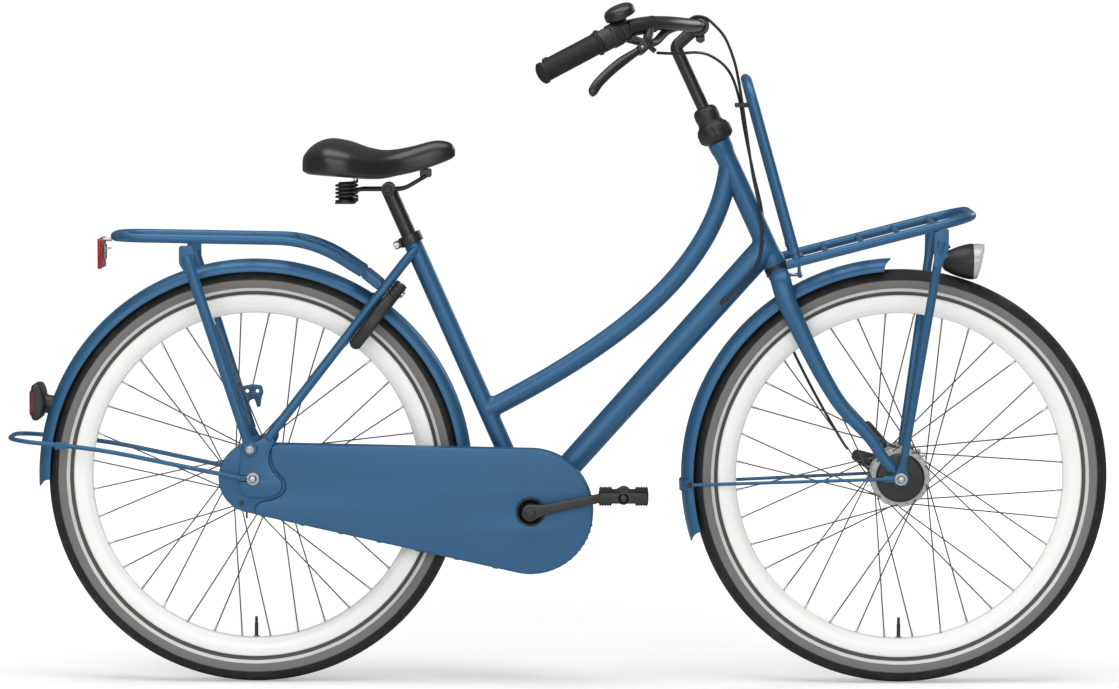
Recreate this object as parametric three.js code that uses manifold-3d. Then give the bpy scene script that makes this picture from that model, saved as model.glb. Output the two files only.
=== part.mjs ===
// Dutch city bike with a curved top tube, a full chaincase and a carrier over each wheel.
// Millimetres: X runs forward, Y to the rider's left and Z up, and the tyres stand on Z = 0.
import * as THREE from 'three';
import { mergeVertices } from 'three/addons/utils/BufferGeometryUtils.js';
import Module from 'manifold-3d';

const wasm = await Module();
wasm.setup();

// Driving dimensions
const fit = 0.3;
const overrun = 4;
const smallest = 0.04;
const wheelbase = 1123.6;
const steeringDegrees = 65.3;
const seatDegrees = 66;

const tyre = {
  radius: 361.5, halfWidth: 25, beadHalfWidth: 12, segments: 32,
  // Each pair: share of the depth from bed to tread, share of the half width
  sideShares: [[0.5, 1], [0.88, 0.74]],
};
const rim = {
  radius: 317, bedRadius: 306, innerRadius: 284.5, halfWidth: 16, innerHalfWidth: 8.5, wall: 3.4,
};
const spoke = {
  count: 36, radius: 1.2, sides: 3, crossDegrees: 60, firstDegrees: 5,
  lacingOffset: 1.35, flangeInset: 4, rimOffset: 2.4, hubSegments: 12,
};
const frontHub = {
  bore: 5.7, shell: 27, flange: 52, flangeThickness: 5.4, rightFlange: -27, leftFlange: 22,
  rightEnd: -46, leftEnd: 29, rightCap: 42, capNeck: 21, leftCap: 30, capStep: 4,
};
const rearHub = {
  bore: 5.7, shell: 38, flange: 46, flangeThickness: 5.4, rightFlange: -26, leftFlange: 27,
  rightEnd: -37, leftEnd: 45, rightCap: 24, capNeck: 18, leftCap: 30, capStep: 5,
};
const axle = { radius: 5, nutRadius: 8.6, nutThickness: 8, stub: 6 };
const rearDropout = { innerFace: 63.5, thickness: 6 };
const frontDropout = { innerFace: 50.3, thickness: 6 };
const eye = { thickness: 2.6, radius: 9 };

const bottomBracket = { x: 481.3, z: 304, radius: 20, halfLength: 36, bore: 9.2 };
const seatTube = { length: 519.6, radius: 15.9, bore: 13.9, boreDepth: 330 };
const headTube = {
  baseX: 906.51, baseZ: 729.36, length: 236.7, radius: 17.8, bore: 15.1, lip: 20.4, lipLength: 12,
};
const topTube = {
  radius: 17, headDrop: 42, seatRise: 188, startHandle: 170, endHandle: 284, endDegrees: 26.8,
  startDegrees: 84.3,
};
const downTube = { radius: 21.5, headRise: 36, flare: 1.1 };
const chainStay = {
  radius: 7, bracketOffset: 33.2, bracketDrop: 4, bracketReach: 24, bridgeReach: 72, bridgeRadius: 6,
};
const seatStay = {
  radius: 8.25, footX: 24, footZ: 429, topX: 267.5, topZ: 743, topOffset: 20, kneeShare: 0.83, kneeGap: 1.5,
  kneeBend: 30, bridgeRadius: 7,
};
const dropoutPlate = {
  width: 98, height: 118, rearX: -23, bottomZ: -33, slotHalfHeight: 5.5, footX: -5, footZ: 51,
  // Outline as shares of the width and the height, anticlockwise from the slot's lower lip
  outlineShares: [[0, 0.2], [0.08, 0.03], [0.5, 0], [0.84, 0.06], [1, 0.22], [0.86, 0.4],
    [0.66, 0.62], [0.62, 0.84], [0.62, 0.98], [0.46, 1], [0.32, 0.9], [0.06, 0.82], [0.02, 0.6], [0, 0.34]],
};
const stayBoss = { length: 30, height: 22, rearX: 14, depth: 8 };
const seatClamp = { radius: 20.5, height: 17, earLength: 15, earWidth: 16, boltRadius: 4, boltLength: 26 };

const fender = { radius: 379, halfWidth: 29.5, wall: 1.6, depth: 20, steps: 16 };
const fenderSectionShares = [[-1, 0], [-0.84, 0.62], [-0.36, 0.96], [0.36, 0.96], [0.84, 0.62], [1, 0]];
const rearFender = { backDegrees: 183, frontDegrees: -8 };
const frontFender = { radius: 381, backDegrees: 197.5, frontDegrees: 92.5, steps: 9, postRadius: 7 };
const fenderLoop = {
  rodRadius: 4, reach: 426, rise: 68, shoulderX: 267, shoulderZ: 52, halfWidth: 81, endSweep: 60,
  eyeReach: 16,
};

const rearDeck = {
  tubeRadius: 8, halfWidth: 84, backX: -249, backZ: 781, bendX: 103, bendZ: 775, frontX: 190, frontZ: 719,
  frontHalfWidth: 64, barRadius: 4, barCount: 4, barFirstX: -158, barPitch: 74.9, barRise: 2, corner: 62,
  footOffset: 22, crossRadius: 5,
};
const rearCarrierStay = {
  radius: 8, topX: -113, topZ: 749, plateWidth: 24, plateHeight: 44, plateThickness: 5, sideOffset: 84,
  footEye: 12, neck: 26, taper: 0.85, soleRadius: 2.5,
};
const hookPlate = {
  length: 43, height: 58, x: -34, z: 457, y: 75, thickness: 3,
  outlineShares: [[0, 0], [0.3, 0.16], [0.42, 0.5], [0.62, 0.56], [0.72, 0.3], [0.86, 0.3], [0.92, 0.62],
    [1, 0.74], [0.92, 0.97], [0.5, 1], [0.02, 0.92]],
};
const reflector = { height: 53, width: 90, thickness: 9, topZ: 777, frontX: -262, stemRadius: 3.4 };
const rearLight = {
  length: 30, height: 62, width: 78, centreRise: 130, mountReach: 0, footRadius: 16,
  outlineShares: [[0.1, 0.04], [0.6, 0], [1, 0.2], [1, 0.5], [0.86, 0.8], [0.6, 1], [0.1, 1], [0, 0.85],
    [0.12, 0.5], [0, 0.2]],
};

const chaincase = {
  frontRadius: 109, rearRadius: 61, outerFace: -68, rearFace: -62, backFace: -33, backThickness: 1.8,
  wall: 2,
  crankHole: 23, hubHole: 31, slotHalfWidth: 12, arcSteps: 10, lugCount: 7, lugLength: 9, lugHeight: 3,
  window: 10, windowDepth: 16, stepGap: 2.5,
  // Front edge of the step, as shares of the dropout's width and height, from below upwards
  stepShares: [[0.3, -0.3], [0.6, -0.02], [0.9, 0.02], [1, 0.2], [0.9, 0.36], [0.72, 0.56], [0.66, 0.8],
    [0.68, 1.1]],
};
const chainLine = -45.5;
const chainPitch = 12.7;
const chainSize = { plateHeight: 9, plateThickness: 1.5, web: 1.3, webGap: 1.2, arcSteps: 10 };
const chainring = { teeth: 38, thickness: 3, toothHeight: 2.6, spiderRadius: 34, rimLap: 1 };
const sprocket = {
  teeth: 19, thickness: 3, toothHeight: 2.6, sleeveRadius: 17, sleeveInner: -38, sleeveOuter: -48.5,
};
const crank = {
  length: 165.2, riseDegrees: 12, axleRadius: 8.6, innerFace: 75, thickness: 12.5, bossRadius: 18,
  eyeRadius: 13, waistHalf: 9, waistEndHalf: 7.5, pedalAxle: 5, pedalAxleLength: 96,
};
const pedal = {
  length: 92, width: 84, height: 27, endHeight: 21.6, barrelRadius: 10, endThickness: 5, blockWidth: 26,
  gapToArm: 5, bore: 5.8,
};
const stand = {
  x: 340, z: 288, y: 51, legLength: 296, legRadius: 7, hubRadius: 14, hubThickness: 15, pinRadius: 4,
  lugThickness: 6, footLength: 26, footRadius: 9.5,
};
const standFolded = new THREE.Vector3(-1, 0.03, 0.05).normalize();
const standDown = new THREE.Vector3(-0.1, 0.27, -0.957).normalize();

const ringLock = {
  centreRadius: 338, innerRadius: 52, outerRadius: 76, thickness: 22, gapDegrees: 36, shackleRadius: 4.6,
  channelRadius: 5.4, channelEndDegrees: 158, leverDegrees: 124, leverRadius: 4, leverReach: 20,
  leverHead: 7,
  closeDegrees: 78, barrelRadius: 11, barrelLength: 30, barrelDegrees: 214, barrelShare: 0.9, segments: 12,
  chamferShare: 0.33, endLapDegrees: 4, slotLapDegrees: 6, arcSteps: 8,
};

const seatpost = {
  radius: 13.4, insertion: 170, headRise: 83.32, barrelRadius: 11, barrelHalf: 16, boltBore: 4.7,
};
// Reaches and heights from the seatpost's head
const saddle = {
  tailX: -146.16, length: 262.3, halfWidth: 112, topZ: 88, baseZ: 12, railRadius: 3.5, cheekRadius: 14,
  cheekThickness: 7, boltRadius: 4.2, plateX: -72.36, plateZ: -21, plateLength: 34, plateThickness: 4,
  plateHalfWidth: 66, noseX: 67.14, noseZ: 27, noseHalf: 9,
  // Stations from tail to nose: share of the length, of the half width, of the top and of the base height
  stationShares: [[0, 0.5, 0.64, 0.3], [0.06, 0.78, 0.82, 0.12], [0.16, 0.98, 1, 0.05],
    [0.28, 1, 0.96, 0.06],
    [0.4, 0.84, 0.84, 0.05], [0.52, 0.56, 0.78, 0.06], [0.64, 0.36, 0.8, 0.14], [0.76, 0.28, 0.87, 0.24],
    [0.88, 0.24, 0.95, 0.34], [0.96, 0.18, 0.93, 0.42], [1, 0.1, 0.78, 0.52]],
  ringPoints: 14, crownShare: 0.75, skirtShare: 0.6, sideShare: 0.85, seamShare: 0.36,
  railDrop: 40, railBend: 12, noseBlock: 22, plateLap: 1,
};
const saddleSpring = {
  x: -72.36, y: 48, coilRadius: 15.5, wireRadius: 2.3, turns: 4, sides: 4, stepsPerTurn: 7, baseZ: -19.7,
  topZ: 15.5, overlap: 12,
};

const collar = {
  bore: 14.9, lowerRadius: 30, lowerHeight: 31, upperRadius: 21, upperHeight: 66, innerStep: 46,
  shoulder: 36,
  chamfer: 3, ribCount: 8, ribDepth: 1.8,
};
const fork = {
  steererRadius: 14.4, steererAbove: 45, quillBore: 11.4, boreDepth: 150, raceRadius: 21.5, raceHeight: 9,
  crownHalf: 44, crownX: 912, crownZ: 713, dropoutHalf: 53.3, bladeHalfTop: 18.5, bladeHalfBottom: 9,
  bladeSideTop: 11, bladeSideBottom: 6, dropoutRadius: 15, slotHalf: 5.4, sides: 8,
  shoulderDrop: 26, shoulderInset: 7, crownInset: 24,
  // Blade centre line: share of the run to the axle, share of the drop to the axle
  bladeShares: [[0.06, 0.12], [0.135, 0.221], [0.37, 0.505], [0.522, 0.65], [0.735, 0.79], [0.88, 0.915],
    [0.935, 0.955]],
};
const stem = {
  quillRadius: 11, insertion: 60, elbowZ: 1096, elbowBend: 16, clampX: 772.5, clampZ: 1146, clampRadius: 18,
  clampHalf: 21, lugRadius: 8, lugReach: 23, boltRadius: 5, boltReach: 31, boltLean: 0.12,
};
const bar = {
  radius: 11, steps: 16,
  // Right half as forward reach, sideways reach and rise from the clamp; the last run is straight
  places: [[0, 0, 0], [-2, 32, 0], [-17, 80, 1], [-57, 162, 4], [-93, 208, 3], [-124, 238, -3]],
  end: [-266, 308, -78],
};
const grip = { radius: 17, flange: 20.5, flangeLength: 6, start: 59, endCap: 4, endRadius: 14, endTaper: 5 };
// Each run is measured along the straight end of the bar
const shifter = { radius: 18.5, ringRadius: 21, start: 17.3, ringEnd: 36, end: 58.5, chamfer: 2 };
const brakeBracket = {
  housingStart: 3, housingEnd: 17, housingRadius: 20, clampX: 687.5, clampY: 198, clampZ: 1149.3,
  clampHalf: 9,
  clampRadius: 14.5, perchRadius: 7.5, perchEnd: 9, cheekInner: 6.3, cheekThickness: 3, cheekRadius: 8.5,
  cheekBack: 22, backStart: 9.4, pinRadius: 3, barrelX: 695.5, barrelY: 231, barrelZ: 1104,
  barrelRadius: 4.5,
};
const brakeLever = {
  pivotX: 672, pivotY: 243, pivotZ: 1108, tipX: 590, tipY: 300, tipZ: 1029, bossRadius: 8.5, bossHalf: 6,
  bore: 3.4,
  bladeHalf: 7.5, bladeSide: 5.5, steps: 8,
  // Blade centre line as forward, sideways and height places
  places: [[654, 254, 1097], [634, 268, 1083], [612, 283, 1064], [599, 292, 1050], [592, 297, 1039]],
};
const bell = {
  along: 2, radius: 27, base: 22, height: 20, rimHeight: 14, crown: 17, pinRadius: 4, pinTop: 16,
  stalkRadius: 7, bore: 4.4,
};

const frontDeck = {
  tubeRadius: 8, halfWidth: 142, backX: 921, backZ: 737, frontX: 1250, frontZ: 822, corner: 70,
  bracketDrop: 36,
  barRadius: 4.5, barCount: 4, barFirst: 0.22, barPitchShare: 0.188, crossX: 948, bracketHalf: 15,
  bracketThickness: 5, screwRadius: 4, screwX: 931.2, screwHead: 9,
};
const hoop = {
  footX: 941, footZ: 751, topX: 855, topZ: 1061, halfWidth: 128, cornerRadius: 60, tubeRadius: 8, stub: 14,
};
const frontCarrierStay = {
  radius: 8, topX: 1187, topZ: 778, plateWidth: 26, plateHeight: 46, plateThickness: 5, sideOffset: 142,
  footEye: 12, neck: 26, taper: 0.85, soleRadius: 2.5,
};
const fenderStay = {
  rodRadius: 3, reach: 366, drop: 14, eyeReach: 16, strapDegrees: 3, strapWall: 2.2, strapLap: 1,
};
const headlight = {
  backX: 1199, frontX: 1250, lensX: 1271, centreZ: 736, halfHeight: 30, halfWidth: 35, bracketRadius: 5,
  bracketFootX: 1226, sides: 14,
  // Share of the length, share of the full half height
  shellShares: [[0, 0.28], [0.3, 0.6], [0.7, 0.88], [1, 1]],
  lensShares: [[0, 1], [0.45, 0.95], [0.8, 0.78], [1, 0.5]],
};
const brakeUnit = {
  bore: 5.7, inner: 31, sealRadius: 28, discInner: 32, discOuter: 39, discRadius: 58, drumRadius: 44,
  drumOuter: 44.6,
  drumChamfer: 4, neckRadius: 10, neckEnd: 49.6, armLength: 88, armHalf: 9, armThickness: 4.5,
  armDegrees: 156,
};
const cable = { radius: 2.5, sides: 5 };
// Cable runs as forward, sideways and height places; sideways is positive to the left
const brakeCablePlaces = [
  [699, -229, 1101.5], [730, -205, 1100], [768, -150, 1101], [793, -95, 1094], [819, -40, 1074], [832, -14, 1053],
  [843.4, 0, 1017], [852, 6, 967], [869, 10, 886], [881, 18, 836], [889, 32, 790], [899, 48, 757], [909, 60, 728],
  [919, 62, 700], [920, 61.5, 668], [916, 58, 632], [940, 52, 575.8], [984, 48, 490], [1029.4, 43.5, 412.7],
  [1036, 42.5, 404],
];
const shiftUpperPlaces = [
  [639, -221, 1142.6], [651, -203, 1149], [671, -183, 1151.5], [703, -148, 1151], [737, -83, 1151], [752, -48, 1154],
  [766, -35, 1161.5], [783, -30, 1159.5], [800, -26, 1146], [817, -22, 1126], [834, -18, 1084], [843.5, -14, 1040],
  [854.9, -10, 966.4],
];
const shiftLowerPlaces = [
  [854.98, -10, 966], [866.9, -9, 886.1], [876, -14, 842], [882, -25, 805], [881.7, -28, 774.5], [876.5, -29, 737.8],
  [862.6, -29, 714.2], [836, -27.5, 687], [815, -27, 666.5],
];

// Colours
const framePaint = new THREE.MeshStandardMaterial({ color: 0x426a91, roughness: 0.42, metalness: 0.35 });
const blackPlastic = new THREE.MeshStandardMaterial({ color: 0x333333, roughness: 0.6, metalness: 0 });
const rubber = new THREE.MeshStandardMaterial({ color: 0x2d2d2d, roughness: 0.85, metalness: 0 });
const rimLacquer = new THREE.MeshStandardMaterial({ color: 0xf0f1ec, roughness: 0.35, metalness: 0 });
const steel = new THREE.MeshStandardMaterial({ color: 0xb6b8ba, roughness: 0.3, metalness: 1 });
const redLens = new THREE.MeshStandardMaterial({ color: 0x96232d, roughness: 0.2, metalness: 0 });
const clearLens = new THREE.MeshStandardMaterial({ color: 0xe6e8ea, roughness: 0.1, metalness: 0 });

// Places worked out from the driving dimensions
const toRadians = THREE.MathUtils.degToRad;
const axleHeight = tyre.radius;
const rearAxle = new THREE.Vector3(0, 0, axleHeight);
const frontAxle = new THREE.Vector3(wheelbase, 0, axleHeight);
const rearmost = -fenderLoop.reach - fenderLoop.rodRadius;
const foremost = wheelbase + tyre.radius;
const sideways = new THREE.Vector3(0, 1, 0);
const upward = new THREE.Vector3(0, 0, 1);
const steeringUp = new THREE.Vector3(-Math.cos(toRadians(steeringDegrees)), 0, Math.sin(toRadians(steeringDegrees)));
const seatUp = new THREE.Vector3(-Math.cos(toRadians(seatDegrees)), 0, Math.sin(toRadians(seatDegrees)));
const bracketCentre = new THREE.Vector3(bottomBracket.x, 0, bottomBracket.z);
const headBottom = new THREE.Vector3(headTube.baseX, 0, headTube.baseZ);
const headTop = headBottom.clone().addScaledVector(steeringUp, headTube.length);
const seatTubeTop = bracketCentre.clone().addScaledVector(seatUp, seatTube.length);
const rearOuterFace = rearDropout.innerFace + rearDropout.thickness;
const frontOuterFace = frontDropout.innerFace + frontDropout.thickness;
const seatpostHead = pointAtHeight(bracketCentre, seatUp, seatTubeTop.z + seatpost.headRise);

function pointAtHeight(from, direction, height) {
  return from.clone().addScaledVector(direction, (height - from.z) / direction.z);
}

function vector(x, y, z) {
  return new THREE.Vector3(x, y, z);
}

// Solids
function asSolid(geometry) {
  const bare = geometry.clone();
  bare.deleteAttribute('normal');
  bare.deleteAttribute('uv');
  const merged = mergeVertices(bare, 1e-4);
  const positions = merged.attributes.position.array;
  const order = Uint32Array.from(merged.index.array);
  if (signedVolume(positions, order) < 0) order.reverse();
  return new wasm.Manifold(new wasm.Mesh({ numProp: 3, vertProperties: positions, triVerts: order }));
}

function signedVolume(positions, order) {
  const corners = [vector(), vector(), vector()];
  let volume = 0;
  for (let start = 0; start < order.length; start += 3) {
    corners.forEach((corner, place) => corner.fromArray(positions, order[start + place] * 3));
    volume += corners[0].dot(corners[1].cross(corners[2]));
  }
  return volume;
}

function union(...solids) {
  return wasm.Manifold.union(solids);
}

function asMesh(name, solid, material) {
  const result = solid.simplify(smallest).getMesh();
  const geometry = new THREE.BufferGeometry();
  geometry.setAttribute('position', new THREE.BufferAttribute(Float32Array.from(result.vertProperties), 3));
  geometry.setIndex(new THREE.BufferAttribute(Uint32Array.from(result.triVerts), 1));
  geometry.computeVertexNormals();
  const mesh = new THREE.Mesh(geometry, material);
  mesh.name = name;
  return mesh;
}

// A round bar from one point to another, with its own radius at each end.
function rod(from, to, radius, sides = 10, endRadius = radius) {
  const along = to.clone().sub(from);
  const geometry = new THREE.CylinderGeometry(endRadius, radius, along.length(), sides);
  geometry.applyQuaternion(new THREE.Quaternion().setFromUnitVectors(sideways, along.normalize()));
  geometry.translate(...from.clone().add(to).multiplyScalar(0.5).toArray());
  return asSolid(geometry);
}

// A profile of [radius, height] pairs turned about the line through base along direction.
function turned(profile, base, direction, segments = 16) {
  const points = profile.map(([radius, height]) => new THREE.Vector2(radius, height));
  if (profile[0][0] > 0) points.push(points[0].clone());
  const geometry = new THREE.LatheGeometry(points, segments);
  geometry.applyQuaternion(new THREE.Quaternion().setFromUnitVectors(sideways, direction));
  geometry.translate(...base.toArray());
  return asSolid(geometry);
}

// A rod wide enough to leave the fit on every side of a round part of the given radius.
function clearance(from, to, radius, sides = 16) {
  return rod(from, to, (radius + fit) / Math.cos(Math.PI / sides), sides);
}

function block(centre, size) {
  const geometry = new THREE.BoxGeometry(...size);
  geometry.translate(...centre.toArray());
  return asSolid(geometry);
}

// An outline drawn in X and Z, extruded sideways between two faces.
function sidePlate(outline, nearFace, farFace, arcSteps = 6) {
  const shape = outline instanceof THREE.Shape ? outline : new THREE.Shape(outline);
  const depth = Math.abs(farFace - nearFace);
  const geometry = new THREE.ExtrudeGeometry(shape, { depth, bevelEnabled: false, curveSegments: arcSteps });
  geometry.rotateX(Math.PI / 2);
  geometry.translate(0, Math.max(nearFace, farFace), 0);
  return asSolid(geometry);
}

// An outline in the plane of two directions, extruded square to them between two distances.
function plateAt(outline, centre, across, up, from, to) {
  const geometry = new THREE.ExtrudeGeometry(new THREE.Shape(outline), { depth: to - from, bevelEnabled: false });
  const normal = across.clone().cross(up);
  geometry.translate(0, 0, from);
  geometry.applyMatrix4(new THREE.Matrix4().makeBasis(across, up, normal));
  geometry.translate(...centre.toArray());
  return asSolid(geometry);
}

function outlineFromShares(shares, x, z, width, height) {
  return shares.map(([across, up]) => new THREE.Vector2(x + across * width, z + up * height));
}

function circlePoints(sides, radius, tall = radius) {
  return Array.from({ length: sides }, (_, step) => {
    const angle = (step / sides) * 2 * Math.PI;
    return [radius * Math.cos(angle), tall * Math.sin(angle)];
  });
}

// Rings of equal point counts joined into one closed body.
function loft(rings) {
  const count = rings[0].length;
  const order = [];
  for (let ring = 0; ring + 1 < rings.length; ring += 1) {
    for (let place = 0; place < count; place += 1) {
      const next = (place + 1) % count;
      const corners = [place, next].map((corner) => ring * count + corner);
      order.push(corners[0], corners[1], corners[1] + count, corners[0], corners[1] + count, corners[0] + count);
    }
  }
  const flat = flatten(rings[0]);
  for (const [a, b, c] of THREE.ShapeUtils.triangulateShape(flat, [])) {
    const last = (rings.length - 1) * count;
    order.push(a, c, b, last + a, last + b, last + c);
  }
  const geometry = new THREE.BufferGeometry();
  geometry.setAttribute('position', new THREE.Float32BufferAttribute(rings.flat().flatMap((p) => p.toArray()), 3));
  geometry.setIndex(matchCaps(order, flat));
  return asSolid(geometry);
}

// A ring's points in the two directions in which it spreads most.
function flatten(ring) {
  const normal = vector();
  ring.forEach((point, place) => normal.add(point.clone().cross(ring[(place + 1) % ring.length])));
  const across = ring[1].clone().sub(ring[0]).normalize();
  const up = normal.normalize().clone().cross(across);
  return ring.map((point) => new THREE.Vector2(point.dot(across), point.dot(up)));
}

function matchCaps(order, flat) {
  const sides = order.length - 6 * (flat.length - 2);
  if (THREE.ShapeUtils.isClockWise(flat)) return order;
  const result = order.slice(0, sides);
  for (let start = sides; start < order.length; start += 3) {
    result.push(order[start], order[start + 1], order[start + 2]);
  }
  return result;
}

// A section carried along a curve. Its first direction is side, its second stands square to the curve.
function sweep(curve, steps, section, side = sideways) {
  const shares = Array.from({ length: steps + 1 }, (_, step) => step / steps);
  return loft(shares.map((share) => {
    const points = typeof section === 'function' ? section(share) : section;
    return ringAt(curve.getPointAt(share), curve.getTangentAt(share), points, side);
  }));
}

function ringAt(centre, tangent, points, side) {
  const up = tangent.clone().cross(side).normalize();
  const across = up.clone().cross(tangent).normalize();
  return points.map(([a, b]) => centre.clone().addScaledVector(across, a).addScaledVector(up, b));
}

// A section carried along a path of runs and corners, with rings only where the path turns.
function bent(path, section, side = sideways, cornerSteps = 4) {
  const rings = [];
  path.curves.forEach((curve, place) => {
    const straight = curve instanceof THREE.LineCurve3;
    const steps = straight ? 1 : cornerSteps;
    for (let step = place === 0 ? 0 : 1; step <= steps; step += 1) {
      rings.push(ringAt(curve.getPoint(step / steps), curve.getTangent(step / steps), section, side));
    }
  });
  return loft(rings);
}

function smooth(points) {
  return new THREE.CatmullRomCurve3(points, false, 'centripetal');
}

// A path of straight runs and round corners through the given points.
function filleted(points, radius) {
  const path = new THREE.CurvePath();
  let start = points[0];
  for (let place = 1; place + 1 < points.length; place += 1) {
    const before = points[place].clone().lerp(start, radius / points[place].distanceTo(start));
    const after = points[place].clone().lerp(points[place + 1], radius / points[place].distanceTo(points[place + 1]));
    path.add(new THREE.LineCurve3(start, before));
    path.add(new THREE.QuadraticBezierCurve3(before, points[place], after));
    start = after;
  }
  path.add(new THREE.LineCurve3(start, points[points.length - 1]));
  return path;
}

// An arc about a wheel's axle in the wheel's own plane, from one angle to another.
class WheelArc extends THREE.Curve {
  constructor(centre, radius, from, to) {
    super();
    Object.assign(this, { centre, radius, from: toRadians(from), to: toRadians(to) });
  }

  getPoint(share, target = vector()) {
    const angle = THREE.MathUtils.lerp(this.from, this.to, share);
    return target.set(Math.cos(angle), 0, Math.sin(angle)).multiplyScalar(this.radius).add(this.centre);
  }
}

// Two circles wrapped by a belt, as an outline in X and Z.
function beltOutline(frontRadius, rearRadius, steps) {
  const line = bracketCentre.clone().sub(rearAxle);
  const tilt = Math.atan2(line.z, line.x);
  const spread = Math.acos((rearRadius - frontRadius) / line.length());
  const points = [];
  for (let step = 0; step <= steps; step += 1) {
    const angle = tilt + spread * (1 - 2 * step / steps);
    points.push(onCircle(bracketCentre, frontRadius, angle));
  }
  for (let step = 0; step <= steps; step += 1) {
    const angle = tilt - spread - (2 * Math.PI - 2 * spread) * (step / steps);
    points.push(onCircle(rearAxle, rearRadius, angle));
  }
  return points;
}

function onCircle(centre, radius, angle) {
  return new THREE.Vector2(centre.x + radius * Math.cos(angle), centre.z + radius * Math.sin(angle));
}

const bicycle = new THREE.Group();
bicycle.name = 'dutch_city_bike';
const build = new THREE.Group();
build.position.x = -(rearmost + foremost) / 2;
bicycle.add(build);

function place(name, solid, material, group = build) {
  group.add(asMesh(name, solid, material));
}

function groupAt(centre) {
  const group = new THREE.Group();
  group.position.copy(centre);
  build.add(group);
  return group;
}

// Wheels, each modelled about its own axle
function tyreSolid() {
  const bed = rim.bedRadius + fit;
  const depth = tyre.radius - bed;
  const side = tyre.sideShares.map(([out, half]) => [bed + out * depth, half * tyre.halfWidth]);
  const rimEdge = [[bed, tyre.beadHalfWidth], [rim.radius + fit, tyre.beadHalfWidth]];
  const half = [...rimEdge, ...side];
  const mirrored = half.map(([radius, offset]) => [radius, -offset]).reverse();
  return turned([...half, [tyre.radius, 0], ...mirrored], vector(0, 0, 0), sideways, tyre.segments);
}

function rimSolid() {
  const half = [
    [rim.bedRadius, rim.halfWidth - rim.wall], [rim.radius, rim.halfWidth], [rim.innerRadius, rim.innerHalfWidth],
  ];
  const mirrored = half.map(([radius, offset]) => [radius, -offset]).reverse();
  return turned([...half, ...mirrored], vector(0, 0, 0), sideways, tyre.segments);
}

function hubShell(hub) {
  const inner = hub.flangeThickness / 2;
  return turned([
    [hub.bore, hub.rightEnd], [hub.capNeck, hub.rightEnd], [hub.rightCap, hub.rightEnd + hub.capStep],
    [hub.rightCap, hub.rightFlange - hub.capStep], [hub.shell, hub.rightFlange - hub.capStep],
    [hub.shell, hub.rightFlange - inner], [hub.flange, hub.rightFlange - inner],
    [hub.flange, hub.rightFlange + inner], [hub.shell, hub.rightFlange + inner],
    [hub.shell, hub.leftFlange - inner], [hub.flange, hub.leftFlange - inner],
    [hub.flange, hub.leftFlange + inner], [hub.leftCap, hub.leftFlange + inner],
    [hub.leftCap, hub.leftEnd - hub.capStep], [hub.capNeck, hub.leftEnd], [hub.bore, hub.leftEnd],
  ], vector(0, 0, 0), sideways, spoke.hubSegments);
}

// Spokes leave the two flanges in turn, and lean forwards and backwards in pairs.
function lacedSpoke(hub, number) {
  const rimAngle = toRadians(spoke.firstDegrees + number * (360 / spoke.count));
  const right = number % 2 === 0;
  const leading = number % 4 < 2;
  const hubAngle = rimAngle + toRadians(leading ? spoke.crossDegrees : -spoke.crossDegrees);
  const outwards = right ? -1 : 1;
  const flange = (right ? hub.rightFlange : hub.leftFlange) + outwards * (leading ? 1 : -1) * spoke.lacingOffset;
  const hole = hub.flange - spoke.flangeInset;
  const from = vector(hole * Math.cos(hubAngle), flange, hole * Math.sin(hubAngle));
  const offset = outwards * (spoke.rimOffset + (leading ? 1 : -1) * spoke.lacingOffset);
  const to = vector(rim.innerRadius * Math.cos(rimAngle), offset, rim.innerRadius * Math.sin(rimAngle));
  return rod(from, to, spoke.radius, spoke.sides);
}

// Hub and spokes, with every spoke ended square to the rim's inner wall.
function lacedHub(hub) {
  const spokes = Array.from({ length: spoke.count }, (_, number) => lacedSpoke(hub, number));
  const reach = rim.innerRadius - fit;
  const inside = turned([
    [0, hub.rightEnd], [reach, hub.rightEnd], [reach, hub.leftEnd], [0, hub.leftEnd],
  ], vector(0, 0, 0), sideways, tyre.segments);
  return union(hubShell(hub), union(...spokes).intersect(inside));
}

function buildWheels() {
  for (const [name, centre, hub] of [['front', frontAxle, frontHub], ['rear', rearAxle, rearHub]]) {
    const group = groupAt(centre);
    place(`${name}_tyre`, tyreSolid(), rubber, group);
    place(`${name}_rim`, rimSolid(), rimLacquer, group);
    place(`${name}_hub`, lacedHub(hub), steel, group);
  }
}

function wheelAxle(centre, outerFace) {
  const nutFace = outerFace + fit;
  const end = nutFace + axle.nutThickness + axle.stub;
  const shaft = rod(vector(centre.x, -end, centre.z), vector(centre.x, end, centre.z), axle.radius, 8);
  const nuts = [-1, 1].map((side) => rod(
    vector(centre.x, side * nutFace, centre.z),
    vector(centre.x, side * (nutFace + axle.nutThickness), centre.z),
    axle.nutRadius, 6,
  ));
  return union(shaft, ...nuts);
}

// Frame
function headTubeSolid() {
  const top = headTube.length;
  return turned([
    [headTube.bore, 0], [headTube.lip, 0], [headTube.lip, headTube.lipLength],
    [headTube.radius, 2 * headTube.lipLength], [headTube.radius, top - 2 * headTube.lipLength],
    [headTube.lip, top - headTube.lipLength], [headTube.lip, top], [headTube.bore, top],
  ], headBottom, steeringUp, 16);
}

function headTubeCutter() {
  const base = headBottom.clone().addScaledVector(steeringUp, -overrun);
  const end = headTop.clone().addScaledVector(steeringUp, overrun);
  return clearance(base, end, headTube.lip);
}

function seatTubeCutter() {
  return clearance(bracketCentre, seatTubeTop.clone().addScaledVector(seatUp, overrun), seatTube.radius);
}

function bracketCutter() {
  const half = bottomBracket.halfLength + overrun;
  return clearance(
    vector(bottomBracket.x, -half, bottomBracket.z), vector(bottomBracket.x, half, bottomBracket.z),
    bottomBracket.radius,
  );
}

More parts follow.
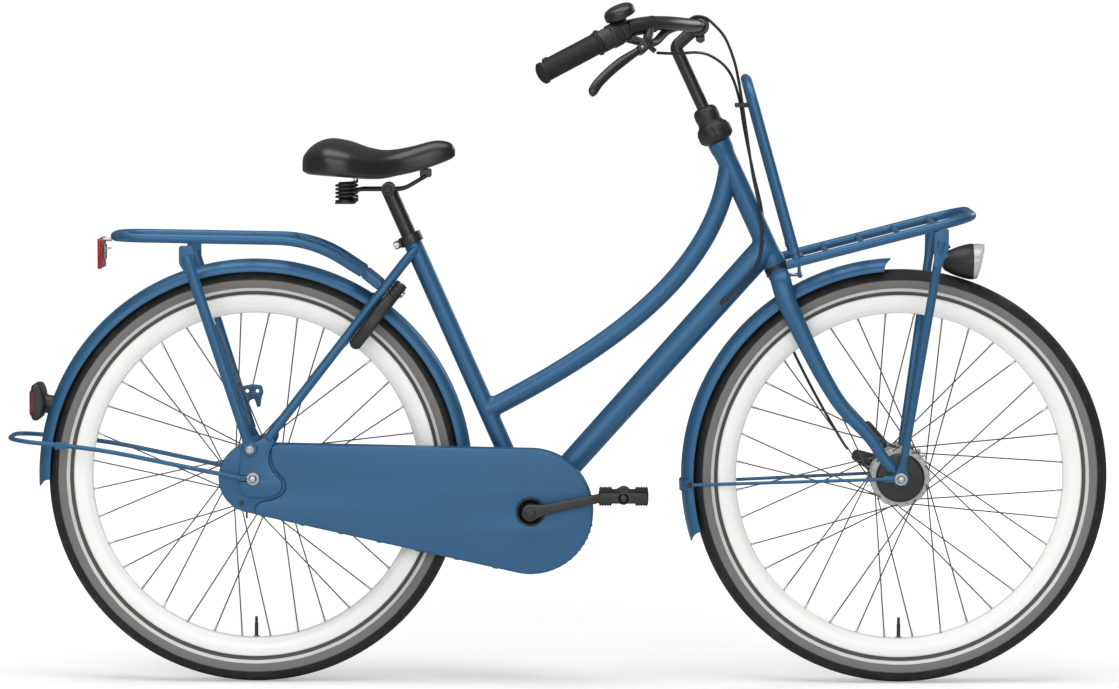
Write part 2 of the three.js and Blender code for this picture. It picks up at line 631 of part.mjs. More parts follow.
function topTubeCurve() {
  const head = headTop.clone().addScaledVector(steeringUp, -topTube.headDrop);
  const seat = bracketCentre.clone().addScaledVector(seatUp, topTube.seatRise);
  const start = vector(-Math.cos(toRadians(topTube.startDegrees)), 0, -Math.sin(toRadians(topTube.startDegrees)));
  const end = vector(Math.cos(toRadians(topTube.endDegrees)), 0, Math.sin(toRadians(topTube.endDegrees)));
  return new THREE.CubicBezierCurve3(
    head, head.clone().addScaledVector(start, topTube.startHandle),
    seat.clone().addScaledVector(end, topTube.endHandle), seat,
  );
}

function topTubeSolid() {
  const tube = sweep(topTubeCurve(), 11, circlePoints(10, topTube.radius));
  return tube.subtract(headTubeCutter()).subtract(seatTubeCutter());
}

function downTubeEnd() {
  return headBottom.clone().addScaledVector(steeringUp, downTube.headRise);
}

function downTubeSolid() {
  const tube = rod(bracketCentre, downTubeEnd(), downTube.radius, 16, downTube.radius * downTube.flare);
  return tube.subtract(headTubeCutter()).subtract(bracketCutter()).subtract(seatTubeCutter());
}

function seatTubeSolid() {
  const shellBase = vector(bottomBracket.x, -bottomBracket.halfLength, bottomBracket.z);
  const shell = rod(shellBase, shellBase.clone().setY(bottomBracket.halfLength), bottomBracket.radius, 16);
  const shellBore = rod(
    shellBase.clone().setY(-bottomBracket.halfLength - overrun), shellBase.clone().setY(bottomBracket.halfLength + overrun),
    bottomBracket.bore, 16,
  );
  const tube = rod(bracketCentre, seatTubeTop, seatTube.radius, 16);
  const boreEnd = seatTubeTop.clone().addScaledVector(seatUp, -seatTube.boreDepth);
  const bore = rod(boreEnd, seatTubeTop.clone().addScaledVector(seatUp, overrun), seatTube.bore, 16);
  return union(tube.subtract(bore), shell).subtract(shellBore);
}

function dropoutOutline() {
  return outlineFromShares(
    dropoutPlate.outlineShares, dropoutPlate.rearX, axleHeight + dropoutPlate.bottomZ,
    dropoutPlate.width, dropoutPlate.height,
  );
}

function dropoutSolid(side) {
  const plate = sidePlate(dropoutOutline(), side * rearDropout.innerFace, side * rearOuterFace);
  const slot = sidePlate([
    new THREE.Vector2(dropoutPlate.rearX - overrun, axleHeight - dropoutPlate.slotHalfHeight),
    new THREE.Vector2(dropoutPlate.slotHalfHeight, axleHeight - dropoutPlate.slotHalfHeight),
    new THREE.Vector2(dropoutPlate.slotHalfHeight, axleHeight + dropoutPlate.slotHalfHeight),
    new THREE.Vector2(dropoutPlate.rearX - overrun, axleHeight + dropoutPlate.slotHalfHeight),
  ], side * (rearDropout.innerFace - overrun), side * (rearOuterFace + overrun));
  return plate.subtract(slot);
}

function chainStayEnds(side) {
  const halfStay = rearDropout.innerFace - chainStay.radius;
  return [
    vector(bottomBracket.x - chainStay.bracketReach, side * chainStay.bracketOffset, bottomBracket.z + chainStay.bracketDrop),
    vector(stayBoss.rearX, side * halfStay, axleHeight),
  ];
}

function chainStaySide(side) {
  const [front, rear] = chainStayEnds(side);
  const boss = block(
    vector(stayBoss.rearX + stayBoss.length / 2, side * (rearDropout.innerFace - chainStay.radius / 2), axleHeight),
    [stayBoss.length, stayBoss.depth, stayBoss.height],
  );
  return union(rod(rear, front, chainStay.radius, 8), boss, dropoutSolid(side));
}

function chainStaysSolid() {
  const bridgeX = bottomBracket.x - chainStay.bridgeReach;
  const share = (bottomBracket.x - chainStay.bracketReach - bridgeX) / (chainStayEnds(1)[0].x - chainStayEnds(1)[1].x);
  const [left, right] = [1, -1].map((side) => chainStayEnds(side)[0].lerp(chainStayEnds(side)[1], share));
  const bridge = rod(right, left, chainStay.bridgeRadius, 8);
  return union(chainStaySide(1), chainStaySide(-1), bridge, standLug()).subtract(bracketCutter());
}

// Foot, knee beside the fender and top of one seat stay.
function seatStayPoints(side) {
  const footOffset = rearDropout.innerFace + rearDropout.thickness / 2;
  const foot = vector(seatStay.footX, side * footOffset, seatStay.footZ);
  const top = vector(seatStay.topX, side * seatStay.topOffset, seatStay.topZ);
  const kneeOffset = fender.halfWidth + seatStay.radius + seatStay.kneeGap;
  return [foot, foot.clone().lerp(top, seatStay.kneeShare).setY(side * kneeOffset), top];
}

function seatStaysSolid() {
  const tubes = [1, -1].map((side) => bent(
    filleted(seatStayPoints(side), seatStay.kneeBend), circlePoints(8, seatStay.radius), sideways, 3,
  ));
  const bridge = rod(seatStayPoints(-1)[1], seatStayPoints(1)[1], seatStay.bridgeRadius, 8);
  let stays = union(...tubes, bridge).subtract(seatTubeCutter());
  for (const side of [1, -1]) {
    stays = stays.subtract(sidePlate(
      dropoutOutline(), side * (rearDropout.innerFace - fit), side * (rearOuterFace + fit),
    ));
  }
  return stays;
}

function seatClampSolid() {
  const top = seatTubeTop.clone().addScaledVector(seatUp, fit);
  const base = seatTubeTop.clone().addScaledVector(seatUp, -seatClamp.height + overrun);
  const ring = rod(base, top.clone().addScaledVector(seatUp, overrun), seatClamp.radius, 16);
  const back = vector(-seatUp.z, 0, seatUp.x);
  const middle = base.clone().lerp(top, 0.5).addScaledVector(back, seatTube.radius + fit);
  const ears = rod(middle, middle.clone().addScaledVector(back, seatClamp.earLength), seatClamp.earWidth / 2, 8);
  const boltCentre = middle.clone().addScaledVector(back, seatClamp.earLength - seatClamp.boltRadius);
  const bolt = rod(
    boltCentre.clone().setY(-seatClamp.boltLength / 2), boltCentre.clone().setY(seatClamp.boltLength / 2),
    seatClamp.boltRadius, 8,
  );
  const core = rod(
    base.clone().addScaledVector(seatUp, -overrun), top.clone().addScaledVector(seatUp, 2 * overrun),
    seatTube.radius + fit, 16,
  );
  return union(ring, ears, bolt).subtract(core);
}

// Ring lock, modelled upright about the wheel's axle and leaned with the seat stays
const lockTilt = Math.atan2(seatStay.topX - seatStay.footX, seatStay.topZ - seatStay.footZ);
const lockForward = vector(Math.cos(lockTilt), 0, -Math.sin(lockTilt));
const lockOffset = vector(seatStay.footX, 0, seatStay.footZ - axleHeight).dot(lockForward)
  + seatStay.radius + fit + ringLock.thickness / 2;
const shackleCircle = (ringLock.innerRadius + ringLock.outerRadius) / 2;

class LockArc extends THREE.Curve {
  constructor(radius, from, to) {
    super();
    Object.assign(this, { radius, from: toRadians(from), to: toRadians(to) });
  }

  getPoint(share, target = vector()) {
    const angle = THREE.MathUtils.lerp(this.from, this.to, share);
    target.set(0, this.radius * Math.sin(angle), ringLock.centreRadius - this.radius * Math.cos(angle));
    return target;
  }
}

function lockArc(from, to, section, steps) {
  return sweep(new LockArc(shackleCircle, from, to), steps, section, vector(1, 0, 0));
}

function lockBodySolid() {
  const half = ringLock.thickness / 2;
  const wide = (ringLock.outerRadius - ringLock.innerRadius) / 2;
  const cut = half * ringLock.chamferShare;
  const section = [
    [-half, -wide + cut], [-half + cut, -wide], [half - cut, -wide], [half, -wide + cut],
    [half, wide - cut], [half - cut, wide], [-half + cut, wide], [-half, wide - cut],
  ];
  const ring = lockArc(ringLock.gapDegrees, 360 - ringLock.gapDegrees, section, ringLock.segments);
  const barrelAngle = toRadians(ringLock.barrelDegrees);
  const barrelReach = ringLock.outerRadius * ringLock.barrelShare;
  const barrelBase = vector(0, barrelReach * Math.sin(barrelAngle),
    ringLock.centreRadius - barrelReach * Math.cos(barrelAngle));
  const barrelEnd = barrelBase.clone().add(vector(0, 0, ringLock.barrelLength));
  const barrel = rod(barrelBase, barrelEnd, ringLock.barrelRadius, 8);
  const channel = lockArc(ringLock.gapDegrees - ringLock.endLapDegrees, ringLock.channelEndDegrees,
    circlePoints(6, ringLock.channelRadius), ringLock.arcSteps);
  const seatStart = 360 - ringLock.gapDegrees - ringLock.endLapDegrees;
  const seat = lockArc(seatStart, seatStart + 2 * ringLock.endLapDegrees, circlePoints(6, ringLock.channelRadius), 2);
  const lip = ringLock.leverRadius + fit;
  const high = shackleCircle;
  const slotSection = [[-lip, 0], [lip, 0], [lip, high], [-lip, high]];
  const flip = [[-lip, 0], [lip, 0], [lip, -high], [-lip, -high]];
  const outside = outwardSign() > 0 ? slotSection : flip;
  const slot = lockArc(
    ringLock.leverDegrees - ringLock.closeDegrees - ringLock.slotLapDegrees,
    ringLock.leverDegrees + ringLock.slotLapDegrees, outside, ringLock.arcSteps,
  );
  return union(ring, barrel).subtract(channel).subtract(seat).subtract(slot);
}

// Whether the swept section's second direction points away from the lock's centre.
function outwardSign() {
  const arc = new LockArc(shackleCircle, 0, 90);
  const up = arc.getTangentAt(0).cross(vector(1, 0, 0));
  return -up.z;
}

function lockShackleSolid() {
  const start = ringLock.gapDegrees + ringLock.endLapDegrees;
  const arc = lockArc(start, ringLock.channelEndDegrees - ringLock.endLapDegrees,
    circlePoints(6, ringLock.shackleRadius), ringLock.arcSteps);
  const angle = toRadians(ringLock.leverDegrees);
  const outwards = vector(0, Math.sin(angle), -Math.cos(angle));
  const centre = vector(0, 0, ringLock.centreRadius);
  const from = centre.clone().addScaledVector(outwards, shackleCircle);
  const to = centre.clone().addScaledVector(outwards, ringLock.outerRadius + ringLock.leverReach);
  const lever = rod(from, to, ringLock.leverRadius, 8);
  const head = rod(to.clone().addScaledVector(outwards, -ringLock.leverHead), to, ringLock.leverHead, 8);
  return union(arc, lever, head);
}

function buildRingLock() {
  const group = groupAt(rearAxle.clone().addScaledVector(lockForward, lockOffset));
  group.rotation.y = lockTilt;
  place('ring_lock_body', lockBodySolid(), blackPlastic, group);
  place('ring_lock_shackle', lockShackleSolid(), steel, group);
}

// Fenders
function fenderSection(radius) {
  const outer = fenderSectionShares.map(([half, up]) => [half * fender.halfWidth, (up - 1) * fender.depth]);
  const inner = fenderSectionShares.map(([half, up]) => [
    half * (fender.halfWidth - fender.wall), (up - 1) * fender.depth - (up > 0 ? fender.wall : 0),
  ]);
  return { radius, points: [...outer, ...inner.reverse()] };
}

function fenderSolid(centre, radius, from, to, steps) {
  return sweep(new WheelArc(centre, radius, from, to), steps, fenderSection(radius).points);
}

function buildFenders() {
  const rear = fenderSolid(rearAxle, fender.radius, rearFender.backDegrees, rearFender.frontDegrees, fender.steps);
  const bridge = seatStayPoints(1)[1].setY(0);
  const inwards = bridge.clone().sub(rearAxle).normalize();
  const rearPost = rod(
    rearAxle.clone().addScaledVector(inwards, fender.radius - 2 * fender.wall),
    bridge.clone().addScaledVector(inwards, -seatStay.bridgeRadius - fit), frontFender.postRadius, 8,
  );
  place('rear_fender', union(rear, rearPost), framePaint);
  const front = fenderSolid(
    frontAxle, frontFender.radius, frontFender.backDegrees, frontFender.frontDegrees, frontFender.steps,
  );
  const crown = vector(fork.crownX, 0, fork.crownZ);
  const towards = crown.clone().sub(frontAxle).normalize();
  const post = rod(
    frontAxle.clone().addScaledVector(towards, frontFender.radius - 2 * fender.wall),
    crown.clone().addScaledVector(towards, -fork.bladeSideTop - 4 * fit), frontFender.postRadius, 8,
  );
  place('front_fender', union(front, post), framePaint);
}

function buildFrame() {
  place('head_tube', headTubeSolid(), framePaint);
  place('top_tube', topTubeSolid(), framePaint);
  place('down_tube', downTubeSolid(), framePaint);
  place('seat_tube', seatTubeSolid(), framePaint);
  place('chain_stays', chainStaysSolid(), framePaint);
  place('seat_stays', seatStaysSolid(), framePaint);
  place('seat_clamp', seatClampSolid(), blackPlastic);
}

// Side stand, folded back along the left chain stay
const standAxis = standFolded.clone().cross(standDown).normalize();
const standPivot = vector(stand.x, stand.y, stand.z);

function standLug() {
  const inwards = standAxis.clone().multiplyScalar(Math.sign(-standAxis.y) || 1);
  const face = standPivot.clone().addScaledVector(inwards, stand.hubThickness / 2 + fit);
  const back = face.clone().addScaledVector(inwards, stand.lugThickness);
  const boss = rod(back, face, stand.hubRadius, 12);
  const pinEnd = standPivot.clone().addScaledVector(inwards, -stand.hubThickness / 2 - fit);
  const pin = rod(back, pinEnd, stand.pinRadius, 10);
  const share = (chainStayEnds(1)[0].x - stand.x) / (chainStayEnds(1)[0].x - chainStayEnds(1)[1].x);
  const onStay = chainStayEnds(1)[0].lerp(chainStayEnds(1)[1], share);
  const arm = rod(onStay, face.clone().lerp(back, 0.5), stand.footRadius, 8);
  const clear = rod(face, standPivot.clone().addScaledVector(inwards, -2 * stand.hubThickness), 2 * stand.hubRadius, 16);
  return union(boss, arm.subtract(clear), pin);
}

function kickstandSolid() {
  const half = standAxis.clone().multiplyScalar(stand.hubThickness / 2);
  const hub = rod(standPivot.clone().sub(half), standPivot.clone().add(half), stand.hubRadius, 12);
  const end = standPivot.clone().addScaledVector(standFolded, stand.legLength);
  const leg = rod(standPivot, end, stand.legRadius, 8);
  const foot = rod(end.clone().addScaledVector(standFolded, -stand.footLength), end, stand.footRadius, 8);
  const past = half.clone().multiplyScalar(2);
  const bore = rod(standPivot.clone().sub(past), standPivot.clone().add(past), stand.pinRadius + fit, 10);
  return union(hub, leg, foot).subtract(bore);
}


// Chaincase, chain and sprocket
function caseSolid() {
  const steps = chaincase.arcSteps;
  const shell = sidePlate(beltOutline(chaincase.frontRadius, chaincase.rearRadius, steps),
    chaincase.backFace, chaincase.outerFace);
  const inside = sidePlate(
    beltOutline(chaincase.frontRadius - chaincase.wall, chaincase.rearRadius - chaincase.wall, steps),
    chaincase.backFace + overrun, chaincase.rearFace + chaincase.wall,
  );
  const crankHole = rod(
    vector(bottomBracket.x, chaincase.outerFace - overrun, bottomBracket.z),
    vector(bottomBracket.x, 0, bottomBracket.z), chaincase.crankHole, 20,
  );
  const step = sidePlate(rearStepOutline(0), chaincase.rearFace, chaincase.outerFace - overrun);
  const deepInside = sidePlate(
    beltOutline(chaincase.frontRadius - chaincase.wall, chaincase.rearRadius - chaincase.wall, steps),
    chaincase.backFace, chaincase.outerFace + chaincase.wall,
  ).subtract(sidePlate(rearStepOutline(chaincase.wall), chaincase.backFace, chaincase.outerFace - overrun));
  const window = block(
    vector(stayBoss.rearX + stayBoss.length / 2, chaincase.rearFace, axleHeight),
    [stayBoss.length + chaincase.window, chaincase.windowDepth, stayBoss.height + chaincase.window],
  );
  const axleWindow = block(
    vector(-chaincase.window, chaincase.rearFace, axleHeight),
    [stayBoss.length + chaincase.window, chaincase.windowDepth, stayBoss.height],
  );
  const stayWindow = clearance(...chainStayEnds(-1), chainStay.radius, 8);
  return union(shell, ...caseLugs()).subtract(inside).subtract(deepInside).subtract(crankHole).subtract(step)
    .subtract(window).subtract(axleWindow).subtract(stayWindow);
}

// The pressed step behind and round the dropout, where the cover lies further in.
function rearStepOutline(growth) {
  const grown = dropoutPlate.width + 2 * chaincase.stepGap;
  const tall = dropoutPlate.height + 2 * chaincase.stepGap;
  const x = dropoutPlate.rearX - chaincase.stepGap + growth;
  const z = axleHeight + dropoutPlate.bottomZ - chaincase.stepGap;
  const far = -chaincase.rearRadius - overrun;
  const front = chaincase.stepShares.map(([across, up]) => new THREE.Vector2(x + across * grown, z + up * tall));
  return [
    new THREE.Vector2(far, axleHeight - chaincase.rearRadius - overrun), ...front,
    new THREE.Vector2(far, axleHeight + chaincase.rearRadius + 2 * overrun),
  ];
}

function caseLugs() {
  const outline = beltOutline(chaincase.frontRadius, chaincase.rearRadius, chaincase.arcSteps);
  const from = outline[chaincase.arcSteps];
  const to = outline[chaincase.arcSteps + 1];
  const along = to.clone().sub(from).normalize();
  const below = new THREE.Vector2(along.y, -along.x).multiplyScalar(Math.sign(-along.x) || 1);
  return Array.from({ length: chaincase.lugCount }, (_, number) => {
    const share = (number + 0.5) / chaincase.lugCount;
    const start = from.clone().lerp(to, share);
    const end = start.clone().addScaledVector(along, chaincase.lugLength);
    const out = below.clone().multiplyScalar(chaincase.lugHeight);
    const deep = below.clone().multiplyScalar(-chaincase.wall);
    return sidePlate([
      start.clone().add(deep), end.clone().add(deep), end.clone().add(out), start.clone().add(out),
    ], chaincase.backFace - chaincase.lugLength, chaincase.backFace - 2 * chaincase.lugLength);
  });
}

function caseBackSolid() {
  const plate = sidePlate(beltOutline(chaincase.frontRadius, chaincase.rearRadius, chaincase.arcSteps),
    chaincase.backFace, chaincase.backFace + chaincase.backThickness);
  const hubHole = rod(vector(0, chaincase.outerFace, axleHeight), vector(0, 0, axleHeight), chaincase.hubHole, 16);
  const slot = sidePlate(
    beltOutline(bottomBracket.radius + 2 * fit, chaincase.slotHalfWidth, chaincase.arcSteps),
    0, chaincase.outerFace,
  );
  return plate.subtract(hubHole).subtract(slot);
}

function pitchRadius(teeth) {
  return chainPitch / (2 * Math.sin(Math.PI / teeth));
}

function toothedDisc(teeth, size, hole) {
  const pitch = pitchRadius(teeth);
  const outline = Array.from({ length: 2 * teeth }, (_, step) => {
    const radius = pitch + (step % 2 === 0 ? size.toothHeight : -size.toothHeight);
    const angle = (step / teeth) * Math.PI;
    return new THREE.Vector2(radius * Math.cos(angle), radius * Math.sin(angle));
  });
  const shape = new THREE.Shape(outline);
  shape.holes.push(new THREE.Path().absarc(0, 0, hole, 0, 2 * Math.PI, true));
  return sidePlate(shape, chainLine - size.thickness / 2, chainLine + size.thickness / 2, 5);
}

function chainSolid() {
  const front = pitchRadius(chainring.teeth);
  const rear = pitchRadius(sprocket.teeth);
  const half = chainSize.plateHeight / 2;
  const tooth = chainring.thickness / 2 + fit;
  const wide = tooth + chainSize.plateThickness;
  const webInner = chainring.toothHeight + chainSize.webGap;
  const band = (grow, from, to) => sidePlate(
    beltOutline(front + grow, rear + grow, chainSize.arcSteps), chainLine + from, chainLine + to,
  );
  return band(webInner + chainSize.web, -wide, wide)
    .subtract(band(-half, -wide - overrun, wide + overrun))
    .subtract(band(webInner, -tooth, tooth));
}

function sprocketSolid() {
  const sleeve = turned([
    [rearHub.bore, sprocket.sleeveOuter], [sprocket.sleeveRadius, sprocket.sleeveOuter],
    [sprocket.sleeveRadius, sprocket.sleeveInner], [rearHub.bore, sprocket.sleeveInner],
  ], vector(0, 0, 0), sideways, 12);
  return union(toothedDisc(sprocket.teeth, sprocket, sprocket.sleeveRadius - chainring.rimLap), sleeve);
}

// Cranks, modelled level about the bottom bracket and leaned together
function crankArm(side) {
  const inner = side * crank.innerFace;
  const outer = side * (crank.innerFace + crank.thickness);
  const boss = rod(vector(0, inner, 0), vector(0, outer, 0), crank.bossRadius, 14);
  const eyeEnd = rod(vector(crank.length, inner, 0), vector(crank.length, outer, 0), crank.eyeRadius, 12);
  const waist = sidePlate([
    new THREE.Vector2(0, -crank.waistHalf), new THREE.Vector2(crank.length, -crank.waistEndHalf),
    new THREE.Vector2(crank.length, crank.waistEndHalf), new THREE.Vector2(0, crank.waistHalf),
  ], inner, outer);
  const pin = rod(
    vector(crank.length, inner, 0), vector(crank.length, outer + side * crank.pedalAxleLength, 0), crank.pedalAxle, 10,
  );
  return union(boss, eyeEnd, waist, pin);
}

function rightCrankSolid() {
  const ringInner = chainLine + chainring.thickness / 2;
  const spider = rod(vector(0, -crank.innerFace, 0), vector(0, ringInner, 0), chainring.spiderRadius / 2, 14);
  const flange = rod(vector(0, chainLine - chainring.thickness, 0), vector(0, ringInner, 0), chainring.spiderRadius, 16);
  const ring = toothedDisc(chainring.teeth, chainring, chainring.spiderRadius - chainring.rimLap);
  const bore = rod(
    vector(0, ringInner + overrun, 0), vector(0, -crank.innerFace - crank.thickness / 2, 0),
    crank.axleRadius + fit, 14,
  );
  return union(crankArm(-1), spider, flange, ring).subtract(bore);
}

function leftCrankSolid() {
  const end = -crank.innerFace - crank.thickness / 2 + fit;
  const shaft = rod(vector(0, crank.innerFace, 0), vector(0, end, 0), crank.axleRadius, 14);
  return union(crankArm(1).rotate([0, 180, 0]), shaft);
}

function pedalSolid(side) {
  const inner = side * (crank.innerFace + crank.thickness + pedal.gapToArm);
  const outer = inner + side * pedal.width;
  const barrel = rod(vector(0, inner, 0), vector(0, outer, 0), pedal.barrelRadius, 12);
  const ends = [inner, outer - side * pedal.endThickness].map((face) => block(
    vector(0, face + side * pedal.endThickness / 2, 0), [pedal.length, pedal.endThickness, pedal.endHeight],
  ));
  const blocks = [-1, 1].map((way) => block(
    vector(way * (pedal.length - pedal.blockWidth) / 2, (inner + outer) / 2, 0),
    [pedal.blockWidth, pedal.width - pedal.endThickness, pedal.height],
  ));
  const bore = rod(vector(0, inner - side * overrun, 0), vector(0, outer + side * overrun, 0), pedal.bore, 12);
  return union(barrel, ...ends, ...blocks).subtract(bore);
}

function buildDrive() {
  place('chaincase_cover', caseSolid(), framePaint);
  place('chaincase_back', caseBackSolid(), framePaint);
  place('chain', chainSolid(), steel);
  place('rear_sprocket', sprocketSolid(), steel, groupAt(rearAxle));
  const cranks = groupAt(bracketCentre);
  cranks.rotation.y = -toRadians(crank.riseDegrees);
  place('crank_right', rightCrankSolid(), blackPlastic, cranks);
  place('crank_left', leftCrankSolid(), blackPlastic, cranks);
  for (const [name, side] of [['pedal_right', -1], ['pedal_left', 1]]) {
    const holder = new THREE.Group();
    holder.position.x = -side * crank.length;
    holder.rotation.y = toRadians(crank.riseDegrees);
    cranks.add(holder);
    place(name, pedalSolid(side), rubber, holder);
  }
}

// Rear guard loop, light and reflector
function loopPoints(side) {
  const eyeOffset = rearOuterFace + fit + eye.thickness / 2;
  return [
    vector(0, side * eyeOffset, axleHeight),
    vector(-fenderLoop.eyeReach, side * eyeOffset, axleHeight),
    vector(-fenderLoop.shoulderX, side * fenderLoop.halfWidth, axleHeight + fenderLoop.shoulderZ),
  ];
}

function fenderLoopSolid() {
  const z = axleHeight + fenderLoop.rise;
  const corner = (side) => vector(-fenderLoop.reach, side * fenderLoop.halfWidth, z);
  const points = [
    loopPoints(-1)[1], loopPoints(-1)[2], corner(-1), corner(1), loopPoints(1)[2], loopPoints(1)[1],
  ];
  const rodBody = bent(filleted(points, fenderLoop.endSweep), circlePoints(6, fenderLoop.rodRadius), upward, 3);
  const eyes = [-1, 1].map((side) => {
    const [axleEnd, rodEnd] = loopPoints(side);
    const near = side * (rearOuterFace + fit);
    const far = near + side * eye.thickness;
    const disc = rod(axleEnd.clone().setY(near), axleEnd.clone().setY(far), eye.radius + fit, 10);
    const strap = block(
      axleEnd.clone().lerp(rodEnd, 0.5).setY((near + far) / 2),
      [fenderLoop.eyeReach + 2 * fenderLoop.rodRadius, eye.thickness, 2 * fenderLoop.rodRadius],
    );
    const hole = rod(axleEnd.clone().setY(near - side * overrun), axleEnd.clone().setY(far + side * overrun),
      axle.radius + fit, 8);
    return union(disc, strap).subtract(hole);
  });
  return union(rodBody, ...eyes);
}

function rearLightSolid() {
  const back = -fender.radius - fit;
  const outline = outlineFromShares(
    rearLight.outlineShares, back - rearLight.mountReach - rearLight.length,
    axleHeight + rearLight.centreRise - rearLight.height / 2, rearLight.length, rearLight.height,
  );
  const body = sidePlate(outline, -rearLight.width / 2, rearLight.width / 2);
  const centre = vector(back - rearLight.mountReach - overrun, 0, axleHeight + rearLight.centreRise);
  const foot = rod(centre, vector(0, 0, axleHeight), rearLight.footRadius, 10);
  const inside = rod(
    vector(0, -fender.radius, axleHeight), vector(0, fender.radius, axleHeight), fender.radius + fit, 96,
  );
  return union(body, foot).subtract(inside);
}

function reflectorSolid() {
  const plate = block(
    vector(reflector.frontX - reflector.thickness / 2, 0, reflector.topZ - reflector.height / 2),
    [reflector.thickness, reflector.width, reflector.height],
  );
  const tube = vector(rearDeck.backX + rearDeck.tubeRadius, 0, rearDeck.backZ);
  const height = reflector.topZ - reflector.stemRadius;
  const stem = rod(
    vector(reflector.frontX - reflector.stemRadius, 0, height), tube.clone().setZ(height), reflector.stemRadius, 8,
  ).subtract(clearance(
    tube.clone().setY(-reflector.width), tube.clone().setY(reflector.width), rearDeck.tubeRadius, 12,
  ));
  return union(plate, stem);
}

// Carriers
function rearDeckSolid() {
  const back = vector(rearDeck.backX + rearDeck.tubeRadius, rearDeck.halfWidth, rearDeck.backZ);
  const bend = vector(rearDeck.bendX, rearDeck.halfWidth, rearDeck.bendZ);
  const front = vector(rearDeck.frontX, rearDeck.frontHalfWidth, rearDeck.frontZ);
  const [farBack, farBend, farFront] = [back, bend, front].map((point) => point.clone().setY(-point.y));
  const path = filleted([farFront, farBend, farBack, back, bend, front], rearDeck.corner);
  const rail = bent(path, circlePoints(8, rearDeck.tubeRadius), upward, 3);
  const bars = Array.from({ length: rearDeck.barCount }, (_, number) => {
    const x = rearDeck.barFirstX + number * rearDeck.barPitch;
    const z = rearDeck.bendZ + rearDeck.barRise;
    return rod(vector(x, -rearDeck.halfWidth, z), vector(x, rearDeck.halfWidth, z), rearDeck.barRadius, 6);
  });
  const cross = rod(farFront, front, rearDeck.crossRadius, 6);
  const feet = [-1, 1].map((side) => rod(
    vector(front.x, side * rearDeck.footOffset, front.z), deckFoot(side), rearDeck.crossRadius, 8,
  ));
  return union(rail, ...bars, cross, ...feet);
}

// The deck's two front feet end against the bridge of the seat stays.
function deckFoot(side) {
  const bridge = seatStayPoints(1)[1];
  const towards = vector(rearDeck.frontX, 0, rearDeck.frontZ).sub(vector(bridge.x, 0, bridge.z)).normalize();
  const reach = seatStay.bridgeRadius + fit;
  return vector(bridge.x, 0, bridge.z).addScaledVector(towards, reach).setY(side * rearDeck.footOffset);
}

// A carrier stay: a wide bracket under the deck, a tube and a flattened foot on the plate below.
function carrierStay(size, foot, footFace, side, deckLine) {
  const top = vector(size.topX, side * size.sideOffset, size.topZ);
  const down = vector(foot.x - top.x, 0, foot.z - top.z).normalize();
  const near = side * footFace;
  const far = near + side * size.plateThickness;
  const middle = (near + far) / 2;
  const neck = vector(foot.x, middle, foot.z).addScaledVector(down, -size.neck);
  const tube = rod(top, neck, size.radius, 8, size.radius * size.taper);
  const sole = rod(neck, vector(foot.x, middle, foot.z), size.soleRadius, 6);
  const eyePlate = rod(vector(foot.x, near, foot.z), vector(foot.x, far, foot.z), size.footEye, 14);
  const bracket = sidePlate([
    new THREE.Vector2(size.topX - size.plateWidth / 2, size.topZ - size.plateHeight / 2),
    new THREE.Vector2(size.topX, size.topZ - size.plateHeight),
    new THREE.Vector2(size.topX + size.plateWidth / 2, size.topZ - size.plateHeight / 2),
    new THREE.Vector2(size.topX + size.plateWidth / 2, deckLine(size.topX + size.plateWidth / 2)),
    new THREE.Vector2(size.topX - size.plateWidth / 2, deckLine(size.topX - size.plateWidth / 2)),
  ], side * size.sideOffset - size.plateThickness / 2, side * size.sideOffset + size.plateThickness / 2);
  const clear = rod(vector(foot.x, near, foot.z), vector(foot.x, 0, foot.z), 3 * size.footEye, 16);
  return union(bracket, union(tube, sole).subtract(clear), eyePlate);
}

function rearCarrierStaySolid(side) {
  const foot = vector(dropoutPlate.footX, 0, axleHeight + dropoutPlate.footZ);
  const underside = () => rearDeck.bendZ - rearDeck.tubeRadius - fit;
  const stay = carrierStay(rearCarrierStay, foot, rearOuterFace + fit, side, underside);
  if (side < 0) return stay;
  const plate = sidePlate(outlineFromShares(hookPlate.outlineShares, hookPlate.x, hookPlate.z, hookPlate.length,
    hookPlate.height), side * hookPlate.y - hookPlate.thickness / 2, side * hookPlate.y + hookPlate.thickness / 2);
  return union(stay, plate);
}

function frontDeckDirection() {
  return vector(frontDeck.frontX - frontDeck.backX, 0, frontDeck.frontZ - frontDeck.backZ).normalize();
}

function frontDeckPoint(share, offset = 0) {
  return vector(
    THREE.MathUtils.lerp(frontDeck.backX, frontDeck.frontX, share), offset,
    THREE.MathUtils.lerp(frontDeck.backZ, frontDeck.frontZ, share),
  );
}

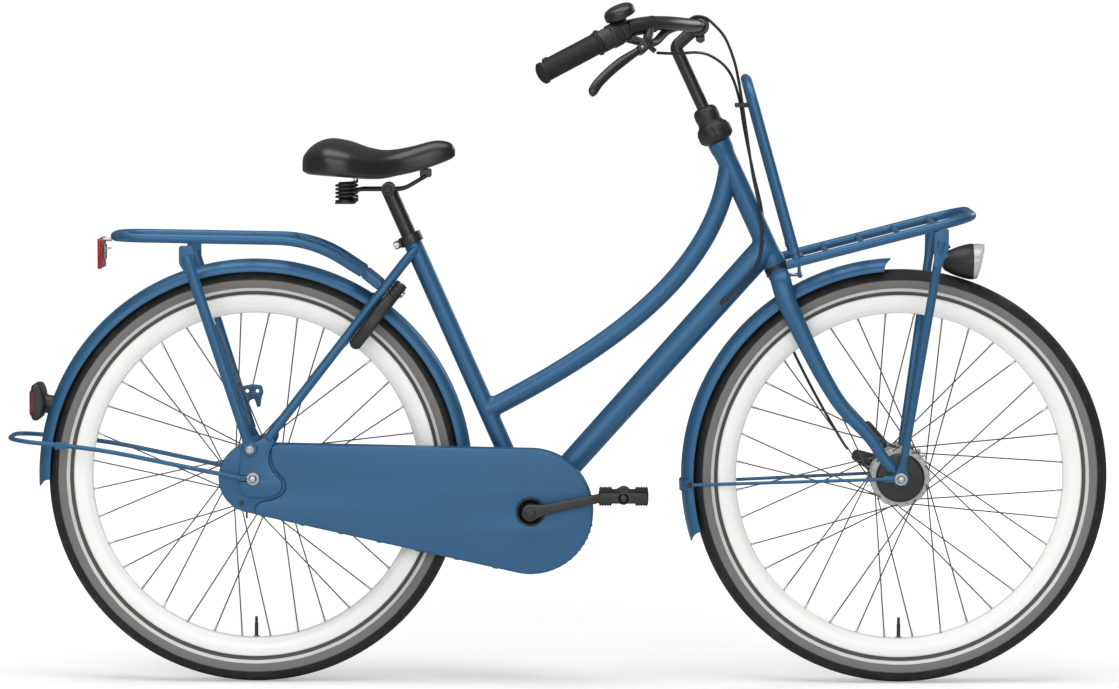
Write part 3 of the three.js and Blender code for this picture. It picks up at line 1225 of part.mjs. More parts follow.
function frontDeckSolid() {
  const back = frontDeckPoint(0, frontDeck.halfWidth);
  const front = frontDeckPoint(1, frontDeck.halfWidth).addScaledVector(frontDeckDirection(), -frontDeck.tubeRadius);
  const mirrored = (point) => point.clone().setY(-point.y);
  const path = filleted([mirrored(back), mirrored(front), front, back], frontDeck.corner);
  const rail = bent(path, circlePoints(8, frontDeck.tubeRadius), upward);
  const bars = Array.from({ length: frontDeck.barCount }, (_, number) => {
    const share = frontDeck.barFirst + number * frontDeck.barPitchShare;
    return rod(frontDeckPoint(share, -frontDeck.halfWidth), frontDeckPoint(share, frontDeck.halfWidth),
      frontDeck.barRadius, 6);
  });
  const crossShare = (frontDeck.crossX - frontDeck.backX) / (frontDeck.frontX - frontDeck.backX);
  const cross = rod(frontDeckPoint(crossShare, -frontDeck.halfWidth), frontDeckPoint(crossShare, frontDeck.halfWidth),
    frontDeck.tubeRadius, 8);
  const plate = block(
    frontDeckPoint(crossShare).add(vector(0, 0, -frontDeck.bracketDrop / 2)),
    [frontDeck.bracketThickness, 2 * frontDeck.bracketHalf, frontDeck.bracketDrop],
  );
  const screw = rod(
    vector(frontDeck.screwX, 0, fork.crownZ), vector(frontDeck.crossX + frontDeck.screwHead, 0, fork.crownZ),
    frontDeck.screwRadius, 8,
  );
  const feet = hoopFeet().map((foot) => rod(foot.low, foot.seat, hoop.tubeRadius, 8));
  return union(rail, ...bars, cross, plate, screw, ...feet);
}

// The hoop's legs stand on two short stubs of the deck.
function hoopFeet() {
  return [-1, 1].map((side) => {
    const low = frontDeckPoint((hoop.footX - frontDeck.backX) / (frontDeck.frontX - frontDeck.backX),
      side * frontDeck.halfWidth);
    const up = hoopCorner(side).sub(low).normalize();
    const seat = low.clone().addScaledVector(up, hoop.stub);
    return { low, seat, start: seat.clone().addScaledVector(up, fit), up };
  });
}

function hoopCorner(side) {
  return vector(hoop.topX, side * hoop.halfWidth, hoop.topZ - hoop.tubeRadius);
}

function hoopSolid() {
  const [right, left] = hoopFeet();
  const path = filleted([right.start, hoopCorner(-1), hoopCorner(1), left.start], hoop.cornerRadius);
  return bent(path, circlePoints(8, hoop.tubeRadius), vector(1, 0, 0), 5);
}

function frontCarrierStaySolid(side) {
  const slope = frontDeckDirection();
  const underside = (x) => frontDeck.backZ + (x - frontDeck.backX) * (slope.z / slope.x)
    - frontDeck.tubeRadius / slope.x - fit;
  return carrierStay(frontCarrierStay, frontAxle, frontOuterFace + fit, side, underside)
    .subtract(rod(frontAxle.clone().setY(side * frontOuterFace - side * overrun),
      frontAxle.clone().setY(side * (frontOuterFace + 4 * overrun)), axle.radius + fit, 12));
}

// Saddle and seatpost
function seatpostSolid() {
  const bottom = seatTubeTop.clone().addScaledVector(seatUp, -seatpost.insertion);
  const post = rod(bottom, seatpostHead, seatpost.radius, 14);
  const barrel = rod(
    seatpostHead.clone().setY(-seatpost.barrelHalf), seatpostHead.clone().setY(seatpost.barrelHalf),
    seatpost.barrelRadius, 14,
  );
  const bore = rod(
    seatpostHead.clone().setY(-seatpost.barrelHalf - overrun), seatpostHead.clone().setY(seatpost.barrelHalf + overrun),
    seatpost.boltBore, 12,
  );
  return union(post.trimByPlane([0, 0, -1], -seatpostHead.z), barrel).subtract(bore);
}

function saddleFrameSolid() {
  const face = seatpost.barrelHalf + fit;
  const end = face + saddle.cheekThickness;
  const bolt = rod(vector(0, 0, 0).setY(-end), vector(0, 0, 0).setY(end), saddle.boltRadius, 10);
  const pieces = [bolt];
  for (const side of [-1, 1]) {
    pieces.push(rod(vector(0, 0, 0).setY(side * face), vector(0, 0, 0).setY(side * end),
      saddle.cheekRadius, 12));
    const railY = side * (face + saddle.cheekThickness / 2);
    const rail = filleted([
      vector(saddle.noseX, side * saddle.noseHalf, saddle.noseZ - saddle.railRadius),
      vector(saddle.noseX - saddle.railDrop, railY, 0),
      vector(saddle.plateX + saddle.plateLength / 2, railY, 0),
      vector(saddle.plateX, railY, saddle.plateZ),
    ], saddle.railBend);
    pieces.push(bent(rail, circlePoints(6, saddle.railRadius), sideways, 3));
  }
  pieces.push(block(vector(saddle.plateX, 0, saddle.plateZ - saddle.plateThickness / 2 + saddle.plateLap),
    [saddle.plateLength, 2 * saddle.plateHalfWidth, saddle.plateThickness]));
  pieces.push(block(vector(saddle.noseX, 0, saddle.noseZ - saddle.railRadius),
    [saddle.noseBlock, 2 * saddle.noseHalf + 2 * saddle.railRadius, 2 * saddle.railRadius]));
  return union(...pieces);
}

// One unbroken coil of wire that stands on the plate, with straight ends square to its seats.
function saddleSpringSolid(side) {
  const turns = saddleSpring.turns;
  const steps = turns * saddleSpring.stepsPerTurn;
  const low = saddleSpring.baseZ + 2 * saddleSpring.wireRadius;
  const high = saddleSpring.topZ - 2 * saddleSpring.wireRadius;
  const rings = [];
  const middle = vector(saddleSpring.x, side * saddleSpring.y, 0);
  for (let step = 0; step <= steps; step += 1) {
    const angle = (step / saddleSpring.stepsPerTurn) * 2 * Math.PI;
    const outwards = vector(Math.cos(angle), Math.sin(angle), 0);
    const height = THREE.MathUtils.lerp(low, high, step / steps);
    const centre = middle.clone().addScaledVector(outwards, saddleSpring.coilRadius).setZ(height);
    rings.push(circlePoints(saddleSpring.sides, saddleSpring.wireRadius).map(
      ([across, up]) => centre.clone().addScaledVector(outwards, across).addScaledVector(upward, up),
    ));
  }
  const coil = loft(rings);
  const ends = [[low, saddleSpring.baseZ], [high, saddleSpring.topZ + saddleSpring.overlap]].map(([from, to]) => rod(
    middle.clone().add(vector(saddleSpring.coilRadius, 0, from)).setZ(from),
    middle.clone().add(vector(saddleSpring.coilRadius, 0, to)).setZ(to),
    saddleSpring.wireRadius, 5,
  ));
  return union(coil, ...ends).subtract(saddlePadSolid().translate([0, 0, -fit]));
}

function saddlePadSolid() {
  const height = saddle.topZ - saddle.baseZ;
  const rings = saddle.stationShares.map(([along, half, top, base]) => {
    const x = saddle.tailX + along * saddle.length;
    const low = saddle.baseZ + base * height;
    const high = saddle.baseZ + top * height;
    return circlePoints(saddle.ringPoints, 1, 1).map(([across, up]) => {
      const crown = Math.sign(up) * Math.abs(up) ** (up > 0 ? saddle.crownShare : saddle.skirtShare);
      const wide = Math.sign(across) * Math.abs(across) ** saddle.sideShare;
      const middle = THREE.MathUtils.lerp(low, high, saddle.seamShare);
      const z = middle + crown * (up > 0 ? high - middle : middle - low);
      return vector(x, wide * half * saddle.halfWidth, z);
    });
  });
  return loft(rings);
}

function buildSeat() {
  place('seatpost', seatpostSolid(), blackPlastic);
  const group = groupAt(seatpostHead);
  place('saddle_frame', saddleFrameSolid(), blackPlastic, group);
  place('saddle_spring_right', saddleSpringSolid(-1), steel, group);
  place('saddle_spring_left', saddleSpringSolid(1), steel, group);
  place('saddle_pad', saddlePadSolid(), rubber, group);
}

// Fork and headset
function bladePoint(side, run, drop) {
  return vector(
    THREE.MathUtils.lerp(fork.crownX, frontAxle.x, run),
    side * THREE.MathUtils.lerp(fork.crownHalf, fork.dropoutHalf, drop),
    THREE.MathUtils.lerp(fork.crownZ, frontAxle.z, drop),
  );
}

// One side of the fork from its foot up to the middle of the crown.
function bladePoints(side) {
  const crown = vector(fork.crownX, 0, fork.crownZ);
  return [
    ...fork.bladeShares.map(([run, drop]) => bladePoint(side, run, drop)).reverse(),
    crown.clone().addScaledVector(steeringUp, -fork.shoulderInset).setY(side * (fork.crownHalf - fork.shoulderInset)),
    crown.clone().setY(side * fork.crownInset),
  ];
}

function forkBladesSolid() {
  const right = bladePoints(-1);
  const left = bladePoints(1).reverse();
  const curve = smooth([...right, vector(fork.crownX, 0, fork.crownZ), ...left]);
  const forward = vector(steeringUp.z, 0, -steeringUp.x);
  const section = (share) => {
    const towardsFoot = Math.abs(2 * share - 1);
    const wide = THREE.MathUtils.lerp(fork.bladeHalfTop, fork.bladeHalfBottom, towardsFoot);
    const thick = THREE.MathUtils.lerp(fork.bladeSideTop, fork.bladeSideBottom, towardsFoot);
    return circlePoints(fork.sides, wide, thick);
  };
  return sweep(curve, 22, section, forward);
}

function forkDropout(side) {
  const near = frontAxle.clone().setY(side * frontDropout.innerFace);
  const far = frontAxle.clone().setY(side * frontOuterFace);
  const disc = rod(near, far, fork.dropoutRadius, 12);
  const end = bladePoint(side, ...fork.bladeShares[fork.bladeShares.length - 1]);
  const lug = rod(frontAxle.clone().setY(end.y), end, frontDropout.thickness / 2, 6);
  const slot = block(
    frontAxle.clone().add(vector(0, side * (frontDropout.innerFace + frontDropout.thickness / 2), -fork.dropoutRadius / 2)),
    [2 * fork.slotHalf, 4 * frontDropout.thickness, fork.dropoutRadius + 2 * fork.slotHalf],
  );
  return union(disc, lug).subtract(slot);
}

function forkSolid() {
  const crown = vector(fork.crownX, 0, fork.crownZ);
  const foot = headBottom.clone().addScaledVector(steeringUp, crown.clone().sub(headBottom).dot(steeringUp));
  const top = headTop.clone().addScaledVector(steeringUp, fork.steererAbove);
  const steerer = rod(foot, top, fork.steererRadius, 12);
  const raceTop = headBottom.clone().addScaledVector(steeringUp, -fit);
  const race = rod(raceTop.clone().addScaledVector(steeringUp, -fork.raceHeight), raceTop, fork.raceRadius, 12);
  const bore = rod(
    top.clone().addScaledVector(steeringUp, -fork.boreDepth), top.clone().addScaledVector(steeringUp, overrun),
    fork.quillBore, 12,
  );
  return union(forkBladesSolid(), steerer, race, forkDropout(1), forkDropout(-1)).subtract(bore);
}

function collarSolid() {
  const ribbed = Array.from({ length: 2 * collar.ribCount }, (_, step) => {
    const angle = (step / collar.ribCount) * Math.PI;
    const radius = collar.lowerRadius - (step % 2) * collar.ribDepth;
    return new THREE.Vector2(radius * Math.cos(angle), radius * Math.sin(angle));
  });
  const forward = vector(steeringUp.z, 0, -steeringUp.x);
  const lower = plateAt(ribbed, headTop, steeringUp.clone().cross(forward).negate(), forward, fit, collar.lowerHeight - collar.chamfer);
  const upper = turned([
    [0, fit], [collar.upperRadius, fit], [collar.upperRadius, collar.upperHeight - collar.chamfer],
    [collar.upperRadius - collar.chamfer, collar.upperHeight], [0, collar.upperHeight],
  ], headTop, steeringUp, 12);
  const cone = turned([
    [0, collar.chamfer], [collar.lowerRadius - 2 * collar.ribDepth, collar.chamfer],
    [collar.lowerRadius - 2 * collar.ribDepth, collar.lowerHeight], [collar.upperRadius, collar.shoulder],
    [0, collar.shoulder],
  ], headTop, steeringUp, 12);
  const below = headTop.clone().addScaledVector(steeringUp, -overrun);
  const step = headTop.clone().addScaledVector(steeringUp, collar.innerStep);
  const above = headTop.clone().addScaledVector(steeringUp, collar.upperHeight + overrun);
  return union(lower, upper, cone).subtract(rod(below, step, collar.bore, 12))
    .subtract(clearance(below, above, stem.quillRadius, 12));
}

function stemSolid() {
  const clamp = vector(stem.clampX, 0, stem.clampZ);
  const elbow = pointAtHeight(headTop, steeringUp, stem.elbowZ);
  const bottom = headTop.clone().addScaledVector(steeringUp, fork.steererAbove - stem.insertion);
  const neck = bent(filleted([bottom, elbow, clamp], stem.elbowBend), circlePoints(10, stem.quillRadius));
  const barrel = rod(clamp.clone().setY(-stem.clampHalf), clamp.clone().setY(stem.clampHalf), stem.clampRadius, 12);
  const down = vector(stem.boltLean, 0, -1).normalize();
  const lug = rod(clamp, clamp.clone().addScaledVector(down, stem.lugReach), stem.lugRadius, 8);
  const bolt = rod(clamp, clamp.clone().addScaledVector(down, stem.boltReach), stem.boltRadius, 6);
  return union(neck, barrel, lug, bolt).subtract(barCutter());
}

// Handlebar and what is fixed on it
const clampCentre = vector(stem.clampX, 0, stem.clampZ);

function barPoint([forward, aside, rise], side) {
  return clampCentre.clone().add(vector(forward, side * aside, rise));
}

const barRunStart = (side) => barPoint(bar.places[bar.places.length - 1], side);
const barEnd = (side) => barPoint(bar.end, side);

function alongBar(distance, side) {
  const direction = barEnd(side).sub(barRunStart(side)).normalize();
  return barRunStart(side).addScaledVector(direction, distance);
}

function barRings(radius) {
  const right = [...bar.places].reverse().map((point) => barPoint(point, -1));
  const left = bar.places.slice(1).map((point) => barPoint(point, 1));
  const middle = smooth([...right, ...left]);
  const section = circlePoints(8, radius);
  const shares = Array.from({ length: bar.steps + 1 }, (_, step) => step / bar.steps);
  const rings = shares.map((share) => ringAt(middle.getPointAt(share), middle.getTangentAt(share), section, upward));
  const end = (side) => ringAt(
    barEnd(side), barEnd(side).sub(barRunStart(side)).normalize().multiplyScalar(side), section, upward,
  );
  rings[0] = ringAt(barRunStart(-1), barRunStart(-1).sub(barEnd(-1)).normalize(), section, upward);
  rings[bar.steps] = ringAt(barRunStart(1), barEnd(1).sub(barRunStart(1)).normalize(), section, upward);
  return [end(-1), ...rings, end(1)];
}

function barSolid() {
  return loft(barRings(bar.radius));
}

function barCutter() {
  return loft(barRings(bar.radius + fit / Math.cos(Math.PI / 8)));
}

function gripSolid(side) {
  const length = barEnd(side).distanceTo(barRunStart(side));
  const direction = alongBar(1, side).sub(alongBar(0, side));
  const body = turned([
    [0, grip.start], [grip.flange, grip.start], [grip.flange, grip.start + grip.flangeLength],
    [grip.radius, grip.start + grip.flangeLength + fit], [grip.radius, length - grip.endTaper],
    [grip.endRadius, length + grip.endCap], [0, length + grip.endCap],
  ], barRunStart(side), direction, 12);
  return body.subtract(barCutter()).subtract(rod(alongBar(length - fit, side), alongBar(length + fit, side), bar.radius, 8));
}

function shifterSolid() {
  const direction = alongBar(1, -1).sub(alongBar(0, -1));
  const body = turned([
    [0, shifter.start], [shifter.ringRadius, shifter.start], [shifter.ringRadius, shifter.ringEnd],
    [shifter.radius, shifter.ringEnd + shifter.chamfer], [shifter.radius, shifter.end], [0, shifter.end],
  ], barRunStart(-1), direction, 12);
  return body.subtract(clearance(
    alongBar(shifter.start - overrun, -1), alongBar(shifter.end + overrun, -1), bar.radius, 8,
  ));
}

// Brake lever axes: along the lever, towards the bar and along the pivot
const leverPivot = vector(brakeLever.pivotX, -brakeLever.pivotY, brakeLever.pivotZ);
const leverTip = vector(brakeLever.tipX, -brakeLever.tipY, brakeLever.tipZ);
const leverOut = leverTip.clone().sub(leverPivot).normalize();
const barAxisRight = barEnd(-1).sub(barRunStart(-1)).normalize();
const leverAxis = leverOut.clone().cross(towardsBar()).normalize();
const leverPull = leverAxis.clone().cross(leverOut).normalize();

function towardsBar() {
  const middle = leverPivot.clone().lerp(leverTip, 0.5);
  const reach = middle.clone().sub(barRunStart(-1)).dot(barAxisRight);
  return barRunStart(-1).addScaledVector(barAxisRight, reach).sub(middle);
}

function leverPoint(out, pull, axial) {
  return leverPivot.clone().addScaledVector(leverOut, out).addScaledVector(leverPull, pull)
    .addScaledVector(leverAxis, axial);
}

function brakeLeverSolid() {
  const places = brakeLever.places.map(([x, y, z]) => vector(x, -y, z));
  const blade = sweep(smooth([leverPivot, ...places, leverTip]), brakeLever.steps,
    circlePoints(8, brakeLever.bladeSide, brakeLever.bladeHalf), leverAxis);
  const boss = rod(leverPoint(0, 0, -brakeLever.bossHalf), leverPoint(0, 0, brakeLever.bossHalf), brakeLever.bossRadius, 12);
  const bore = clearance(leverPoint(0, 0, -2 * brakeLever.bossHalf), leverPoint(0, 0, 2 * brakeLever.bossHalf),
    brakeBracket.pinRadius, 10);
  return union(blade, boss).subtract(bore);
}

function brakeBracketSolid() {
  const size = brakeBracket;
  const clamp = vector(size.clampX, -size.clampY, size.clampZ);
  const barHere = alongBar(0, -1).sub(clamp).normalize();
  const ring = rod(clamp.clone().addScaledVector(barHere, -size.clampHalf), alongBar(size.housingStart, -1),
    size.clampRadius, 10);
  const housing = rod(alongBar(size.housingStart, -1), alongBar(size.housingEnd, -1), size.housingRadius, 12);
  const outer = size.cheekInner + size.cheekThickness;
  const outline = [
    ...Array.from({ length: 5 }, (_, step) => {
      const angle = Math.PI / 2 - (step / 4) * Math.PI;
      return new THREE.Vector2(size.cheekRadius * Math.cos(angle), size.cheekRadius * Math.sin(angle));
    }),
    new THREE.Vector2(-size.cheekBack, -size.cheekRadius), new THREE.Vector2(-size.cheekBack, size.cheekRadius),
  ];
  const cheeks = plateAt(outline, leverPivot, leverOut, leverPull, -outer, outer);
  const pocket = plateAt([
    new THREE.Vector2(-size.backStart, -2 * size.cheekRadius), new THREE.Vector2(2 * size.cheekRadius, -2 * size.cheekRadius),
    new THREE.Vector2(2 * size.cheekRadius, 2 * size.cheekRadius), new THREE.Vector2(-size.backStart, 2 * size.cheekRadius),
  ], leverPivot, leverOut, leverPull, -size.cheekInner, size.cheekInner);
  const pin = rod(leverPoint(0, 0, -outer), leverPoint(0, 0, outer), size.pinRadius, 10);
  const back = leverPoint(-size.cheekBack + size.perchRadius, 0, 0);
  const perch = rod(back, clamp, size.perchEnd, 10, size.perchRadius);
  const barrel = rod(back, vector(size.barrelX, -size.barrelY, size.barrelZ), size.barrelRadius, 8);
  const stalk = bellPart(bell.base - bell.stalkRadius - fit, bell.base - fit, bell.stalkRadius);
  const pinUp = bellPart(0, bell.base + bell.pinTop, bell.pinRadius);
  return union(ring, housing, stalk, pinUp, perch, cheeks.subtract(pocket), pin, barrel).subtract(barCutter());
}

// Bell, on a stalk square to the bar
const bellUp = upward.clone().addScaledVector(barAxisRight, -upward.dot(barAxisRight)).normalize();

function bellPart(from, to, radius) {
  const foot = alongBar(bell.along, -1);
  return rod(foot.clone().addScaledVector(bellUp, from), foot.clone().addScaledVector(bellUp, to), radius, 8);
}

function bellSolid() {
  const body = turned([
    [0, bell.base], [bell.radius, bell.base], [bell.radius, bell.base + bell.rimHeight],
    [bell.crown, bell.base + bell.height], [0, bell.base + bell.height],
  ], alongBar(bell.along, -1), bellUp, 18);
  return body.subtract(bellPart(0, bell.base + bell.pinTop + fit, bell.bore));
}

// Front fender stay, brake, headlight and cables
function fenderStaySolid() {
  const strapDegrees = 180 + THREE.MathUtils.radToDeg(Math.atan2(fenderStay.drop, fenderStay.reach));
  const outer = fenderSectionShares.map(([half, up]) => [
    half * (fender.halfWidth + fit + fenderStay.strapWall),
    (up - 1) * fender.depth + (up > 0 ? fit + fenderStay.strapWall : 0),
  ]);
  const inner = fenderSectionShares.map(([half, up]) => [
    half * (fender.halfWidth + fit), (up - 1) * fender.depth + (up > 0 ? fit : 0),
  ]);
  const half = fenderStay.strapDegrees / 2;
  const strap = sweep(
    new WheelArc(frontAxle, frontFender.radius + fenderStay.strapLap, strapDegrees + half, strapDegrees - half), 2,
    [...outer, ...inner.reverse()],
  );
  const near = frontOuterFace + fit + frontCarrierStay.plateThickness + fit;
  const arms = [-1, 1].map((side) => {
    const low = side * near;
    const high = side * (near + eye.thickness);
    const start = frontAxle.clone().add(vector(-fenderStay.eyeReach, (low + high) / 2, 0));
    const end = frontAxle.clone().add(vector(
      -fenderStay.reach, side * (fender.halfWidth + fit + fenderStay.strapWall / 2), -fenderStay.drop,
    ));
    const disc = rod(frontAxle.clone().setY(low), frontAxle.clone().setY(high), eye.radius, 10);
    const lug = block(frontAxle.clone().add(vector(-fenderStay.eyeReach / 2, (low + high) / 2, 0)),
      [fenderStay.eyeReach + 2 * fenderStay.rodRadius, eye.thickness, 2 * fenderStay.rodRadius]);
    const hole = rod(frontAxle.clone().setY(low - side * overrun), frontAxle.clone().setY(high + side * overrun),
      axle.radius + fit, 8);
    return union(rod(start, end, fenderStay.rodRadius, 6).subtract(insideFender()), disc, lug).subtract(hole);
  });
  return union(strap, ...arms);
}

function insideFender() {
  const wide = fender.halfWidth + fit;
  return block(frontAxle.clone().add(vector(-fenderStay.reach, 0, -fenderStay.drop)), [4 * wide, 2 * wide, 4 * wide]);
}

function brakeUnitSolid() {
  const size = brakeUnit;
  const body = turned([
    [size.bore, size.inner], [size.sealRadius, size.inner], [size.sealRadius, size.discInner],
    [size.discRadius, size.discInner], [size.discRadius, size.discOuter], [size.drumRadius, size.discOuter],
    [size.drumRadius, size.drumOuter - size.drumChamfer], [size.drumRadius - size.drumChamfer, size.drumOuter],
    [size.neckRadius, size.drumOuter], [size.neckRadius, size.neckEnd], [size.bore, size.neckEnd],
  ], vector(0, 0, 0), sideways, 14);
  const angle = toRadians(size.armDegrees);
  const along = vector(Math.cos(angle), 0, Math.sin(angle));
  const across = vector(-along.z, 0, along.x);
  const outline = [
    along.clone().multiplyScalar(size.drumRadius / 2).addScaledVector(across, -2 * size.armHalf),
    along.clone().multiplyScalar(size.armLength).addScaledVector(across, -size.armHalf),
    along.clone().multiplyScalar(size.armLength).addScaledVector(across, size.armHalf),
    along.clone().multiplyScalar(size.drumRadius / 2).addScaledVector(across, 2 * size.armHalf),
  ].map((point) => new THREE.Vector2(point.x, point.z));
  const arm = sidePlate(outline, size.drumOuter - size.armThickness, size.drumOuter);
  return union(body, arm);
}

function ellipseRing(x, share) {
  return circlePoints(headlight.sides, share * headlight.halfWidth, share * headlight.halfHeight)
    .map(([across, up]) => vector(x, across, headlight.centreZ + up));
}

function headlightSolid() {
  const length = headlight.frontX - headlight.backX;
  const shell = loft(headlight.shellShares.map(([along, size]) => ellipseRing(headlight.backX + along * length, size)));
  const rail = frontDeckPoint(1).addScaledVector(frontDeckDirection(), -frontDeck.tubeRadius);
  const bracket = rod(vector(headlight.bracketFootX, 0, headlight.centreZ), rail, headlight.bracketRadius, 8)
    .subtract(clearance(
      rail.clone().setY(-headlight.halfWidth), rail.clone().setY(headlight.halfWidth), frontDeck.tubeRadius, 8,
    )).trimByPlane([0, 0, -1], -rail.z);
  return union(shell, bracket);
}

function lensSolid() {
  const start = headlight.frontX + fit;
  return loft(headlight.lensShares.map(([along, size]) => ellipseRing(
    THREE.MathUtils.lerp(start, headlight.lensX, along), size,
  )));
}

function cableSolid(places, steps) {
  return sweep(smooth(places.map((point) => vector(...point))), steps, circlePoints(cable.sides, cable.radius));
}

function buildSteering() {
  place('fork', forkSolid(), framePaint);
  place('headset_collar', collarSolid(), blackPlastic);
  place('stem', stemSolid(), blackPlastic);
  place('handlebar', barSolid(), blackPlastic);
  place('grip_right', gripSolid(-1), rubber);
  place('grip_left', gripSolid(1), rubber);
  place('gear_shifter', shifterSolid(), blackPlastic);
  place('brake_bracket', brakeBracketSolid(), blackPlastic);
  place('brake_lever', brakeLeverSolid(), blackPlastic);
  place('bell', bellSolid(), blackPlastic);
  place('front_fender_stay', fenderStaySolid(), framePaint);
  place('front_brake_unit', brakeUnitSolid(), steel, groupAt(frontAxle));
  const stack = frontOuterFace + fit + frontCarrierStay.plateThickness + fit + eye.thickness;
  place('front_axle', wheelAxle(frontAxle, stack), steel);
  place('headlight', headlightSolid(), blackPlastic);
  place('headlight_lens', lensSolid(), clearLens);
  place('brake_cable', cableSolid(brakeCablePlaces, 24), rubber);
  place('shift_cable_upper', cableSolid(shiftUpperPlaces, 16), rubber);
  place('shift_cable_lower', cableSolid(shiftLowerPlaces, 12), rubber);
}

buildFrame();
place('kickstand', kickstandSolid(), steel);
buildWheels();
place('rear_axle', wheelAxle(rearAxle, rearOuterFace + eye.thickness + fit), steel);
buildFenders();
buildRingLock();
buildDrive();
place('rear_fender_loop', fenderLoopSolid(), framePaint);
place('rear_light', rearLightSolid(), redLens);
place('rear_reflector', reflectorSolid(), redLens);
place('rear_carrier', rearDeckSolid(), framePaint);
place('rear_carrier_stay_right', rearCarrierStaySolid(-1), framePaint);
place('rear_carrier_stay_left', rearCarrierStaySolid(1), framePaint);
place('front_carrier_deck', frontDeckSolid(), framePaint);
place('front_carrier_hoop', hoopSolid(), framePaint);
place('front_carrier_stay_right', frontCarrierStaySolid(-1), framePaint);
place('front_carrier_stay_left', frontCarrierStaySolid(1), framePaint);
buildSeat();
buildSteering();

export default bicycle;
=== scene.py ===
"""Dutch city bike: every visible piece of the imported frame, shaped and finished.

Lengths in this file are millimetres in the frame's own drawing: X forward from the rear axle, Y to the
rider's left and Z up from the ground. `placed` turns them into metres in the shared frame. The driving
sizes stand here at the top, and each section starts with the sizes of its own pieces.
"""

from types import SimpleNamespace as Sizes

import bmesh
import bpy
import numpy as np
from bpy.props import FloatProperty, FloatVectorProperty, IntProperty, PointerProperty
from bpy.types import Operator, Panel, PropertyGroup
from mathutils import Matrix, Vector
from mathutils.geometry import tessellate_polygon


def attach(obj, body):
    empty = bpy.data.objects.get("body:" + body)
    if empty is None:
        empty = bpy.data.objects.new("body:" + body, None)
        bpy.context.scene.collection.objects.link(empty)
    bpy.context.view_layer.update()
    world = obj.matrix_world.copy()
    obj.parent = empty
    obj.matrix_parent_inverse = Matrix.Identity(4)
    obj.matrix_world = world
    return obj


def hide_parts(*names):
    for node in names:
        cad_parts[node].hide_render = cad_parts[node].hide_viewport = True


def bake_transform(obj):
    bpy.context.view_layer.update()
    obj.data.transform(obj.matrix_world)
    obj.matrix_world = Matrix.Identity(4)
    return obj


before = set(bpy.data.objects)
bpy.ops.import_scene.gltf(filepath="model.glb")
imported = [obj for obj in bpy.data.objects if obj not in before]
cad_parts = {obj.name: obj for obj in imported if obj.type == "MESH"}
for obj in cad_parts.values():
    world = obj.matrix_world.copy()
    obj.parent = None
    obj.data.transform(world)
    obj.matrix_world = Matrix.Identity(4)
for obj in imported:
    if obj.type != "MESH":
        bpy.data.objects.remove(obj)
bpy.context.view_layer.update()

bl_info = {
    "name": "Dutch City Bike",
    "version": (1, 0, 0),
    "blender": (4, 5, 0),
    "location": "3D View > Sidebar > City Bike",
    "description": "Shapes and finishes a city bike on its packed frame",
    "category": "Add Mesh",
}

MM = 0.001
REAR_AXLE_X = -0.52755
TURN = 2 * np.pi
SIDES = (-1, 1)
RIGHT_AND_LEFT = (("right", -1), ("left", 1))
SIDE = np.array([0.0, 1.0, 0.0])
UP = np.array([0.0, 0.0, 1.0])
FORWARD = np.array([1.0, 0.0, 0.0])

FIT = 0.3
AXLE_Z = 361.5
WHEELBASE = 1123.6
REAR_AXLE = np.array([0.0, 0.0, AXLE_Z])
FRONT_AXLE = np.array([WHEELBASE, 0.0, AXLE_Z])
BRACKET = np.array([481.3, 0.0, 304.0])
HEAD_ANGLE, SEAT_ANGLE = np.radians(65.3), np.radians(66)
STEER_UP = np.array([-np.cos(HEAD_ANGLE), 0.0, np.sin(HEAD_ANGLE)])
STEER_FORWARD = np.array([STEER_UP[2], 0.0, -STEER_UP[0]])
SEAT_UP = np.array([-np.cos(SEAT_ANGLE), 0.0, np.sin(SEAT_ANGLE)])
HEAD_LENGTH, SEAT_LENGTH = 236.7, 519.6
HEAD_BASE = np.array([906.51, 0.0, 729.36])
HEAD_TOP = HEAD_BASE + HEAD_LENGTH * STEER_UP
SEAT_TOP = BRACKET + SEAT_LENGTH * SEAT_UP
POST_HEAD = np.array([232.86, 0.0, 862.0])
CROWN = np.array([912.0, 0.0, 713.0])
REAR_FACE, FRONT_FACE, PLATE = 69.5, 56.3, 6.0
EYE = Sizes(thickness=2.6, bore=5.3, edge=0.4)


# Lines and sections
def placed(points):
    """Millimetres of the drawing as metres of the shared frame."""
    return np.asarray(points, float) * MM + (REAR_AXLE_X, 0.0, 0.0)


def unit(vectors):
    """The same directions with length 1."""
    vectors = np.asarray(vectors, float)
    return vectors / np.maximum(np.linalg.norm(vectors, axis=-1, keepdims=True), 1e-12)


def mirrored(points, side=-1):
    """The same places on the other side of the bike, or where they are for side 1."""
    return np.asarray(points, float) * (1, side, 1)


def circle(count, wide, tall=None):
    turn = np.arange(count) * TURN / count
    return np.stack([wide * np.cos(turn), (wide if tall is None else tall) * np.sin(turn)], 1)


def lengths(path):
    return np.concatenate([[0.0], np.cumsum(np.linalg.norm(np.diff(path, axis=0), axis=1))])


def resampled(path, count):
    """The same line at even steps of its length."""
    along = lengths(path)
    wanted = np.linspace(0, along[-1], count)
    return np.stack([np.interp(wanted, along, path[:, axis]) for axis in range(path.shape[1])], 1)


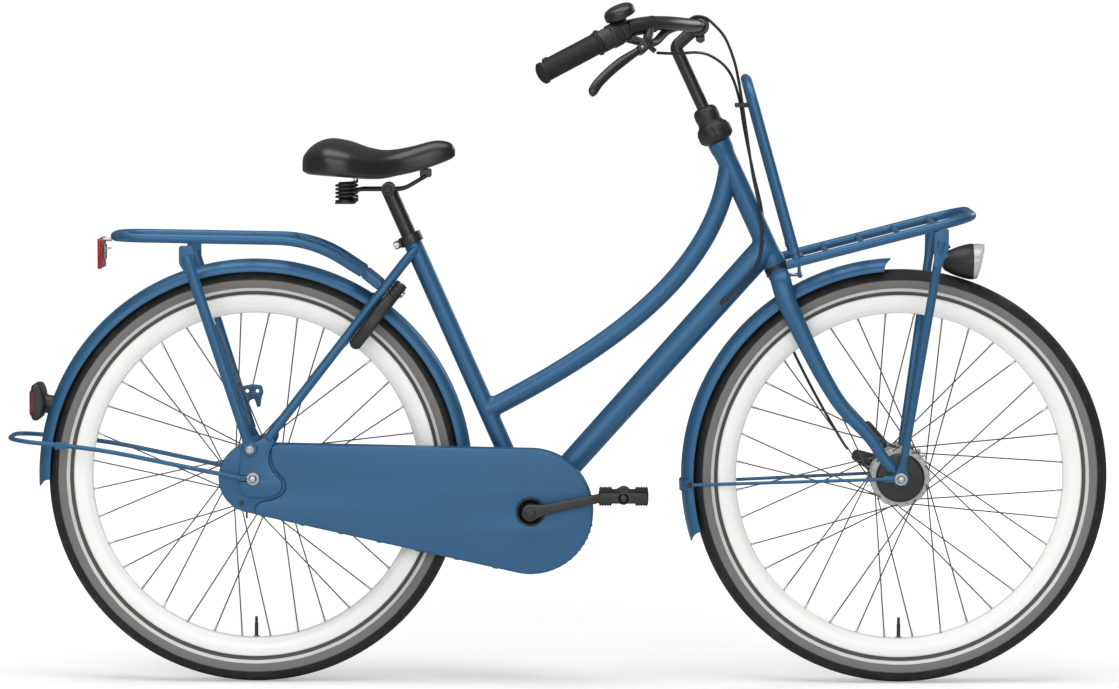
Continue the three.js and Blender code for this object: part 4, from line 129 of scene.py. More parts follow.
def smooth_path(points, count):
    """Centripetal spline: Hermite pieces whose tangents weigh each gap by the root of its length."""
    points = np.asarray(points, float)
    padded = np.vstack([2 * points[0] - points[1], points, 2 * points[-1] - points[-2]])
    root = np.sqrt(np.linalg.norm(np.diff(padded, axis=0), axis=1))[:, None]
    share = np.linspace(0, len(points) - 1, 40 * (len(points) - 1) + 1)
    piece = np.minimum(share.astype(int), len(points) - 2)
    t = (share - piece)[:, None]
    before, start, end, after = (padded[piece + step] for step in range(4))
    r0, r1, r2 = (root[piece + step] for step in range(3))
    out = ((start - before) / r0 - (end - before) / (r0 + r1) + (end - start) / r1) * r1
    into = ((end - start) / r1 - (after - start) / (r1 + r2) + (after - end) / r2) * r1
    fine = (
        (2 * t**3 - 3 * t**2 + 1) * start + (t**3 - 2 * t**2 + t) * out
        + (3 * t**2 - 2 * t**3) * end + (t**3 - t**2) * into
    )
    return resampled(fine, count)


def bezier(start, handle, far_handle, end, count):
    t = np.linspace(0, 1, count)[:, None]
    return (1 - t)**3 * start + 3 * (1 - t)**2 * t * handle + 3 * (1 - t) * t**2 * far_handle + t**3 * end


def filleted(points, radius, steps=12, closed=False):
    """Straight runs with every corner replaced by a quadratic arc that starts radius before it."""
    points = np.asarray(points, float)
    radius = np.broadcast_to(np.asarray(radius, float), len(points))
    t = np.linspace(0, 1, steps)[:, None]
    order = range(len(points)) if closed else range(1, len(points) - 1)
    runs = [] if closed else [points[:1]]
    for place in order:
        corner, last, following = points[place], points[place - 1], points[(place + 1) % len(points)]
        gaps = [np.linalg.norm(end - corner) for end in (last, following)]
        back, out = (min(radius[place], 0.49 * gap if closed else gap) for gap in gaps)
        before = corner + (last - corner) * (back / gaps[0])
        after = corner + (following - corner) * (out / gaps[1])
        runs.append((1 - t)**2 * before + 2 * (1 - t) * t * corner + t**2 * after)
    if not closed:
        runs.append(points[-1:])
    line = np.vstack(runs)
    apart = np.linalg.norm(np.diff(line, axis=0), axis=1) > 1e-4
    return line[np.concatenate([[True], apart])]


def rounded(corners, radius, steps=4):
    """A closed outline whose corners are rounded."""
    return filleted(corners, radius, steps, closed=True)


def densified(path, longest):
    """The same line with no step longer than the given length."""
    runs = [path[:1]]
    for start, end in zip(path[:-1], path[1:]):
        count = int(np.ceil(np.linalg.norm(end - start) / longest))
        share = np.arange(1, count + 1)[:, None] / count
        runs.append(start + (end - start) * share)
    return np.vstack(runs)


def tangents(path, closed=False):
    if closed:
        return unit(np.roll(path, -1, 0) - np.roll(path, 1, 0))
    return unit(np.gradient(path, lengths(path), axis=0))


def carried(path, section, side=SIDE, closed=False):
    """P(u, v) = path(u) + a(v) across(u) + b(v) up(u); up = tangent x side, across = up x tangent."""
    along = tangents(path, closed)
    above = unit(np.cross(along, side))
    across = unit(np.cross(above, along))
    section = np.asarray(section, float)
    if section.ndim == 2:
        section = np.broadcast_to(section, (len(path), *section.shape))
    return path[:, None] + section[..., :1] * across[:, None] + section[..., 1:] * above[:, None]


def axes_about(direction, beside=UP, otherwise=FORWARD):
    """The unit direction and two more that are square to it and to each other."""
    d = unit(direction)
    a = unit(np.cross(d, beside if abs(d @ beside) < 0.9 else otherwise))
    return d, a, np.cross(d, a)


def polar(turn):
    """Points of the unit circle, in two coordinates, at these angles."""
    return np.stack([np.cos(turn), np.sin(turn)], -1)


def quads(near, far):
    """Four-sided faces between two runs of rings, each closed on itself."""
    return np.stack([near, np.roll(near, -1, 1), np.roll(far, -1, 1), far], -1).reshape(-1, 4).tolist()


JOINT = Sizes(around=48, rows=7, sink=0.2, depth=1.5)
HEX = Sizes(profile_shares=[[1.0, 0.0], [1.0, 0.82], [0.88, 1.0]], washer_share=1.28, washer=0.9, sink=0.1)


class Form:
    """Closed surfaces gathered into one piece, each with the number of its finish."""

    def __init__(self):
        self.points, self.faces, self.finishes, self.count = [], [], [], 0

    def add(self, points, faces, finish=0):
        self.points.append(np.asarray(points, float).reshape(-1, 3))
        self.faces += [[corner + self.count for corner in face] for face in faces]
        self.finishes += [finish] * len(faces)
        self.count += len(self.points[-1])
        return self

    def surface(self, grid, finish=0, loop=False, capped=True):
        """Grid of rows by points; each row closes on itself, and the rows close too when loop is set."""
        rows, columns = grid.shape[:2]
        index = np.arange(rows * columns).reshape(rows, columns)
        near = index if loop else index[:-1]
        far = np.roll(index, -1, 0) if loop else index[1:]
        faces = quads(near, far)
        if capped and not loop:
            faces += [index[0][::-1].tolist(), index[-1].tolist()]
        return self.add(grid, faces, finish)

    def tube(self, path, radius, side=SIDE, sides=20, edge=0.0, finish=0, section=None):
        """A round bar along a path; edge rounds its two ends by a quarter circle."""
        path = np.asarray(path, float)
        radius = np.broadcast_to(np.asarray(radius, float), len(path)).astype(float)
        if edge > 0:
            turn = np.radians([90, 60, 30, 0])
            inset, narrower = edge * (1 - np.sin(turn)), edge * (1 - np.cos(turn))
            first, last = unit(path[1] - path[0]), unit(path[-1] - path[-2])
            head = path[0] + inset[:, None] * first
            tail = path[-1] - inset[::-1, None] * last
            path = np.vstack([head, path[1:-1], tail])
            radius = np.concatenate([radius[0] - narrower, radius[1:-1], radius[-1] - narrower[::-1]])
        shape = circle(sides, 1.0) if section is None else section
        return self.surface(carried(path, radius[:, None, None] * shape, side), finish)

    def rod(self, start, end, radius, sides=24, edge=0.5, end_radius=None, finish=0):
        start, end = np.asarray(start, float), np.asarray(end, float)
        far = radius if end_radius is None else end_radius
        side = UP if abs(unit(end - start)[1]) > 0.7 else SIDE
        return self.tube(np.linspace(start, end, 3), np.linspace(radius, far, 3), side, sides, edge, finish)

    def turned(self, profile, base, direction, segments=64, finish=0):
        """P(u, v) = base + height(u) d + radius(u) (cos v a + sin v b), with a and b square to d."""
        profile = np.asarray(profile, float)
        d, a, b = axes_about(direction)
        turn = np.arange(segments)[:, None] * TURN / segments
        ring = np.cos(turn) * a + np.sin(turn) * b
        grid = np.asarray(base, float) + profile[:, None, 1:] * d + profile[:, None, :1] * ring
        ends_on_axis = min(profile[0, 0], profile[-1, 0]) < 1e-6
        return self.surface(grid, finish, loop=not ends_on_axis, capped=False)

    def plate(self, outlines, low, high, edge=0.8, centre=(0, 0, 0), across=FORWARD, above=UP, finish=0,
              steps=4):
        """Flat faces joined by edges whose inset is edge (1 - sin t) at the height edge (1 - cos t)."""
        normal = np.cross(across, above)
        turn = np.linspace(0, np.pi / 2, steps)
        inset = np.concatenate([edge * (1 - np.sin(turn)), edge * (1 - np.sin(turn[::-1]))])
        height = np.concatenate([low + edge * (1 - np.cos(turn)), high - edge * (1 - np.cos(turn[::-1]))])
        points, faces, first, last, start = [], [], [], [], 0
        for number, outline in enumerate(outlines):
            outline = wound(np.asarray(outline, float), number == 0)
            inward = inward_normals(outline)
            grid = outline + inset[:, None, None] * inward
            space = np.asarray(centre, float) + grid[..., :1] * across + grid[..., 1:] * above
            space = space + height[:, None, None] * normal
            index = start + np.arange(space.shape[0] * space.shape[1]).reshape(space.shape[:2])
            faces += quads(index[:-1], index[1:])
            points.append(space.reshape(-1, 3))
            first.append((grid[0], index[0]))
            last.append((grid[-1], index[-1]))
            start += space.shape[0] * space.shape[1]
        for loops, turned_over in ((first, True), (last, False)):
            flat = [[Vector((x, y, 0)) for x, y in outline] for outline, _ in loops]
            numbers = np.concatenate([index for _, index in loops])
            triangles = numbers[np.array(tessellate_polygon(flat))]
            faces += (triangles[:, ::-1] if turned_over else triangles).tolist()
        return self.add(np.vstack(points), faces, finish)

    def block(self, centre, size, edge=1.0, finish=0, corner=None, across=FORWARD, above=UP):
        half = np.asarray(size, float) / 2
        corner = edge if corner is None else corner
        corners = [[-half[0], -half[2]], [half[0], -half[2]], [half[0], half[2]], [-half[0], half[2]]]
        return self.plate([rounded(corners, corner, 5)], -half[1], half[1], edge, centre, across, above,
                          finish)

    def fillet(self, start, direction, radius, host, host_direction, host_radius, reach=5.0, finish=0):
        """Brazed joint: each generator's quadratic arc from the tube, by the meeting point, to the host."""
        u = unit(host_direction)
        d, a, b = axes_about(direction, SIDE, UP)
        turn = np.arange(JOINT.around)[:, None] * TURN / JOINT.around
        ring = np.cos(turn) * a + np.sin(turn) * b
        origin = np.asarray(start, float) + radius * ring - np.asarray(host, float)
        w = origin - (origin @ u)[:, None] * u
        v = d - (d @ u) * u
        inner = w @ v
        reachable = np.maximum(inner**2 - (v @ v) * (np.sum(w * w, 1) - host_radius**2), 0)
        t = (-inner - np.sqrt(reachable)) / (v @ v)
        meet = origin + t[:, None] * d
        back = meet - reach * d - JOINT.sink * ring
        outward = unit(meet - (meet @ u)[:, None] * u)
        slide = unit(ring - np.sum(ring * outward, 1)[:, None] * outward)
        spread = meet + reach * slide
        radial = spread - (spread @ u)[:, None] * u
        spread = spread - radial + unit(radial) * (host_radius - JOINT.sink)
        s = np.linspace(0, 1, JOINT.rows)[:, None, None]
        arc = (1 - s)**2 * back + 2 * s * (1 - s) * meet + s**2 * spread
        inside = (meet + JOINT.depth * (d - ring))[None]
        return self.surface(np.vstack([arc, inside]) + np.asarray(host, float), finish, loop=True)

    def hex_bolt(self, base, direction, radius, height, finish=0):
        """Six-sided head with a chamfered crown and a washer under it."""
        d, a, b = axes_about(direction)
        rows = np.array(HEX.profile_shares)
        ring = circle(6, radius)
        grid = np.asarray(base, float) + rows[:, None, 1:] * height * d
        grid = grid + rows[:, None, :1] * (ring[:, :1] * a + ring[:, 1:] * b)
        self.surface(grid, finish)
        wide = radius * HEX.washer_share
        washer = [[0, -HEX.sink], [wide, -HEX.sink], [wide, HEX.washer], [0, HEX.washer]]
        return self.turned(washer, base, d, 32, finish)

    def finish(self, name, body, materials, replaces=(), slot=None, crease=30.0):
        """One object from everything gathered, riding its body and standing for its CAD nodes."""
        mesh = bpy.data.meshes.new(name)
        mesh.from_pydata(placed(np.vstack(self.points)), [], self.faces)
        mesh.polygons.foreach_set("material_index", np.array(self.finishes, np.int32))
        gathered = bmesh.new()
        gathered.from_mesh(mesh)
        bmesh.ops.remove_doubles(gathered, verts=gathered.verts, dist=1e-6)
        bmesh.ops.recalc_face_normals(gathered, faces=gathered.faces)
        gathered.to_mesh(mesh)
        gathered.free()
        for material in materials if isinstance(materials, (list, tuple)) else [materials]:
            mesh.materials.append(material)
        mesh.shade_smooth()
        mesh.set_sharp_from_angle(angle=np.radians(crease))
        piece = bpy.data.objects.new(name, mesh)
        bpy.context.scene.collection.objects.link(piece)
        if body:
            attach(piece, body)
        if replaces:
            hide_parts(*replaces)
        return piece


def wound(outline, outer):
    x, y = outline.T
    area = np.sum(x * np.roll(y, -1) - np.roll(x, -1) * y)
    return outline if (area > 0) == outer else outline[::-1]


def inward_normals(outline):
    """Unit steps to the left of the outline, lengthened at corners so that both edges move alike."""
    edges = unit(np.roll(outline, -1, 0) - outline)
    left = np.stack([-edges[:, 1], edges[:, 0]], 1)
    both = unit(left + np.roll(left, 1, 0))
    return both / np.maximum(np.sum(both * left, 1), 0.45)[:, None]


def shares_outline(shares, corner, size):
    """An outline given in shares of a box with this corner and size."""
    return np.asarray(shares, float) * size + corner


def both_halves(half):
    """A section given from its edge to its middle, with its mirror image after it."""
    return np.vstack([half, (half * (1, -1))[::-1]])


def ring_outline(radius, count=48, centre=(0.0, 0.0)):
    return circle(count, radius) + centre


def wheel_point(centre, radius, degrees, aside=0.0):
    turn = np.radians(np.asarray(degrees, float))
    out = np.stack([np.cos(turn), np.zeros_like(turn), np.sin(turn)], -1)
    return centre + radius * out + np.asarray(aside, float)[..., None] * SIDE

# Finishes
def linear(colour):
    """Picture colour (0 to 255) as the linear colour that a shader takes."""
    share = np.asarray(colour, float) / 255
    curved = np.where(share <= 0.04045, share / 12.92, ((share + 0.055) / 1.055)**2.4)
    return (*curved, 1.0)


class Value:
    """A shader socket that takes part in formulas."""

    def __init__(self, finish, socket):
        self.finish, self.socket = finish, socket

    def math(self, operation, *others):
        return self.finish.node("ShaderNodeMath", {"operation": operation}, [self, *others])

    def __add__(self, other):
        return self.math("ADD", other)

    def __mul__(self, other):
        return self.math("MULTIPLY", other)

    def __sub__(self, other):
        return self.math("SUBTRACT", other)

    def __rsub__(self, other):
        return self.finish.node("ShaderNodeMath", {"operation": "SUBTRACT"}, [other, self])

    def __truediv__(self, other):
        return self.math("DIVIDE", other)

    def __pow__(self, other):
        return self.math("POWER", other)

    __radd__ = __add__
    __rmul__ = __mul__


class Finish:
    """One material: its principled shader and the nodes that feed it."""

    def __init__(self, name, colour, roughness, **settings):
        self.material = bpy.data.materials.new(name)
        self.material.use_nodes = True
        self.tree = self.material.node_tree
        self.tree.nodes.clear()
        self.shader = self.tree.nodes.new("ShaderNodeBsdfPrincipled")
        output = self.tree.nodes.new("ShaderNodeOutputMaterial")
        self.tree.links.new(self.shader.outputs[0], output.inputs[0])
        self.set("Base Color", linear(colour))
        self.set("Roughness", roughness)
        for socket, value in settings.items():
            self.set(socket.replace("_", " "), value)
        self.colour = colour

    def set(self, socket, value):
        target = self.shader.inputs[socket]
        if isinstance(value, Value):
            self.tree.links.new(value.socket, target)
        else:
            target.default_value = value

    def node(self, kind, settings=(), inputs=(), output=0):
        node = self.tree.nodes.new(kind)
        for name, value in dict(settings).items():
            setattr(node, name, value)
        pairs = inputs.items() if isinstance(inputs, dict) else enumerate(inputs)
        for key, value in pairs:
            if isinstance(value, Value):
                self.tree.links.new(value.socket, node.inputs[key])
            else:
                node.inputs[key].default_value = value
        return Value(self, node.outputs[output])

    def place(self):
        return self.node("ShaderNodeTexCoord", output="Object")

    def noise(self, scale, detail=2.0, roughness=0.5):
        inputs = {"Vector": self.place(), "Scale": scale, "Detail": detail, "Roughness": roughness}
        return self.node("ShaderNodeTexNoise", {}, inputs)

    def cells(self, scale, output="Distance"):
        return self.node("ShaderNodeTexVoronoi", {}, {"Vector": self.place(), "Scale": scale}, output)

    def ramp(self, factor, low, high):
        """0 below low, 1 above high and a smooth step between them."""
        inputs = {"Value": factor, "From Min": low, "From Max": high}
        return self.node("ShaderNodeMapRange", {"interpolation_type": "SMOOTHSTEP"}, inputs)

    def mix(self, factor, first, second):
        node = self.tree.nodes.new("ShaderNodeMix")
        node.data_type = "RGBA"
        for socket, value in ((node.inputs[0], factor), (node.inputs[6], first), (node.inputs[7], second)):
            if isinstance(value, Value):
                self.tree.links.new(value.socket, socket)
            else:
                socket.default_value = value
        return Value(self, node.outputs[2])

    def bump(self, height, strength, distance=0.0005):
        inputs = {"Strength": strength, "Distance": distance, "Height": height}
        self.set("Normal", self.node("ShaderNodeBump", {}, inputs))
        return self

    def grain(self, scale, detail, strength, distance):
        """Fine noise in the surface's height."""
        return self.bump(self.noise(scale, detail), strength, distance)

    def vary(self, scale, amount, colour=0.06):
        """Roughness and colour that wander a little over the surface."""
        cloud = self.noise(scale, 3.0)
        self.set("Roughness", cloud * (2 * amount) + (self.shader.inputs["Roughness"].default_value - amount))
        dark = linear(np.asarray(self.colour) * (1 - colour))
        light = linear(np.minimum(np.asarray(self.colour) * (1 + colour), 255))
        self.set("Base Color", self.mix(self.noise(scale * 0.37, 2.0), dark, light))
        return self


def make_finishes(look):
    """Every finish by its short name; look holds the colours that a user sets."""
    made = {
        "paint": Finish("satin_blue_paint", look.paint, look.paint_roughness, Metallic=0.3,
                        Specular_IOR_Level=0.25, Coat_Weight=0.1, Coat_Roughness=0.28)
        .vary(9, 0.03, 0.03).grain(1500, 1.0, 0.04, 0.0002),
        "plastic": Finish("black_plastic", look.black, 0.46).vary(40, 0.05, 0.08).grain(2600, 2.0, 0.1,
                                                                                        0.0003),
        "enamel": Finish("black_enamel", look.black * ENAMEL_DARKER, 0.36, Coat_Weight=0.12,
                         Coat_Roughness=0.25).vary(20, 0.04, 0.05),
        "rubber": Finish("grip_rubber", (30, 30, 31), 0.66, Specular_IOR_Level=0.35)
        .vary(60, 0.06, 0.1).grain(3200, 3.0, 0.2, 0.0003),
        "cover": Finish("saddle_cover", (26, 26, 27), 0.36, Coat_Weight=0.15, Coat_Roughness=0.3)
        .vary(30, 0.05, 0.06),
        "tyre": tyre_finish(look),
        "lacquer": Finish("rim_lacquer", (249, 250, 246), 0.34, Coat_Weight=0.2, Coat_Roughness=0.2)
        .vary(12, 0.03, 0.015),
        "steel": Finish("bright_steel", (176, 177, 178), 0.3, Metallic=1.0).vary(50, 0.06, 0.05),
        "spoke": Finish("spoke_steel", (84, 84, 86), 0.4, Metallic=0.5).vary(80, 0.06, 0.05),
        "bright": Finish("cast_alloy", (176, 177, 179), 0.45, Metallic=0.45).vary(40, 0.06, 0.06),
        "dark": Finish("dark_steel", (52, 53, 54), 0.45, Metallic=0.7).vary(60, 0.08, 0.12),
        "red": Finish("red_lens", (158, 20, 32), 0.14, Coat_Weight=0.5, Coat_Roughness=0.05)
        .vary(60, 0.03, 0.05),
        "ruby": Finish("dark_red_lens", (96, 22, 26), 0.16, Coat_Weight=0.4, Coat_Roughness=0.05)
        .vary(60, 0.03, 0.05),
        "reflex": Finish("amber_reflector", (196, 120, 30), 0.16, Coat_Weight=0.5).vary(60, 0.03, 0.05),
        "clear": Finish("clear_lens", (222, 226, 230), 0.08, Transmission_Weight=0.35, Coat_Weight=0.6)
        .vary(60, 0.03, 0.03),
        "jacket": Finish("cable_jacket", (20, 20, 21), 0.42).vary(60, 0.05, 0.08),
    }
    made["cover"].bump(made["cover"].cells(900), 0.12, 0.0003)
    return {name: finish.material for name, finish in made.items()}


ENAMEL_DARKER = 0.9
BEAD_GREY, LINE_WHITE, DUST = (80, 79, 77), (214, 215, 214), (122, 118, 112)
REFLECTIVE_LINE, SHOULDER_BAND, LINE_EDGE = (0.3238, 0.3292), (0.3425, 0.3455), 0.0005
SIDEWALL_RIBS = Sizes(per_metre=3600.0, height=0.35)


def tyre_finish(look):
    """Rubber in rings, from the bead outwards: dark, a reflective line, grey side and black tread."""
    tyre = Finish("tyre_rubber", (45, 45, 45), 0.78)
    reach = tyre.node("ShaderNodeAttribute", {"attribute_name": "reach"}, output="Fac")
    cloud = tyre.noise(35, 3.0)
    edge = cloud * 0.0012
    low, line, side, tread = (linear(colour) for colour in (BEAD_GREY, LINE_WHITE, look.sidewall, look.tread))
    inner, outer = (tyre.ramp(reach + edge, start, start + LINE_EDGE) for start in REFLECTIVE_LINE)
    shoulder = tyre.ramp(reach + edge * 2.0, *SHOULDER_BAND)
    colour = tyre.mix(shoulder, tyre.mix(outer, tyre.mix(inner, low, line), side), tread)
    dust = tyre.ramp(cloud, 0.45, 0.75) * 0.08
    tyre.set("Base Color", tyre.mix(dust, colour, linear(DUST)))
    tyre.set("Roughness", (inner - outer) * -0.38 + 0.8)
    ribs = (reach * SIDEWALL_RIBS.per_metre).math("SINE") * (1 - shoulder)
    tyre.bump(ribs * SIDEWALL_RIBS.height + tyre.noise(2600, 2.0), 0.22, 0.0004)
    return tyre


# Wheels
TYRE = Sizes(
    half=[[306.3, 11], [313, 12.2], [318.4, 13.6], [324, 18.6], [331.5, 23.4], [340, 24.9], [348.5, 22.8],
          [355.4, 17], [359.6, 9.5], [361.5, 0]],
    section_steps=30, tread_start=346.5, tread_ease=3.0, slant=0.045, plain_middle=6.5, rings=(6.0, 13.5),
)
RIM = Sizes(
    half=[[306, 12.2], [315, 12.4], [317, 14.2], [315.6, 16], [304, 15.8], [295, 13.8], [286.6, 8.4],
          [284.5, 4]],
    inner=284.5, corner=2.6,
)
FRONT_HUB = Sizes(
    flanges=(-27.0, 22.0), flange=52.0,
    profile=[[5.7, -46], [14, -46], [21, -44.6], [38, -43.4], [42, -40], [42, -33], [40, -31.2], [29, -31.2],
             [27, -29.7], [50, -29.7], [52, -28.6], [52, -25.4], [50, -24.3], [31, -24.3], [27, -20],
             [27, 15],
             [31, 19.3], [50, 19.3], [52, 20.4], [52, 23.6], [50, 24.7], [30, 24.7], [24, 28], [12, 29],
             [5.7, 29]],
    cover=[[5.7, -46.4], [14, -46.4], [21, -45], [38, -43.8], [42.4, -40.2], [42.4, -32.8], [40, -31],
           [34, -30.9]],
)
REAR_HUB = Sizes(
    flanges=(-26.0, 27.0), flange=46.0, cover=None,
    profile=[[5.7, -37], [17, -37], [24, -33], [24, -31.6], [38, -30.2], [44, -28.7], [46, -27.6],
             [46, -24.4],
             [44, -23.3], [41, -22.6], [38, -19], [38, 20], [41, 23.6], [44, 24.3], [46, 25.4], [46, 28.6],
             [44, 29.7], [33, 30.4], [30, 33], [30, 40], [26, 43.6], [14, 45], [5.7, 45]],
)
SPOKE = Sizes(
    count=36, radius=1.2, first=5.0, cross=60.0, hole_inset=4.0, rim_end=284.2, aside=2.4, lacing=1.35,
    elbow_out=3.9, head_out=3.2, elbow_radius=2.6,
    nipple=[[0, -1.6], [2.5, -1.4], [2.5, 0.3], [1.9, 1.2], [1.75, 11], [1.3, 12], [0, 12]],
    head=[[0, 0], [2.2, 0], [1.9, 0.9], [0.9, 1.4], [0, 1.45]],
)
VALVE = Sizes(
    stem=[[0, -1], [3.2, -1], [3.2, 24], [2.6, 25], [2.6, 35], [1.8, 36], [0, 36]], soft=0.4,
    nut=[[3.4, 0], [6.2, 0], [6.2, 2.2], [3.4, 2.2]], degrees=270,
)
HUB_SOFT = 0.9


def tyre(name, centre, body, looks, sizes):
    """P(a, s) = centre + r(s) (cos a, 0, sin a) + y(s) Y, with r lowered by the tread's grooves g(a, y)."""
    half = smooth_path(TYRE.half, TYRE.section_steps)
    section = np.vstack([half, (half * (1, -1))[-2::-1]])
    turn = np.arange(sizes.tyre_steps) * TURN / sizes.tyre_steps
    aside = np.broadcast_to(section[:, 1], (len(turn), len(section)))
    reach = np.broadcast_to(section[:, 0], aside.shape).copy()
    tread = np.clip((reach - TYRE.tread_start) / TYRE.tread_ease, 0, 1)
    blocks = turn[:, None] * sizes.tread_blocks / TURN
    phase = blocks + np.abs(aside) * TYRE.slant + np.where(aside > 0, 0.5, 0.0)
    slot = np.clip(1.7 - 9 * np.abs(phase % 1 - 0.5), 0, 1) * (np.abs(aside) > TYRE.plain_middle)
    inner, outer = TYRE.rings
    rings = np.clip(1.5 - np.abs(np.abs(aside) - inner), 0, 1) + np.clip(1.3 - np.abs(np.abs(aside) - outer),
                                                                         0, 1)
    reach -= sizes.groove_depth / MM * tread * np.clip(slot + rings, 0, 1)
    out = wheel_point(np.zeros(3), 1.0, np.degrees(turn))[:, None]
    form = Form().surface(centre + reach[..., None] * out + aside[..., None] * SIDE, loop=True)
    piece = form.finish(f"{name}_tyre_casing", body, looks["tyre"], [f"{name}_tyre"], "tyre", 60)
    store_reach(piece, centre)


def store_reach(piece, centre):
    """Each point's distance from the axle, in metres, as the attribute that the tyre's finish reads."""
    points = np.empty(len(piece.data.vertices) * 3)
    piece.data.vertices.foreach_get("co", points)
    local = points.reshape(-1, 3) - placed(centre)
    attribute = piece.data.attributes.new("reach", "FLOAT", "POINT")
    attribute.data.foreach_set("value", np.hypot(local[:, 0], local[:, 2]).astype(np.float32))


def rim(name, centre, body, looks):
    form = Form().turned(both_halves(filleted(RIM.half, RIM.corner, 5)), centre, SIDE, 240)
    form.finish(f"{name}_rim_hoop", body, looks["lacquer"], [f"{name}_rim"], "rim_lacquer", 40)


def spoke(form, number, centre, size):
    """Head, elbow at the flange, straight run and nipple at the rim, crossing three neighbours."""
    rim_turn = SPOKE.first + 360 / SPOKE.count * number
    outwards = -1.0 if number % 2 == 0 else 1.0
    lean = 1.0 if number % 4 < 2 else -1.0
    flange = size.flanges[0 if outwards < 0 else 1]
    hole = wheel_point(centre, size.flange - SPOKE.hole_inset, rim_turn + SPOKE.cross * lean)
    rim_end = wheel_point(centre, SPOKE.rim_end, rim_turn, outwards * (SPOKE.aside + SPOKE.lacing * lean))
    start = hole + (flange - outwards * lean * SPOKE.head_out) * SIDE
    elbow = hole + (flange + outwards * lean * SPOKE.elbow_out) * SIDE
    path = filleted([start, elbow, rim_end], SPOKE.elbow_radius, 6)
    form.tube(path, SPOKE.radius, unit(np.cross(SIDE, rim_end - elbow)), 8, 0, 1)
    form.turned(SPOKE.nipple, rim_end, elbow - rim_end, 10, 2)
    form.turned(SPOKE.head, start, -outwards * lean * SIDE, 12, 2)


def hub(name, centre, body, looks, size):
    """Shell and flanges, a dark cover on the front one, and the laced spokes."""
    form = Form().turned(filleted(size.profile, HUB_SOFT, 3), centre, SIDE, 96)
    if size.cover:
        form.turned(filleted(size.cover, HUB_SOFT, 3), centre, SIDE, 96, 3)
    for number in range(SPOKE.count):
        spoke(form, number, centre, size)
    form.finish(f"{name}_hub_and_spokes", body,
                [looks[key] for key in ("bright", "spoke", "steel", "plastic")],
                [f"{name}_hub"], "bright_metal")


def valve(name, centre, body, looks):
    foot = wheel_point(centre, RIM.inner, VALVE.degrees)
    form = Form().turned(filleted(VALVE.stem, VALVE.soft, 3), foot, UP, 24, 0)
    form.turned(VALVE.nut, foot, UP, 6, 1)
    form.finish(f"{name}_valve", body, [looks["jacket"], looks["steel"]])


def make_wheels(looks, sizes):
    for name, centre, size in (("front", FRONT_AXLE, FRONT_HUB), ("rear", REAR_AXLE, REAR_HUB)):
        body = f"{name}_wheel"
        tyre(name, centre, body, looks, sizes)
        rim(name, centre, body, looks)
        hub(name, centre, body, looks, size)
        valve(name, centre, body, looks)


# Frame
SEAT_TUBE = Sizes(radius=15.9, stay_entry=[282.0, 9.0, 758.0])
BRACKET_SHELL = Sizes(radius=20.0, profile=[[9.2, -36], [20, -36], [20, 36], [9.2, 36]], soft=1.2)
HEAD_TUBE = Sizes(
    radius=17.8, soft=[0.5, 1.2, 5, 8, 8, 5, 1.2, 0.5],
    profile=[[15.1, 0], [20.4, 0], [20.4, 12], [17.8, 24], [17.8, HEAD_LENGTH - 24], [20.4, HEAD_LENGTH - 12],
             [20.4, HEAD_LENGTH], [15.1, HEAD_LENGTH]],
)
TOP_TUBE = Sizes(radius=17.0, below_head=42, up_seat=188, fall=84.3, rise=26.8, fall_pull=170, rise_pull=284)
DOWN_TUBE = Sizes(low=21.5, high=23.65, up_head=36, joint=60, joint_low=21.6, joint_high=23.5)
CHAIN_STAY = Sizes(radius=7.0, front=[457.3, 33.2, 308.0], rear=[14.0, 56.5, AXLE_Z],
                   plate_at=[29, 60, AXLE_Z],
                   plate=[30, 8, 22], bridge=[409, 36, 311.6], bridge_radius=6.0)
SEAT_STAY = Sizes(radius=8.25, foot=[24.0, 66.5, 429.0], top=[267.5, 20.0, 743.0], knee_share=0.83,
                  knee_aside=39.25, bend=25, bridge_radius=7.0)
DROPOUT = [[-23, 341], [-14, 330], [10, 329], [30, 330], [44, 336], [51, 348], [47, 360], [36, 370],
           [29, 382],
           [26, 400], [30, 412], [36, 422], [36, 432], [24, 437], [12, 428], [2, 425], [-14, 424], [-21, 412],
           [-23, 380]]
DROPOUT_SLOT = Sizes(lip=5.5, corner=5.4, mouth=1.0, plate_corner=7.0)
STAND_PIVOT = np.array([340.0, 51.0, 288.0])
STAND_BACK = unit([-1, 0.03, 0.05])
STAND_DOWN = unit([-0.1, 0.27, -0.957])
STAND_AXIS = unit(np.cross(STAND_BACK, STAND_DOWN))
STAND_OUT = STAND_AXIS * np.sign(STAND_AXIS[1])
STAND_LUG = Sizes(radius=14.0, gap=7.8, thickness=6.0, pin=4.0, arm=9.0, lift=1.5, sink=3.0)
CLAMP = Sizes(
    below_top=13, soft=[0.4, 1.2, 1.2, 0.4, 0.3, 0.3], ear=[15, 6.5, 14], ear_aside=5, ear_back=24.5,
    height=8.6,
    ring=[[16.2, 0], [20.5, 0], [20.5, 17.3], [13.9, 17.3], [13.9, 13.6], [16.2, 13.6]],
    pin_back=27, pin_half=13, pin_radius=3.2,
    pin_head=[[0, 8], [5.2, 8], [5.2, 13], [3, 13], [2.6, 10.5], [0, 10.5]],
)


def heading(degrees):
    """Unit step in the bike's plane, this many degrees above forward."""
    turn = np.radians(degrees)
    return np.array([np.cos(turn), 0.0, np.sin(turn)])


